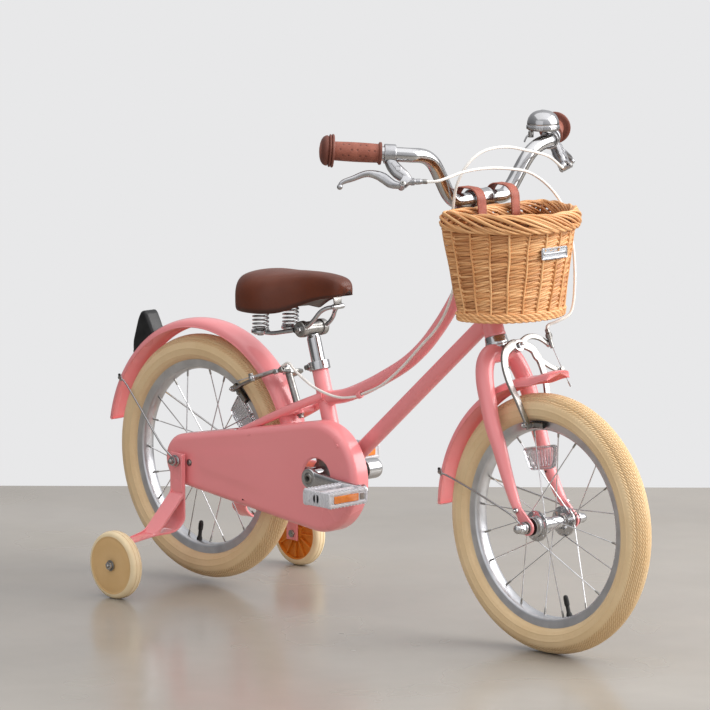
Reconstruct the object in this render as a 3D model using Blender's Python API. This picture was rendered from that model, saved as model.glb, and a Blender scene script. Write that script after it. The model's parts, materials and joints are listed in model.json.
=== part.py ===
"""Kids bike, 16 inch wheels, with training wheels and a wicker handlebar basket.

Metres, +Z up, +X forwards, +Y to the rider's left. The design frame has X = 0 at the rear axle;
SHIFT_X moves the finished object so that its origin is under the middle of its bounding box, on the ground.
"""

from math import acos, atan2, cos, pi, radians, sin, sqrt

import bmesh
import bpy
from mathutils import Matrix, Vector
from mathutils.geometry import convex_hull_2d

for old in list(bpy.data.objects):
    bpy.data.objects.remove(old, do_unlink=True)

# ------------------------------------------------------------------ driving dimensions
SHIFT_X = 0.37235           # design X of the finished origin
GAP = 0.0003                # between solids that touch in the real thing

TYRE_R = 0.200              # outer radius of the tyres
PAD_R = 0.1530              # centre of a brake pad on the rim
TYRE_C = 0.1763             # radius of the tyre tube's centre circle
WHEEL_SEGMENTS = 28
REAR_AXLE = Vector((0.0, 0.0, 0.208))       # the training wheels lift the rear wheel 8 mm
FRONT_AXLE = Vector((0.7686, 0.0, 0.200))
AXLE_R = 0.0046
HUB_FLANGE_R = 0.0235
HUB_FLANGE_Y = 0.0300
SPOKES = 20
SPOKE_R = 0.0011
SPOKE_CROSS = radians(72.0)
DROPOUT_IN_FRONT, DROPOUT_OUT_FRONT = 0.0480, 0.0520
DROPOUT_IN_REAR, DROPOUT_OUT_REAR = 0.0500, 0.0540

TRAINER_R = 0.0546
TRAINER_X, TRAINER_Y = 0.002, 0.2033
TRAINER_W = 0.0225

STEER_AT = Vector((0.6532, 0.0, 0.465))     # a point on the steering axis
STEER_DIR = Vector((-0.3256, 0.0, 0.9455)).normalized()
HEAD_TUBE_R, HEAD_TUBE_BORE = 0.0159, 0.0134
STEERER_R, STEERER_BORE = 0.0127, 0.0113
QUILL_R = 0.0108

TOP_TUBE_R, TOP_TUBE_BORE = 0.0111, 0.0095
DOWN_TUBE_R, DOWN_TUBE_BORE = 0.0127, 0.0111
SEAT_TUBE_R, SEAT_TUBE_BORE = 0.0130, 0.0115
SEAT_POST_R = 0.0111
SEAT_DIR = Vector((-0.2838, 0.0, 0.9589)).normalized()
SEAT_FOOT = Vector((0.3101, 0.0, 0.2195))

BB = Vector((0.314, 0.0, 0.2195))           # bottom bracket axis
BB_SHELL_R, BB_SHELL_HALF = 0.0200, 0.0340
SPINDLE_R = 0.0090
CRANK_LENGTH = 0.1141
CRANK_DIR = Vector((0.114, 0.0, -0.006)).normalized()
CRANK_IN, CRANK_OUT = 0.0640, 0.0750
CHAIN_Y = -0.0400
RING_TEETH, COG_TEETH, PITCH = 28, 16, 0.0127
RING_R = PITCH / (2 * sin(pi / RING_TEETH))
COG_R = PITCH / (2 * sin(pi / COG_TEETH))

BAR_R = 0.0111
BAR_CLAMP = Vector((0.613, 0.0, 0.684))
GRIP_END = Vector((0.540, 0.2433, 0.7696))  # centre of the outer flange ring, left grip
GRIP_DIR = Vector((-0.640, 0.766, 0.0624)).normalized()

MUDGUARD_R = 0.2265
MUDGUARD_HALF = 0.0240
MUDGUARD_T = 0.0013

BASKET_WALL = 0.0060
STRAP_Y = 0.0366
CABLE_R = 0.0025

# ------------------------------------------------------------------ materials
def material(name, colour, roughness, metallic=0.0):
    made = bpy.data.materials.new(name)
    made.use_nodes = True
    shader = made.node_tree.nodes["Principled BSDF"]
    shader.inputs["Base Color"].default_value = (*colour, 1.0)
    shader.inputs["Roughness"].default_value = roughness
    shader.inputs["Metallic"].default_value = metallic
    return made


PAINT = {
    "pink": ((0.62, 0.20, 0.22), 0.30, 0.0),
    "chrome": ((0.75, 0.75, 0.76), 0.15, 1.0),
    "alloy": ((0.60, 0.61, 0.63), 0.30, 1.0),
    "steel": ((0.45, 0.45, 0.46), 0.35, 1.0),
    "tyre": ((0.66, 0.48, 0.27), 0.75, 0.0),
    "cream": ((0.83, 0.70, 0.48), 0.55, 0.0),
    "leather": ((0.16, 0.055, 0.028), 0.45, 0.0),
    "grip": ((0.20, 0.075, 0.045), 0.55, 0.0),
    "strap": ((0.38, 0.12, 0.09), 0.50, 0.0),
    "wicker": ((0.62, 0.34, 0.14), 0.60, 0.0),
    "black": ((0.02, 0.02, 0.02), 0.40, 0.0),
    "clear": ((0.80, 0.80, 0.80), 0.20, 0.0),
    "housing": ((0.82, 0.80, 0.76), 0.40, 0.0),
}
MATERIALS = {key: material(key, *value) for key, value in PAINT.items()}


# ------------------------------------------------------------------ modelling helpers
def piece(bm):
    """A temporary object holding this closed mesh, faces outward."""
    bmesh.ops.recalc_face_normals(bm, faces=bm.faces)
    mesh = bpy.data.meshes.new("work")
    bm.to_mesh(mesh)
    bm.free()
    made = bpy.data.objects.new("work", mesh)
    bpy.context.scene.collection.objects.link(made)
    return made


def boolean(body, other, operation):
    modifier = body.modifiers.new("join", "BOOLEAN")
    modifier.solver = "EXACT"
    modifier.operation = operation
    modifier.object = other
    graph = bpy.context.evaluated_depsgraph_get()
    mesh = bpy.data.meshes.new_from_object(body.evaluated_get(graph))
    body.modifiers.clear()
    body.data = mesh
    bpy.data.objects.remove(other, do_unlink=True)
    return body


def union(body, *others):
    for other in others:
        boolean(body, other, "UNION")
    return body


def cut(body, *others):
    for other in others:
        boolean(body, other, "DIFFERENCE")
    return body


def common(body, other):
    return boolean(body, other, "INTERSECT")


def frame_of(direction, hint=None):
    """Two unit vectors square to the direction, the first as near to the hint as can be."""
    axis = Vector(direction).normalized()
    if hint is None:
        hint = Vector((0, 0, -1)) if abs(axis.z) < 0.9 else Vector((1, 0, 0))
    first = (Vector(hint) - axis * axis.dot(Vector(hint))).normalized()
    return first, axis.cross(first)


def lathe(profile, at, direction, steps, hint=None):
    """Turns a closed outline of (along, radius) points about an axis. Points of radius 0 are the ends of an open outline."""
    axis = Vector(direction).normalized()
    first, _ = frame_of(axis, hint)
    at = Vector(at)
    bm = bmesh.new()
    made = [bm.verts.new(at + axis * a + first * r) for a, r in profile]
    edges = [bm.edges.new(pair) for pair in zip(made, made[1:])]
    if not (profile[0][1] == 0 and profile[-1][1] == 0):
        edges.append(bm.edges.new((made[-1], made[0])))
    bmesh.ops.spin(
        bm, geom=made + edges, cent=at, axis=axis, angle=2 * pi, steps=steps, use_merge=True
    )
    bmesh.ops.remove_doubles(bm, verts=bm.verts, dist=1e-6)
    return piece(bm)


def rod(start, end, radius, steps=12, hint=None):
    start, end = Vector(start), Vector(end)
    length = (end - start).length
    return lathe([(0, 0), (0, radius), (length, radius), (length, 0)], start, end - start, steps, hint)


def ring(at, direction, inner, outer, low, high, steps=20, hint=None):
    return lathe([(low, inner), (low, outer), (high, outer), (high, inner)], at, direction, steps, hint)


def prism(outline, plane, low, high):
    """Extrudes an outline. plane XZ runs along Y, YZ along X and XY along Z."""
    def place(a, b, c):
        return {"XZ": (a, c, b), "YZ": (c, a, b), "XY": (a, b, c)}[plane]

    bm = bmesh.new()
    face = bm.faces.new([bm.verts.new(place(a, b, low)) for a, b in outline])
    grown = bmesh.ops.extrude_face_region(bm, geom=[face])
    moved = [g for g in grown["geom"] if isinstance(g, bmesh.types.BMVert)]
    bmesh.ops.translate(bm, verts=moved, vec=place(0, 0, high - low))
    return piece(bm)


def block(low, high):
    return prism([(low[0], low[1]), (high[0], low[1]), (high[0], high[1]), (low[0], high[1])], "XY", low[2], high[2])


def hull(circles, steps=24):
    """The outline that wraps circles of (x, z, radius), counter-clockwise."""
    points = [
        Vector((x + r * cos(2 * pi * i / steps), z + r * sin(2 * pi * i / steps)))
        for x, z, r in circles
        for i in range(steps)
    ]
    return [(points[i].x, points[i].y) for i in convex_hull_2d(points)]


def loft(rings, cyclic=False):
    """Extrudes the edges of a closed ring of points from ring to ring, and caps the ends."""
    bm = bmesh.new()
    verts = [bm.verts.new(p) for p in rings[0]]
    edges = [bm.edges.new((verts[i], verts[(i + 1) % len(verts)])) for i in range(len(verts))]
    first = list(verts)
    for points in rings[1:]:
        grown = bmesh.ops.extrude_edge_only(bm, edges=edges)["geom"]
        fresh = {g for g in grown if isinstance(g, bmesh.types.BMVert)}
        nexts = []
        for vert in verts:
            nexts.append(next(e.other_vert(vert) for e in vert.link_edges if e.other_vert(vert) in fresh))
        for vert, point in zip(nexts, points):
            vert.co = point
        edges = [bm.edges.get((nexts[i], nexts[(i + 1) % len(nexts)])) for i in range(len(nexts))]
        verts = nexts
    if cyclic:
        bmesh.ops.remove_doubles(bm, verts=bm.verts, dist=1e-6)
    else:
        bm.faces.new(list(reversed(first)))
        bm.faces.new(verts)
    return piece(bm)


def smooth(points, count, ends=True):
    """count points, evenly spaced along a smooth curve through the given ones (Catmull-Rom)."""
    given = [Vector(p) for p in points]
    padded = [given[0] * 2 - given[1], *given, given[-1] * 2 - given[-2]]
    dense = []
    for i in range(1, len(padded) - 2):
        p0, p1, p2, p3 = padded[i - 1 : i + 3]
        for k in range(24):
            t = k / 24
            dense.append(
                0.5
                * (
                    2 * p1
                    + (p2 - p0) * t
                    + (2 * p0 - 5 * p1 + 4 * p2 - p3) * t * t
                    + (3 * p1 - p0 - 3 * p2 + p3) * t * t * t
                )
            )
    dense.append(given[-1])
    lengths = [0.0]
    for a, b in zip(dense, dense[1:]):
        lengths.append(lengths[-1] + (b - a).length)
    found, j = [], 0
    for k in range(count):
        want = lengths[-1] * k / (count - 1)
        while j < len(dense) - 2 and lengths[j + 1] < want:
            j += 1
        share = (want - lengths[j]) / max(lengths[j + 1] - lengths[j], 1e-12)
        found.append(dense[j].lerp(dense[j + 1], min(max(share, 0.0), 1.0)))
    return found


def sweep(points, radius, sides=8):
    """A round bar along points: a curve with a bevel and filled caps, as a mesh. radius is one number, or one for each point."""
    radii = [radius] * len(points) if isinstance(radius, (int, float)) else list(radius)
    curve = bpy.data.curves.new("work", "CURVE")
    curve.dimensions = "3D"
    curve.bevel_depth = max(radii)
    curve.bevel_resolution = (sides - 4) // 2
    curve.use_fill_caps = True
    spline = curve.splines.new("POLY")
    spline.points.add(len(points) - 1)
    for spot, place, r in zip(spline.points, points, radii):
        spot.co = (*place, 1.0)
        spot.radius = r / curve.bevel_depth
    holder = bpy.data.objects.new("work", curve)
    bpy.context.scene.collection.objects.link(holder)
    bpy.context.view_layer.update()
    graph = bpy.context.evaluated_depsgraph_get()
    mesh = bpy.data.meshes.new_from_object(holder.evaluated_get(graph))
    bpy.data.objects.remove(holder, do_unlink=True)
    bm = bmesh.new()
    bm.from_mesh(mesh)
    bmesh.ops.remove_doubles(bm, verts=bm.verts, dist=1e-6)
    return piece(bm)


def pipe(points, radius, bore, sides=12):
    """A tube open at both ends."""
    first = points[0] + (points[0] - points[1]).normalized() * 0.004
    last = points[-1] + (points[-1] - points[-2]).normalized() * 0.004
    return cut(sweep(points, radius, sides), sweep([first, *points[1:-1], last], bore, sides))


def strap(points, widths, thicks, normal):
    """A flat bar along points: thickness along the normal, width square to it, corners taken off."""
    points = [Vector(p) for p in points]
    normal = Vector(normal).normalized()
    rings = []
    for i, at in enumerate(points):
        along = (points[min(i + 1, len(points) - 1)] - points[max(i - 1, 0)]).normalized()
        side = along.cross(normal).normalized()
        up = side.cross(along).normalized()
        w, t = widths[i] / 2, thicks[i] / 2
        c = min(w, t) * 0.4
        shape = [(w - c, t), (w, t - c), (w, -t + c), (w - c, -t), (-w + c, -t), (-w, -t + c), (-w, t - c), (-w + c, t)]
        rings.append([at + side * a + up * b for a, b in shape])
    return loft(rings)


def mirrored(source):
    """A copy on the other side of the bike's middle plane."""
    mesh = source.data.copy()
    mesh.transform(Matrix.Scale(-1, 4, Vector((0, 1, 0))))
    mesh.flip_normals()
    made = bpy.data.objects.new("work", mesh)
    bpy.context.scene.collection.objects.link(made)
    return made


def duplicate(source):
    made = bpy.data.objects.new("work", source.data.copy())
    bpy.context.scene.collection.objects.link(made)
    return made


def hinge(name, at):
    """An empty on a joint's axis, which its moving pieces hang from."""
    made = bpy.data.objects.new(name, None)
    made.empty_display_size = 0.02
    made.location = Vector(at) - Vector((SHIFT_X, 0, 0))
    bpy.context.scene.collection.objects.link(made)
    return made


def finish(body, name, paint, origin=(0, 0, 0), parent=None, angle=38):
    """Names the piece, moves its origin onto its joint's axis, and gives it its material."""
    origin = Vector(origin)
    bm = bmesh.new()
    bm.from_mesh(body.data)
    bmesh.ops.remove_doubles(bm, verts=bm.verts, dist=2e-6)
    bmesh.ops.dissolve_degenerate(bm, edges=bm.edges, dist=1e-6)
    bmesh.ops.transform(bm, matrix=Matrix.Translation(-origin), verts=bm.verts)
    bm.to_mesh(body.data)
    bm.free()
    body.location = origin - Vector((SHIFT_X, 0, 0))
    if parent is not None:
        body.parent = parent
        body.location = body.location - parent.location
    body.name = name
    body.data.name = name
    body.data.materials.clear()
    body.data.materials.append(MATERIALS[paint])
    body.data.shade_smooth()
    body.data.set_sharp_from_angle(angle=radians(angle))
    return body


FRAME = hinge("bike_frame", (SHIFT_X, 0, 0))
STEERING = hinge("steering_axis", STEER_AT)
FRONT_HUB = hinge("front_hub_axis", FRONT_AXLE)
REAR_HUB = hinge("rear_hub_axis", REAR_AXLE)
CRANKS = hinge("crank_axis", BB)


def on_steer(t, radial=0.0):
    return STEER_AT + STEER_DIR * t + Vector((radial, 0, 0))


def side_point(x, y, z):
    return Vector((x, y, z))


# ================================================================== FRAME
# ---- head tube and headset
head_low, head_high = 0.0106, 0.1560
finish(
    ring(STEER_AT, STEER_DIR, HEAD_TUBE_BORE, HEAD_TUBE_R, head_low, head_high, 18, (0, 1, 0)),
    "head_tube", "pink", parent=FRAME,
)
finish(
    lathe(
        [(-0.0083, 0.0134), (-0.0083, 0.0182), (0.0005, 0.0182), (0.0103, 0.0170), (0.0103, 0.0134)],
        STEER_AT, STEER_DIR, 16, (0, 1, 0),
    ),
    "headset_lower_cup", "chrome", parent=FRAME,
)


def head_cutter():
    return rod(on_steer(-0.02), on_steer(0.19), HEAD_TUBE_R + GAP, 20, (0, 1, 0))


def seat_cutter():
    return rod(SEAT_FOOT - SEAT_DIR * 0.01, SEAT_FOOT + SEAT_DIR * 0.20, SEAT_TUBE_R + GAP, 20, (0, 1, 0))


def shell_cutter():
    return rod(BB - Vector((0, 0.06, 0)), BB + Vector((0, 0.06, 0)), BB_SHELL_R + GAP, 24)


# ---- main tubes
top_route = smooth(
    [
        (0.2740, 0, 0.3343), (0.3000, 0, 0.3398), (0.3266, 0, 0.3466), (0.3650, 0, 0.3624), (0.4038, 0, 0.3814),
        (0.4548, 0, 0.4099), (0.4932, 0, 0.4394), (0.5225, 0, 0.4696), (0.5488, 0, 0.5020), (0.5780, 0, 0.5440),
        (0.6105, 0, 0.5900),
    ],
    10,
)
top_tube = cut(pipe(top_route, TOP_TUBE_R, TOP_TUBE_BORE, 10), head_cutter(), seat_cutter())
clip_at = Vector((0.3637, -0.0100, 0.3515))
clip_dir = Vector((0.92, 0, 0.39)).normalized()
clip = ring(clip_at, clip_dir, 0.0034, 0.0052, -0.004, 0.004, 8)
top_tube = union(top_tube, clip)
finish(top_tube, "top_tube", "pink", parent=FRAME)

down_route = [Vector(p) for p in ((0.6402, 0, 0.5028), (0.5308, 0, 0.4093), (0.4411, 0, 0.3326), (0.3090, 0, 0.2195))]
finish(
    cut(pipe(down_route, DOWN_TUBE_R, DOWN_TUBE_BORE, 12), head_cutter(), seat_cutter(), shell_cutter()),
    "down_tube", "pink", parent=FRAME,
)

seat_top = 0.180
seat_tube = lathe(
    [(0, 0), (0, SEAT_TUBE_R), (seat_top, SEAT_TUBE_R), (seat_top, SEAT_TUBE_BORE), (0.032, SEAT_TUBE_BORE), (0.032, 0)],
    SEAT_FOOT, SEAT_DIR, 16, (0, 1, 0),
)
seat_tube = union(seat_tube, rod(BB - Vector((0, BB_SHELL_HALF, 0)), BB + Vector((0, BB_SHELL_HALF, 0)), BB_SHELL_R, 20))
seat_tube = cut(
    seat_tube,
    lathe(
        [(-0.037, 0), (-0.037, 0.0096), (-0.0265, 0.0096), (-0.0265, 0.0165), (0.0265, 0.0165), (0.0265, 0.0096), (0.037, 0.0096), (0.037, 0)],
        BB, (0, 1, 0), 16,
    ),
)
finish(seat_tube, "seat_tube", "pink", parent=FRAME)

# ---- chain stays, seat stays, bridge and dropouts
BRIDGE = Vector((0.2145, 0, 0.3095))
chain_stay = [(0.3050, 0.0240, 0.2190), (0.2850, 0.0270, 0.2185), (0.2500, 0.0303, 0.2172), (0.2200, 0.0350, 0.2160),
              (0.1700, 0.0415, 0.2140), (0.1200, 0.0462, 0.2120), (0.0700, 0.0496, 0.2105), (0.0250, 0.0500, 0.2090)]
seat_stay = [(0.0100, 0.0498, 0.2127), (0.0300, 0.0498, 0.2222), (0.0750, 0.0498, 0.2435), (0.1300, 0.0480, 0.2696),
             (0.1700, 0.0430, 0.2886), (0.2145, 0.0365, 0.3097), (0.2450, 0.0262, 0.3241), (0.2640, 0.0168, 0.3331)]


def stays(side):
    lower = smooth([(x, side * y, z) for x, y, z in chain_stay], 8)
    upper = smooth([(x, side * y, z) for x, y, z in seat_stay], 9)
    low_r = [0.0070 if p.x > 0.14 else (0.0062 if p.x > 0.09 else 0.0055) for p in lower]
    up_r = [0.0068 if p.x > 0.16 else (0.0060 if p.x > 0.14 else 0.0055) for p in upper]
    plate = hull([(0.0, 0.208, 0.0130), (0.0420, 0.2095, 0.0058), (0.0390, 0.2265, 0.0058)], 14)
    lo, hi = sorted((side * DROPOUT_IN_REAR, side * DROPOUT_OUT_REAR))
    end = prism(plate, "XZ", lo, hi)
    return union(end, sweep(lower, low_r, 8), sweep(upper, up_r, 8))


rear_triangle = union(stays(-1), rod(BRIDGE - Vector((0, 0.036, 0)), BRIDGE + Vector((0, 0.036, 0)), 0.0058, 10), stays(1))
rear_triangle = cut(rear_triangle, seat_cutter(), shell_cutter())
axle_bore = rod(REAR_AXLE - Vector((0, 0.07, 0)), REAR_AXLE + Vector((0, 0.07, 0)), AXLE_R + 0.0005, 12)

# ---- rear brake's place: its bolt stands square to the stays
REAR_B = Vector((-0.389, 0, 0.921)).normalized()
REAR_E = Vector((-0.921, 0, -0.389)).normalized()
REAR_P = BRIDGE + REAR_B * 0.0650
rear_triangle = cut(rear_triangle, axle_bore, rod(BRIDGE - REAR_B * 0.012, BRIDGE + REAR_B * 0.012, 0.0031, 12, (0, 1, 0)))
finish(rear_triangle, "rear_triangle", "pink", parent=FRAME)

finish(
    lathe(
        [(-0.0112, 0), (-0.0112, 0.0046), (-0.0065, 0.0046), (-0.0065, 0.0025), (0.0065, 0.0025), (0.0065, 0.0058),
         (0.0600, 0.0058), (0.0600, 0.0025), (0.0702, 0.0025), (0.0702, 0.0050), (0.0735, 0.0050), (0.0735, 0)],
        BRIDGE, REAR_B, 8, (0, 1, 0),
    ),
    "rear_caliper_bolt", "steel", parent=FRAME,
)

# ---- seat collar with its bolt at the rear
collar_at = SEAT_FOOT + SEAT_DIR * 0.1745
collar = ring(collar_at, SEAT_DIR, SEAT_TUBE_R + GAP, 0.0168, -0.0075, 0.0060, 16, (0, 1, 0))
collar_side = frame_of(SEAT_DIR, (-1, 0, 0))[0]
collar = union(
    collar,
    strap(
        [collar_at + collar_side * 0.0150 + Vector((0, y, 0)) for y in (-0.0085, 0.0, 0.0085)],
        [0.0100] * 3, [0.0110] * 3, SEAT_DIR,
    ),
    rod(collar_at + collar_side * 0.0182 + Vector((0, -0.0150, 0)), collar_at + collar_side * 0.0182 + Vector((0, 0.0125, 0)), 0.0038, 8),
)
collar = cut(collar, rod(collar_at - SEAT_DIR * 0.03, collar_at + SEAT_DIR * 0.03, SEAT_TUBE_R + GAP, 16, (0, 1, 0)))
finish(collar, "seat_collar", "chrome", parent=FRAME)

# ---- chain guard: a shallow shell round both sprockets
GUARD_FACE, GUARD_EDGE = -0.0600, -0.0285


def guard_solid(levels):
    """Rings of the guard's outline; each level is (y, how far the outline is drawn in)."""
    rings = []
    for y, inset in levels:
        shape = []
        spots = ((REAR_AXLE.x, REAR_AXLE.z, 0.042 - inset), (BB.x, BB.z, 0.088 - inset))
        lean = atan2(BB.z - REAR_AXLE.z, BB.x - REAR_AXLE.x)
        spread = acos((0.042 - 0.088) / (BB - REAR_AXLE).length)
        for k in range(10):
            a = lean + spread + (2 * pi - 2 * spread) * k / 9
            shape.append((spots[0][0] + spots[0][2] * cos(a), spots[0][1] + spots[0][2] * sin(a)))
        for k in range(15):
            a = lean - spread + 2 * spread * k / 14
            shape.append((spots[1][0] + spots[1][2] * cos(a), spots[1][1] + spots[1][2] * sin(a)))
        rings.append([Vector((x, y, z)) for x, z in shape])
    return loft(rings)


guard = guard_solid([(GUARD_EDGE, 0), (-0.0520, 0), (-0.0580, 0.0030), (GUARD_FACE, 0.0080)])
guard = cut(
    guard,
    guard_solid([(-0.0200, 0.0018), (-0.0515, 0.0018), (-0.0565, 0.0044), (-0.0582, 0.0090)]),
    rod((0.3165, -0.075, 0.2195), (0.3165, -0.050, 0.2195), 0.0310, 24),
    rod((0, -0.075, 0.208), (0, -0.050, 0.208), 0.0102, 16),
    sweep(smooth([(x, -y, z) for x, y, z in seat_stay], 10), 0.0080, 8),
)
guard = union(guard, rod((0.020, -0.0592, 0.206), (0.020, -0.0614, 0.206), 0.0038, 10))
finish(guard, "chain_guard", "pink", parent=FRAME)


# ---- chain: side plates joined outside the teeth, in one loop
def chain_outline(grow):
    return hull([(REAR_AXLE.x, REAR_AXLE.z, COG_R + grow), (BB.x, BB.z, RING_R + grow)], 22)


chain = prism(chain_outline(0.0045), "XZ", CHAIN_Y - 0.0036, CHAIN_Y + 0.0036)
chain = cut(
    chain,
    prism(chain_outline(-0.0040), "XZ", CHAIN_Y - 0.010, CHAIN_Y + 0.010),
    prism(chain_outline(0.0034), "XZ", CHAIN_Y - 0.0023, CHAIN_Y + 0.0023),
)
finish(chain, "chain", "steel", parent=FRAME)


# ---- mudguards: a rolled channel over an arc, with a wire stay on each side
def mudguard(axle, start, end, steps, beak=0.0):
    outer = [(-1.0, -0.0130), (-0.92, -0.0070), (-0.55, -0.0016), (0.0, 0.0), (0.55, -0.0016), (0.92, -0.0070), (1.0, -0.0130)]
    rings = []
    for k in range(steps + 1):
        share = k / steps
        a = start + (end - start) * share
        flare = beak * max(0.0, 1 - (1 - share) * steps / 3)
        shape = [(y * MUDGUARD_HALF, MUDGUARD_R + r + flare) for y, r in outer]
        for y, r in reversed(outer):
            thin = MUDGUARD_HALF - MUDGUARD_T
            shape.append((y * thin, MUDGUARD_R + r - (MUDGUARD_T if abs(y) < 0.9 else 0.0005) + flare))
        rings.append([axle + Vector((r * cos(a), y, r * sin(a))) for y, r in shape])
    return loft(rings)


def eyelet(axle, y0, y1, radius=0.0085):
    return ring(axle, (0, 1, 0), AXLE_R + 0.0005, radius, min(y0, y1), max(y0, y1), 12)


rear_guard = mudguard(REAR_AXLE, radians(12.8), radians(171.3), 15)
wire_r = 0.0016
stay_y = 0.07115
for side in (-1, 1):
    route = [(-0.0068, side * stay_y, 0.2112), (-0.0140, side * stay_y, 0.2156), (-0.0220, side * stay_y, 0.2205), (-0.0420, side * 0.0682, 0.2325),
             (-0.1150, side * 0.0445, 0.2765), (-0.1640, side * 0.0285, 0.3055), (-0.1790, side * 0.0240, 0.3140), (-0.1855, side * 0.0233, 0.3172)]
    rear_guard = union(rear_guard, sweep([Vector(p) for p in route], [0.0010, 0.0010, 0.0012] + [wire_r] * 5, 4), eyelet(REAR_AXLE, side * 0.0700, side * 0.0722))
rear_guard = cut(rear_guard, rod(REAR_AXLE - Vector((0, 0.09, 0)), REAR_AXLE + Vector((0, 0.09, 0)), AXLE_R + 0.0005, 12))
finish(rear_guard, "rear_mudguard", "pink", parent=FRAME)

# ---- rear reflector in its black housing
reflector = prism([(-0.1640, 0.3580), (-0.1655, 0.3780), (-0.1540, 0.4200), (-0.1480, 0.4315), (-0.1405, 0.4335), (-0.1350, 0.4290), (-0.1215, 0.4050),
                   (-0.1150, 0.3930), (-0.1300, 0.3700)], "XZ", -0.0185, 0.0185)
side_taper = prism([(-0.190, -0.0185), (-0.150, -0.0185), (-0.110, -0.0125), (-0.110, 0.0125), (-0.150, 0.0185), (-0.190, 0.0185)], "XY", 0.33, 0.45)
reflector = common(reflector, side_taper)
reflector = cut(reflector, rod(REAR_AXLE - Vector((0, 0.05, 0)), REAR_AXLE + Vector((0, 0.05, 0)), MUDGUARD_R + 0.0006, 64))
finish(reflector, "rear_reflector", "black", parent=FRAME)

# ---- rear axle with its cones, lock nuts and outer nuts
half = [(0.0, AXLE_R), (0.0440, AXLE_R), (0.0440, 0.0075), (0.0497, 0.0075), (0.0497, AXLE_R), (0.0543, AXLE_R),
        (0.0543, 0.0085), (0.0663, 0.0085), (0.0663, AXLE_R), (0.0725, AXLE_R), (0.0725, 0.0090), (0.0800, 0.0085),
        (0.0800, AXLE_R), (0.0830, AXLE_R), (0.0830, 0)]
rear_axle = lathe([(-a, r) for a, r in reversed(half)][:-1] + half[1:], REAR_AXLE, (0, 1, 0), 8)
finish(rear_axle, "rear_axle", "steel", parent=FRAME)

# ---- training wheel brackets: a stamped plate with a leg and a brace out to the wheel
outline = [(0.0695, 0.2210), (0.0695, 0.1570), (0.1270, 0.0995), (0.1770, 0.0905), (0.1880, 0.0840), (0.1895, 0.0800),
           (0.1895, 0.0436), (0.1862, 0.0436), (0.1862, 0.0790), (0.1755, 0.0872), (0.1300, 0.0935), (0.1000, 0.0935),
           (0.0880, 0.0950), (0.0790, 0.0995), (0.0695, 0.1085), (0.0665, 0.1140), (0.0665, 0.2210)]
opening = [(0.0698, 0.1500), (0.0698, 0.1155), (0.0720, 0.1110), (0.0810, 0.1025), (0.0895, 0.0982), (0.1000, 0.0967), (0.1190, 0.0968), (0.1225, 0.0980)]


def bracket():
    body = prism([(-y, z) for y, z in outline], "YZ", -0.020, 0.020)
    body = cut(body, prism([(-y, z) for y, z in opening], "YZ", -0.030, 0.030))
    plan = [(-0.0165, -0.060), (-0.0165, -0.085), (-0.0110, -0.140), (-0.0110, -0.200), (0.0140, -0.200), (0.0140, -0.140), (0.0165, -0.085), (0.0165, -0.060)]
    body = common(body, prism(plan, "XY", 0.03, 0.24))
    flange = prism([(-0.0680, 0.1620), (-0.0735, 0.1560), (-0.0735, 0.2190), (-0.0680, 0.2206)], "YZ", 0.0135, 0.0164)
    body = union(body, flange)
    slot = hull([(0.0, 0.1960, 0.0032), (0.0, 0.1850, 0.0032)], 12)
    body = cut(
        body,
        rod((0, -0.060, 0.208), (0, -0.080, 0.208), AXLE_R + 0.0006, 12),
        prism(slot, "XZ", -0.080, -0.060),
    )
    bolt = lathe(
        [(0.1840, 0), (0.1840, 0.0070), (0.1880, 0.0070), (0.1880, 0.0048), (0.2155, 0.0048), (0.2155, 0.0088), (0.2195, 0.0085), (0.2210, 0.0060), (0.2210, 0)],
        (TRAINER_X, 0, TRAINER_R), (0, -1, 0), 10,
    )
    return union(body, bolt)


right_bracket = bracket()
left_bracket = mirrored(right_bracket)
finish(right_bracket, "training_wheel_bracket_right", "pink", parent=FRAME)
finish(left_bracket, "training_wheel_bracket_left", "pink", parent=FRAME)

# ---- training wheels, each on its bolt
half_w = TRAINER_W / 2
wheel_shape = [(-half_w, 0.0053), (-half_w, 0.0140), (-half_w + 0.006, 0.0150), (-half_w + 0.006, 0.0400), (-half_w, 0.0430),
               (-half_w, 0.0505), (-half_w + 0.0045, TRAINER_R), (half_w - 0.0045, TRAINER_R), (half_w, 0.0505), (half_w, 0.0053)]
for side, word in ((-1, "right"), (1, "left")):
    axis_at = Vector((TRAINER_X, side * TRAINER_Y, TRAINER_R))
    finish(lathe(wheel_shape, axis_at, (0, side, 0), 24), "training_wheel_" + word, "cream", axis_at)

# ================================================================== WHEELS
tyre_outer = [(0.0104, 0.1503), (0.0104, 0.1592), (0.0196, 0.1635), (0.0237, TYRE_C), (0.0185, 0.1910), (0.0, TYRE_R)]
tyre_inner = [(0.0, 0.1970), (0.0197, TYRE_C), (0.0070, 0.1612)]
tyre_shape = [(-y, r) for y, r in tyre_outer] + [(y, r) for y, r in reversed(tyre_outer[:-1])]
tyre_shape += [(y, r) for y, r in reversed(tyre_inner[1:])] + [(0.0, 0.1970)] + [(-y, r) for y, r in tyre_inner[1:]]

rim_half = [(0.0125, 0.1462), (0.0125, 0.1585), (0.0107, 0.1585), (0.0107, 0.1500)]
rim_shape = [(0.0, 0.1430)] + [(-y, r) for y, r in rim_half] + [(y, r) for y, r in reversed(rim_half)]


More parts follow.
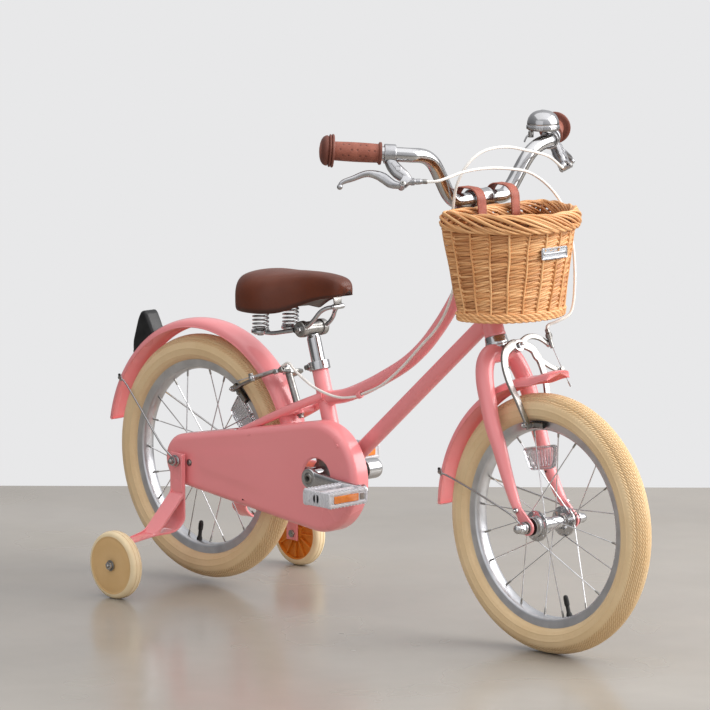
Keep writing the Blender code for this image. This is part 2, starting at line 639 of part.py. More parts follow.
def hub(extra_right=False):
    side = [(0.0000, 0.0105), (0.0260, 0.0105), (0.0285, HUB_FLANGE_R), (0.0315, HUB_FLANGE_R), (0.0320, 0.0165), (0.0425, 0.0160), (0.0425, 0.0052)]
    left = list(side)
    right = list(side)
    if extra_right:
        # The freewheel's seat takes the place of the cup on the chain's side.
        right = [(0.0000, 0.0105), (0.0250, 0.0105), (0.0275, HUB_FLANGE_R), (0.0305, HUB_FLANGE_R), (0.0310, 0.0150), (0.0425, 0.0150), (0.0425, 0.0052)]
    # along +Y: the left side is positive
    return [(-a, r) for a, r in reversed(right)][:-1] + left[1:]


def laced_wheel(axle, phase, freewheel):
    wheel = lathe(rim_shape, axle, (0, 1, 0), WHEEL_SEGMENTS)
    wheel = union(wheel, lathe(hub(freewheel), axle, (0, 1, 0), 12))
    # Twenty spokes cross twice on each side; the angle counts from the bottom, forwards.
    for k in range(SPOKES):
        theta = phase + radians(18.0) * k
        side = -1 if k % 2 == 0 else 1
        turn = SPOKE_CROSS if (k // 2) % 2 == 0 else -SPOKE_CROSS
        lift = 0.0013 if turn > 0 else -0.0013
        far = axle + Vector((0.1475 * sin(theta), side * 0.0035, -0.1475 * cos(theta)))
        near_a = theta + turn
        near = axle + Vector((0.0195 * sin(near_a), side * (HUB_FLANGE_Y + (-0.001 if freewheel and side < 0 else 0.0) + lift), -0.0195 * cos(near_a)))
        along = (far - near).normalized()
        wheel = union(wheel, rod(near - along * 0.001, far, SPOKE_R, 4))
    return wheel


finish(lathe(tyre_shape, FRONT_AXLE, (0, 1, 0), WHEEL_SEGMENTS), "front_tyre", "tyre", FRONT_AXLE, FRONT_HUB)
finish(laced_wheel(FRONT_AXLE, radians(13.0), False), "front_wheel_laced", "alloy", FRONT_AXLE, FRONT_HUB)
finish(lathe(tyre_shape, REAR_AXLE, (0, 1, 0), WHEEL_SEGMENTS), "rear_tyre", "tyre", REAR_AXLE, REAR_HUB)
finish(laced_wheel(REAR_AXLE, radians(-17.5), True), "rear_wheel_laced", "alloy", REAR_AXLE, REAR_HUB)


# ---- toothed wheels
def gear(axis_at, teeth, pitch_r, bore, low, high):
    shape = []
    for k in range(teeth):
        a = 2 * pi * k / teeth
        step = 2 * pi / teeth
        for share, r in ((-0.5, pitch_r - 0.0036), (0.0, pitch_r + 0.0024)):
            shape.append((axis_at.x + r * cos(a + share * step), axis_at.z + r * sin(a + share * step)))
    disc = prism(shape, "XZ", low, high)
    return cut(disc, rod((axis_at.x, low - 0.01, axis_at.z), (axis_at.x, high + 0.01, axis_at.z), bore, 16)) if bore else disc


cog = gear(REAR_AXLE, COG_TEETH, COG_R, 0.0153, CHAIN_Y - 0.0014, CHAIN_Y + 0.0014)
cog = union(cog, ring(REAR_AXLE, (0, 1, 0), 0.0153, 0.0225, -0.0424, -0.0325, 16))
finish(cog, "rear_sprocket", "steel", REAR_AXLE, REAR_HUB)

# ================================================================== CRANKS AND PEDALS
finish(rod(BB - Vector((0, 0.0695, 0)), BB + Vector((0, 0.0695, 0)), SPINDLE_R, 16), "bottom_bracket_spindle", "steel", BB, CRANKS)


def pedal_axis(side):
    return BB + CRANK_DIR * (CRANK_LENGTH if side < 0 else -CRANK_LENGTH) + Vector((0, 0, 0))


def crank(side):
    end = pedal_axis(side)
    lo, hi = sorted((side * CRANK_IN, side * CRANK_OUT))
    arm = prism(hull([(BB.x, BB.z, 0.0135), (end.x, end.z, 0.0105)], 14), "XZ", lo, hi)
    boss_in = 0.0370 if side < 0 else 0.0450
    boss = rod(BB + Vector((0, side * boss_in, 0)), BB + Vector((0, side * 0.0752, 0)), 0.0165, 16)
    arm = union(arm, boss)
    if side < 0:
        arm = union(arm, gear(BB, RING_TEETH, RING_R, 0, CHAIN_Y - 0.0014, CHAIN_Y + 0.0014))
    arm = cut(arm, rod(BB + Vector((0, side * 0.030, 0)), BB + Vector((0, side * 0.0700, 0)), SPINDLE_R + GAP, 16))
    pin = rod(end + Vector((0, side * 0.0700, 0)), end + Vector((0, side * 0.1600, 0)), 0.0050, 8)
    collar_piece = rod(end + Vector((0, side * 0.0740, 0)), end + Vector((0, side * 0.0825, 0)), 0.0080, 8)
    return union(arm, pin, collar_piece)


def pedal(side):
    at = pedal_axis(side)
    y0, y1 = sorted((side * 0.0838, side * 0.1670))
    shape = [(-0.0300, -0.0085), (-0.0260, -0.0130), (0.0260, -0.0130), (0.0300, -0.0085), (0.0300, 0.0085), (0.0260, 0.0130),
             (-0.0260, 0.0130), (-0.0300, 0.0085)]
    body = prism([(at.x + a, at.z + b) for a, b in shape], "XZ", y0, y1)
    for lo, hi in ((0.0110, 0.0235), (-0.0235, -0.0110)):
        for a, b in ((0.0900, 0.1210), (0.1260, 0.1590)):
            ya, yb = sorted((side * a, side * b))
            body = cut(body, block((at.x + lo, ya, at.z - 0.02), (at.x + hi, yb, at.z + 0.02)))
    return cut(body, rod(at + Vector((0, side * 0.070, 0)), at + Vector((0, side * 0.1605, 0)), 0.0056, 12))


for side, word in ((-1, "right"), (1, "left")):
    finish(crank(side), "crank_" + word, "chrome", BB, CRANKS)
    finish(pedal(side), "pedal_" + word, "clear", pedal_axis(side), CRANKS)

# ================================================================== FORK, STEM, HANDLEBAR
blade_route = [(0.6590, 0.0100, 0.4520), (0.6575, 0.0200, 0.4470), (0.6610, 0.0300, 0.4334), (0.6690, 0.0380, 0.4136), (0.6798, 0.0435, 0.3847),
               (0.6920, 0.0460, 0.3478), (0.7066, 0.0465, 0.3111), (0.7215, 0.0470, 0.2745), (0.7369, 0.0485, 0.2430), (0.7455, 0.0496, 0.2290)]


def blade(side):
    path = smooth([(x, side * y, z) for x, y, z in blade_route], 9)
    radii = [0.0124 if p.z > 0.33 else 0.0124 - (0.33 - p.z) * (0.0124 - 0.0078) / 0.10 for p in path]
    plate = hull([(FRONT_AXLE.x, FRONT_AXLE.z, 0.0125), (0.7500, 0.2245, 0.0062)], 14)
    lo, hi = sorted((side * DROPOUT_IN_FRONT, side * DROPOUT_OUT_FRONT))
    return union(sweep(path, radii, 8), prism(plate, "XZ", lo, hi))


CROWN = on_steer((0.4488 - STEER_AT.z) / STEER_DIR.z)
fork = lathe(
    [(-0.0200, 0), (-0.0200, STEERER_R), (0.1570, STEERER_R), (0.1570, 0.0164), (0.1670, 0.0164), (0.1730, 0.0148),
     (0.1730, STEERER_BORE), (0.0300, STEERER_BORE), (0.0300, 0)],
    STEER_AT, STEER_DIR, 14, (0, 1, 0),
)
fork = union(fork, rod(CROWN - Vector((0, 0.0215, 0)), CROWN + Vector((0, 0.0215, 0)), 0.0130, 12), blade(-1), blade(1))
fork = cut(fork, ring(STEER_AT, STEER_DIR, 0.01290, 0.0400, -0.0090, 0.0300, 16, (0, 1, 0)))

FRONT_B = Vector((0.9180, 0, 0.3967)).normalized()
FRONT_E = Vector((0.3967, 0, -0.9180)).normalized()
FRONT_P = CROWN + FRONT_B * 0.0410
fork = cut(
    fork,
    rod(FRONT_AXLE - Vector((0, 0.07, 0)), FRONT_AXLE + Vector((0, 0.07, 0)), AXLE_R + 0.0005, 16),
    rod(CROWN - FRONT_B * 0.030, CROWN + FRONT_B * 0.030, 0.0031, 12, (0, 1, 0)),
)
finish(fork, "fork", "pink", STEER_AT, STEERING)

finish(
    lathe(
        [(-0.0220, 0), (-0.0220, 0.0046), (-0.0178, 0.0046), (-0.0178, 0.0025), (0.0210, 0.0025), (0.0210, 0.0055), (0.0360, 0.0055),
         (0.0360, 0.0025), (0.0462, 0.0025), (0.0462, 0.0052), (0.0500, 0.0052), (0.0500, 0)],
        CROWN, FRONT_B, 8, (0, 1, 0),
    ),
    "front_caliper_bolt", "steel", STEER_AT, STEERING,
)

half = [(0.0, AXLE_R), (0.0430, AXLE_R), (0.0430, 0.0072), (0.0477, 0.0072), (0.0477, AXLE_R), (0.0580, AXLE_R), (0.0580, 0.0095),
        (0.0600, 0.0095), (0.0600, 0.0078), (0.0700, 0.0075), (0.0765, 0.0035), (0.0775, 0)]
finish(lathe([(-a, r) for a, r in reversed(half)][:-1] + half[1:], FRONT_AXLE, (0, 1, 0), 8), "front_axle", "chrome", STEER_AT, STEERING)

front_guard = mudguard(FRONT_AXLE, radians(180.0), radians(85.0), 10, 0.0025)
for side in (-1, 1):
    route = [(0.7620, side * 0.05615, 0.2030), (0.7540, side * 0.05615, 0.2085), (0.7456, side * 0.0562, 0.2140), (0.7250, side * 0.0552, 0.2215),
             (0.6400, side * 0.0390, 0.2400), (0.5780, side * 0.0262, 0.2510), (0.5610, side * 0.0236, 0.2545)]
    front_guard = union(front_guard, sweep([Vector(p) for p in route], [0.0010, 0.0010, 0.0014] + [wire_r] * 4, 4), eyelet(FRONT_AXLE, side * 0.0549, side * 0.0575))
front_guard = cut(front_guard, rod(FRONT_AXLE - Vector((0, 0.09, 0)), FRONT_AXLE + Vector((0, 0.09, 0)), AXLE_R + 0.0005, 12))
finish(front_guard, "front_mudguard", "pink", STEER_AT, STEERING)

# ---- stem: quill, neck and clamp barrel
neck = smooth([on_steer(0.1850), on_steer(0.2000), (0.5925, 0, 0.6720), (0.6010, 0, 0.6815), (0.6130, 0, 0.6840)], 7)
stem = lathe([(0.0600, 0), (0.0600, QUILL_R), (0.1740, QUILL_R), (0.1740, 0.0140), (0.1790, 0.0140), (0.1880, 0.0124), (0.2040, 0.0122), (0.2080, 0.0080), (0.2080, 0)],
             STEER_AT, STEER_DIR, 12, (0, 1, 0))
stem = union(stem, sweep(neck, [0.0118, 0.0119, 0.0120, 0.0125, 0.0130, 0.0130, 0.0120], 8))
stem = union(stem, lathe([(-0.0200, 0), (-0.0200, 0.0150), (-0.0190, 0.0160), (0.0190, 0.0160), (0.0200, 0.0150), (0.0200, 0)], BAR_CLAMP, (0, 1, 0), 14))
stem = cut(stem, rod(BAR_CLAMP - Vector((0, 0.04, 0)), BAR_CLAMP + Vector((0, 0.04, 0)), BAR_R + GAP * 1.5, 14))
finish(stem, "stem", "chrome", STEER_AT, STEERING)

# ---- handlebar: one tube bent up and swept back
bend = smooth([(0.6130, 0.0475, 0.6840), (0.6133, 0.0570, 0.6868), (0.6138, 0.0655, 0.6935), (0.6145, 0.0735, 0.7030), (0.6160, 0.0855, 0.7205),
               (0.6175, 0.0960, 0.7355), (0.6190, 0.1070, 0.7478), (0.6200, 0.1200, 0.7562), (0.6195, 0.1345, 0.7605), (0.6168, 0.1514, 0.7621)], 10)
reach = [GRIP_END - GRIP_DIR * s for s in (0.1180, 0.0500, -0.0020)]
left_bar = bend + reach[2:]
bar_path = [Vector((p.x, -p.y, p.z)) for p in reversed(left_bar)] + left_bar
finish(sweep(bar_path, BAR_R, 10), "handlebar", "alloy", STEER_AT, STEERING)


def along_grip(side, s, out=0.0, direction=None):
    """A point on the grip's axis, s metres inboard of its flange ring."""
    at = Vector((GRIP_END.x, side * GRIP_END.y, GRIP_END.z))
    d = Vector((GRIP_DIR.x, side * GRIP_DIR.y, GRIP_DIR.z))
    return at - d * s


grip_shape = [(-0.0750, 0.0116), (-0.0750, 0.0170), (-0.0715, 0.0170), (-0.0695, 0.0142), (-0.0350, 0.0150), (-0.0040, 0.0146), (-0.0030, 0.0250),
              (0.0015, 0.0250), (0.0030, 0.0222), (0.0110, 0.0205), (0.0165, 0.0140), (0.0185, 0.0), (0.0040, 0.0), (0.0040, 0.0116)]
grip_shape = grip_shape[12:] + grip_shape[:12]
for side, word in ((-1, "right"), (1, "left")):
    d = Vector((GRIP_DIR.x, side * GRIP_DIR.y, GRIP_DIR.z))
    finish(lathe(grip_shape, along_grip(side, 0), d, 12), "grip_" + word, "grip", STEER_AT, STEERING)


# ---- brake lever brackets and levers
def lever_axes(side):
    d = Vector((GRIP_DIR.x, side * GRIP_DIR.y, GRIP_DIR.z)).normalized()
    f = Vector((0.375, side * 0.3136, -0.872))
    f = (f - d * d.dot(f)).normalized()
    return d, f, f.cross(d).normalized() * (1 if side < 0 else 1)


LEVER_S = {-1: 0.0880, 1: 0.0880}
LEVER_PIVOT = (-0.0190, 0.0500)


def lever_frame(side):
    """A function that puts (outboard, down, across) of a lever's clamp in space, and the three directions."""
    d, f, n = lever_axes(side)
    at = along_grip(side, LEVER_S[side])
    return (lambda a, b, c=0.0: at + d * a + f * b + n * c), d, f, n


def lever_bracket(side):
    on, d, f, n = lever_frame(side)
    body = ring(on(0, 0), d, BAR_R + GAP * 1.5, 0.0150, -0.0088, 0.0088, 14)
    arm = strap([on(-0.0010, 0.0130), on(-0.0070, 0.0220), on(-0.0180, 0.0330), on(-0.0290, 0.0415)], [0.0170, 0.0196, 0.0180, 0.0120], [0.0165] * 4, n)
    lugs = [strap([on(-0.0228, 0.0370, k * 0.0079), on(*LEVER_PIVOT, k * 0.0079)], [0.0112, 0.0093], [0.0023] * 2, n) for k in (-1, 1)]
    stop = rod(on(-0.0270, 0.0410), on(-0.0500, 0.0416), 0.0041, 8)
    body = union(body, arm, *lugs, stop)
    return cut(body, rod(on(0.013, 0), on(-0.013, 0), BAR_R + GAP * 1.5, 14))


def brake_lever(side):
    on, d, f, n = lever_frame(side)
    path = [on(-0.0185, 0.0505), on(-0.0100, 0.0500), on(-0.0020, 0.0475), on(0.0093, 0.0395), on(0.0190, 0.0355), on(0.0310, 0.0340), on(0.0410, 0.0365),
            on(0.0550, 0.0435), on(0.0670, 0.0485), on(0.0733, 0.0535)]
    body = strap(path, [0.0080, 0.0110, 0.0140, 0.0150, 0.0130, 0.0098, 0.0092, 0.0080, 0.0070, 0.0062],
                 [0.0118, 0.0120, 0.0122, 0.0124, 0.0120, 0.0112, 0.0104, 0.0096, 0.0090, 0.0080], n)
    body = union(body, rod(on(*LEVER_PIVOT, -0.0060), on(*LEVER_PIVOT, 0.0060), 0.0048, 10))
    ball = lathe([(-0.0048, 0), (-0.0043, 0.0022), (-0.0026, 0.0040), (0.0, 0.0048), (0.0026, 0.0040), (0.0043, 0.0022), (0.0048, 0)], on(0.0742, 0.0580), f, 8)
    return union(body, ball), on(*LEVER_PIVOT)


for side, word in ((-1, "right"), (1, "left")):
    finish(lever_bracket(side), "lever_bracket_" + word, "alloy", STEER_AT, STEERING)
    lever, pivot = brake_lever(side)
    finish(lever, "brake_lever_" + word, "alloy", pivot, STEERING)

# ---- bell: clamp, post and dome in one piece, and its thumb lever
bell_bar = along_grip(1, 0.1180)
bell_d = GRIP_DIR
BELL_AT = Vector((0.6115, 0.1419, 0.7765))
bell = ring(bell_bar, bell_d, BAR_R + GAP * 1.5, 0.0146, -0.0045, 0.0045, 14)
up = (BELL_AT - bell_bar - bell_d * (BELL_AT - bell_bar).dot(bell_d)).normalized()
bell = union(bell, sweep([bell_bar + up * 0.0128, BELL_AT + Vector((0, 0, 0.0035)), BELL_AT + Vector((0, 0, 0.0320))], [0.0046, 0.0040, 0.0030], 8))
bell = cut(bell, sweep(bar_path, BAR_R + GAP, 10))
outside, inside = [], []
for k in range(4):
    a = pi / 2 * k / 4
    outside.append((0.0020 + 0.0310 * sin(a), 0.0252 * cos(a)))
    inside.append((0.0020 + 0.0292 * sin(a), 0.0236 * cos(a)))
bell = union(bell, lathe([(0.0312, 0.0)] + list(reversed(inside)) + outside + [(0.0330, 0.0)], BELL_AT, (0, 0, 1), 16, (1, 0, 0)))
finish(bell, "bell", "chrome", STEER_AT, STEERING)
trigger_at = BELL_AT + Vector((-0.0125, -0.0140, -0.0060))
trigger = rod(trigger_at + Vector((0, 0, -0.0030)), trigger_at + Vector((0, 0, 0.0030)), 0.0040, 10)
trigger = union(trigger, strap([trigger_at + Vector((-0.001, 0.001, 0)), trigger_at + Vector((-0.0050, -0.0040, -0.0030)), trigger_at + Vector((-0.0078, -0.0062, -0.0110))],
                               [0.0040, 0.0040, 0.0045], [0.0030, 0.0028, 0.0028], (0, 1, 0.3)))
finish(trigger, "bell_trigger", "chrome", trigger_at, STEERING)


# ---- wicker basket: flat back, rounded front, tapering to its foot, with a thick rim
def basket_ring(z, half, back, depth, inset, count=24):
    """An outline at height z; back is the x of the flat side, depth its reach forwards."""
    middle = back + 0.012
    shape = []
    for k in range(count):
        a = 2 * pi * k / count
        ca, sa = cos(a), sin(a)
        power = 2.1 if ca >= 0 else 7.0
        reach_x = (back + depth - middle - inset) if ca >= 0 else (middle - back - inset)
        x = middle + reach_x * (1 if ca >= 0 else -1) * abs(ca) ** (2 / power)
        y = (half - inset) * (1 if sa >= 0 else -1) * abs(sa) ** (2 / power)
        shape.append(Vector((x, y, z)))
    return shape


levels = [(0.5090, 0.0930, 0.6590, 0.0870), (0.5140, 0.0970, 0.6570, 0.0940), (0.5560, 0.1012, 0.6490, 0.1097), (0.6100, 0.1065, 0.6387, 0.1299),
          (0.6440, 0.1098, 0.6325, 0.1423), (0.6500, 0.1155, 0.6306, 0.1529), (0.6600, 0.1180, 0.6297, 0.1583), (0.6710, 0.1175, 0.6300, 0.1572), (0.6780, 0.1125, 0.6330, 0.1485)]
basket = loft([basket_ring(z, h, b, dp, 0.0) for z, h, b, dp in levels])
inside = [(0.5155, 0.0970, 0.6568, 0.0946), (0.5560, 0.1012, 0.6490, 0.1097), (0.6100, 0.1065, 0.6387, 0.1299), (0.6440, 0.1098, 0.6325, 0.1423), (0.6900, 0.1115, 0.6320, 0.1450)]
basket = cut(basket, loft([basket_ring(z, h, b, dp, BASKET_WALL) for z, h, b, dp in inside]))

strap_outer = [(0.6200, 0.6860, 0.0210), (0.6400, 0.6640, 0.0175)]
strap_inner = [(0.6200, 0.6860, 0.0189), (0.6400, 0.6640, 0.0154)]


def strap_loop(y0, y1, grow):
    loop = prism(hull([(x, z, r + grow) for x, z, r in strap_outer], 14), "XZ", y0, y1)
    return cut(loop, prism(hull([(x, z, r - grow) for x, z, r in strap_inner], 14), "XZ", y0 - 0.01, y1 + 0.01))


for y in (-STRAP_Y, STRAP_Y):
    basket = cut(basket, strap_loop(y - 0.0094, y + 0.0094, 0.0005))
finish(basket, "basket", "wicker", STEER_AT, STEERING)
for y, word in ((-STRAP_Y, "right"), (STRAP_Y, "left")):
    finish(strap_loop(y - 0.0090, y + 0.0090, 0.0), "basket_strap_" + word, "strap", STEER_AT, STEERING)


# ================================================================== CALIPER BRAKES
def caliper(pivot, down, normal, pad_e, right_extra, left_extra, flip):
    """Both arms of a side-pull brake. Arms are flat bars in the plane of the pivot; flip puts the cable's side on the rider's right."""
    across = Vector((0, 1, 0))

    def at(y, e, b):
        return pivot + across * y + down * e + normal * b

    def arm(side, level, extra):
        route = smooth([at(0, 0, level), at(side * 0.0180, -0.0035, level), at(side * 0.0315, 0.0080, level), at(side * 0.0350, 0.0300, level),
                        at(side * 0.0335, 0.0600, level), at(side * 0.0290, pad_e - 0.012, level), at(side * 0.0280, pad_e + 0.004, level)], 7)
        body = strap(route, [0.0120, 0.0112, 0.0102, 0.0095, 0.0087, 0.0080, 0.0075], [0.0040] * 7, normal)
        wing = smooth([at(*p, level) for p in extra], 4)
        body = union(body, strap(wing, [0.0108, 0.0098, 0.0092, 0.0090], [0.0036] * 4, normal))
        body = union(body, rod(at(0, 0, level - 0.0022), at(0, 0, level + 0.0022), 0.0085, 10, (0, 1, 0)))
        end_y, end_e = extra[-1]
        # the cable's anchor bolt, or the adjuster that its housing ends in
        if (side < 0) != flip:
            body = union(body, rod(at(end_y, end_e + 0.006, level + 0.0048), at(end_y, end_e - 0.014, level + 0.0048), 0.0040, 8))
        else:
            body = union(body, rod(at(end_y, end_e, level - 0.0045), at(end_y, end_e, level + 0.0060), 0.0045, 8, (0, 1, 0)))
        return cut(body, rod(at(0, 0, -0.02), at(0, 0, 0.02), 0.0031, 8, (0, 1, 0)))

    return arm(-1, 0.0024, right_extra), arm(1, -0.0024, left_extra)


def pad(axle, toward, side):
    """A rubber block in its shoe, beside the rim."""
    radial = Vector(toward).normalized()
    tangent = Vector((0, 1, 0)).cross(radial).normalized()
    at = axle + radial * PAD_R
    inner, outer = 0.0146, 0.0232
    shape = [(-0.0195, -0.0026), (-0.0175, -0.0042), (0.0175, -0.0042), (0.0195, -0.0026), (0.0195, 0.0026), (0.0175, 0.0042), (-0.0175, 0.0042), (-0.0195, 0.0026)]
    rings = []
    for y, scale in ((inner, 1.0), (inner + 0.0055, 1.0), (outer, 0.86)):
        rings.append([at + tangent * a * scale + radial * b * scale + Vector((0, side * y, 0)) for a, b in shape])
    return loft(rings)


front_toward = Vector((0.7518 - FRONT_AXLE.x, 0, 0.3598 - FRONT_AXLE.z))
rear_toward = Vector((0.104, 0, 0.124))
front_pad_e = (FRONT_AXLE + front_toward.normalized() * PAD_R - FRONT_P).dot(FRONT_E)
rear_pad_e = (REAR_AXLE + rear_toward.normalized() * PAD_R - REAR_P).dot(REAR_E)

FRONT_BARREL = (0.0655, 0.0045)
FRONT_ANCHOR = (0.0780, 0.0465)
right_arm, left_arm = caliper(
    FRONT_P, FRONT_E, FRONT_B, front_pad_e,
    [(0.0, 0.0), (0.0250, -0.0110), (0.0460, -0.0080), FRONT_BARREL],
    [(0.0340, 0.0200), (0.0470, 0.0300), (0.0620, 0.0400), FRONT_ANCHOR], False,
)
finish(right_arm, "front_caliper_arm_right", "alloy", FRONT_P, STEERING)
finish(left_arm, "front_caliper_arm_left", "alloy", FRONT_P, STEERING)
REAR_BARREL = (-0.0420, -0.0200)
REAR_ANCHOR = (-0.0560, 0.0270)
right_arm, left_arm = caliper(
    REAR_P, REAR_E, REAR_B, rear_pad_e,
    [(-0.0340, 0.0150), (-0.0400, 0.0190), (-0.0480, 0.0240), REAR_ANCHOR],
    [(0.0, 0.0), (-0.0150, -0.0100), (-0.0300, -0.0170), REAR_BARREL], True,
)
finish(right_arm, "rear_caliper_arm_right", "alloy", REAR_P)
finish(left_arm, "rear_caliper_arm_left", "alloy", REAR_P)
for side, word in ((-1, "right"), (1, "left")):
    finish(pad(FRONT_AXLE, front_toward, side), "front_brake_pad_" + word, "black", FRONT_P, STEERING)
    finish(pad(REAR_AXLE, rear_toward, side), "rear_brake_pad_" + word, "black", REAR_P)

# ================================================================== CABLES
front_barrel_at = FRONT_P + Vector((0, FRONT_BARREL[0], 0)) + FRONT_E * (FRONT_BARREL[1] - 0.0155) + FRONT_B * 0.0072
d, f, n = lever_axes(-1)
right_stop = along_grip(-1, LEVER_S[-1]) + f * 0.0418 - d * 0.0505
front_route = [right_stop - d * 0.0100, (0.6592, -0.1297, 0.7262), (0.6660, -0.0866, 0.7360), (0.6700, -0.0356, 0.7380), (0.6705, 0.0200, 0.7318),
               (0.6660, 0.0588, 0.7225), (0.6645, 0.0972, 0.7010), (0.6690, 0.1232, 0.6720), (0.6790, 0.1300, 0.6400), (0.6940, 0.1262, 0.5950),
               (0.7040, 0.1180, 0.5450), (0.7060, 0.1080, 0.5080), (0.7000, 0.0880, 0.4960), (0.6930, 0.0720, 0.4900), front_barrel_at - FRONT_E * 0.0070]
finish(sweep([right_stop] + smooth(front_route, 33) + [front_barrel_at], CABLE_R, 8), "front_brake_cable", "housing", STEER_AT, STEERING)

d, f, n = lever_axes(1)
left_stop = along_grip(1, LEVER_S[1]) + f * 0.0418 - d * 0.0505
upper_route = [left_stop - d * 0.0100, (0.6620, 0.1000, 0.7455), (0.6615, 0.0500, 0.7585), (0.6575, 0.0100, 0.7658), (0.6540, -0.0300, 0.7630),
               (0.6480, -0.0560, 0.7480), (0.6400, -0.0720, 0.7210), (0.6310, -0.0730, 0.6900), (0.6200, -0.0640, 0.6590), (0.6060, -0.0430, 0.6360), (0.5990, -0.0280, 0.6180), (0.5972, -0.0240, 0.6085)]
finish(sweep([left_stop] + smooth(upper_route, 27), CABLE_R, 8), "rear_brake_cable_upper", "housing", STEER_AT, STEERING)

rear_barrel_at = REAR_P + Vector((0, REAR_BARREL[0], 0)) + REAR_E * (REAR_BARREL[1] - 0.0155) + REAR_B * 0.0024
to_clip = [(0.5969, -0.0234, 0.6070), (0.5930, -0.0228, 0.5850), (0.5860, -0.0222, 0.5620), (0.5750, -0.0215, 0.5290), (0.5590, -0.0205, 0.4990), (0.5360, -0.0185, 0.4720), (0.5068, -0.0180, 0.4460), (0.4610, -0.0170, 0.4050),
           (0.4148, -0.0140, 0.3730), clip_at + clip_dir * 0.0080]
from_clip = [clip_at - clip_dir * 0.0080, (0.3208, -0.0180, 0.3440), (0.2800, -0.0290, 0.3560), (0.2450, -0.0370, 0.3790), rear_barrel_at - REAR_E * 0.0150, rear_barrel_at]
finish(sweep(smooth(to_clip, 21) + smooth(from_clip, 10), CABLE_R, 8), "rear_brake_cable", "housing", parent=FRAME)

# ================================================================== SADDLE AND POST
POST_LOW, POST_HIGH = 0.0760, 0.2200
post = lathe(
    [(POST_HIGH - 0.004, 0.0), (POST_HIGH - 0.004, 0.0092), (POST_LOW, 0.0092), (POST_LOW, SEAT_POST_R), (POST_HIGH, SEAT_POST_R), (POST_HIGH, 0.0)],
    SEAT_FOOT, SEAT_DIR, 14, (0, 1, 0),
)
finish(post, "seat_post", "chrome")

SPRING_X, SPRING_Y = 0.1600, 0.0330
SPRING_LOW, SPRING_HIGH = 0.4366, 0.4666
clamp_at = SEAT_FOOT + SEAT_DIR * (POST_HIGH + 0.0145)
rails = rod(clamp_at + Vector((0, -0.0290, 0)), clamp_at + Vector((0, 0.0290, 0)), 0.0120, 12)
for side in (-1, 1):
    path = smooth([(SPRING_X - 0.004, side * SPRING_Y, 0.4328), (0.1850, side * 0.0330, 0.4330), (0.2100, side * 0.0295, 0.4375), (0.2350, side * 0.0235, 0.4430),
                   (0.2560, side * 0.0220, 0.4500), (0.2700, side * 0.0205, 0.4620), (0.2800, side * 0.0165, 0.4750), (0.2910, side * 0.0115, 0.4820), (0.3030, side * 0.0060, 0.4845)], 9)
    rails = union(rails, sweep(path, 0.0034, 8), rod((SPRING_X, side * SPRING_Y, 0.4310), (SPRING_X, side * SPRING_Y, SPRING_LOW - GAP), 0.0150, 12))
rails = union(rails, rod((0.3030, -0.0100, 0.4850), (0.3030, 0.0100, 0.4850), 0.0040, 10))
finish(rails, "saddle_rails", "chrome")


def coil(side):
    """A coil spring: wire wound in closed end turns and open turns between."""
    path = []
    turns, per = 4.5, 8
    wire = 0.0015
    total = int(turns * per)
    for k in range(total + 1):
        share = k / total
        a = 2 * pi * turns * share
        path.append(Vector((SPRING_X + 0.0118 * cos(a), side * SPRING_Y + 0.0118 * sin(a), SPRING_LOW + wire + (SPRING_HIGH - SPRING_LOW - 2 * wire) * share)))
    return sweep(path, wire, 4)


finish(coil(-1), "saddle_spring_right", "chrome", (SPRING_X, -SPRING_Y, SPRING_LOW))
finish(coil(1), "saddle_spring_left", "chrome", (SPRING_X, SPRING_Y, SPRING_LOW))


def saddle_ring(x, half, top, side_z, low):
    """A cross-section: a crowned top, rounded shoulders, and a skirt down to a flat underside."""
    fall, skirt = top - side_z, side_z - low
    shape = [(0.0, top), (0.38, top - 0.03 * fall), (0.68, top - 0.13 * fall), (0.88, top - 0.36 * fall), (0.98, top - 0.70 * fall), (1.0, side_z), (0.985, low + 0.18 * skirt), (0.93, low)]
    right = [(-a * half, z) for a, z in shape]
    left = [(a * half, z) for a, z in reversed(shape)][:-1]
    return [Vector((x, y, z)) for y, z in right + left]


stations = [
    (0.1101, 0.0276, 0.5120, 0.4940, 0.4780), (0.1156, 0.0442, 0.5210, 0.4930, 0.4720), (0.1274, 0.0580, 0.5270, 0.4920, 0.4680), (0.1456, 0.0662, 0.5300, 0.4910, 0.4672),
    (0.1684, 0.0685, 0.5290, 0.4900, 0.4672), (0.1911, 0.0626, 0.5260, 0.4910, 0.4672), (0.2139, 0.0488, 0.5240, 0.4940, 0.4680), (0.2366, 0.0350, 0.5240, 0.4980, 0.4740),
    (0.2594, 0.0267, 0.5250, 0.5010, 0.4830), (0.2867, 0.0225, 0.5270, 0.5050, 0.4895), (0.3094, 0.0202, 0.5260, 0.5060, 0.4920), (0.3203, 0.0152, 0.5220, 0.5070, 0.4940),
    (0.3249, 0.0083, 0.5160, 0.5080, 0.4980),
]
NOSE_PIVOT = Vector((0.3030, 0.0, 0.4850))
finish(loft([saddle_ring(*s) for s in stations]), "saddle", "leather", NOSE_PIVOT, angle=60)
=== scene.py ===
"""Kids bike with training wheels and a wicker basket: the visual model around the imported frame.

Metres. The design frame has X = 0 at the rear axle; make() shifts every piece by SHIFT_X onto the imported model.
"""
import json
from math import acos, atan2, cos, degrees, hypot, pi, radians, sin, sqrt

import bmesh
import bpy
import numpy as np
from mathutils import Matrix, Vector
from mathutils.geometry import convex_hull_2d, delaunay_2d_cdt, tessellate_polygon


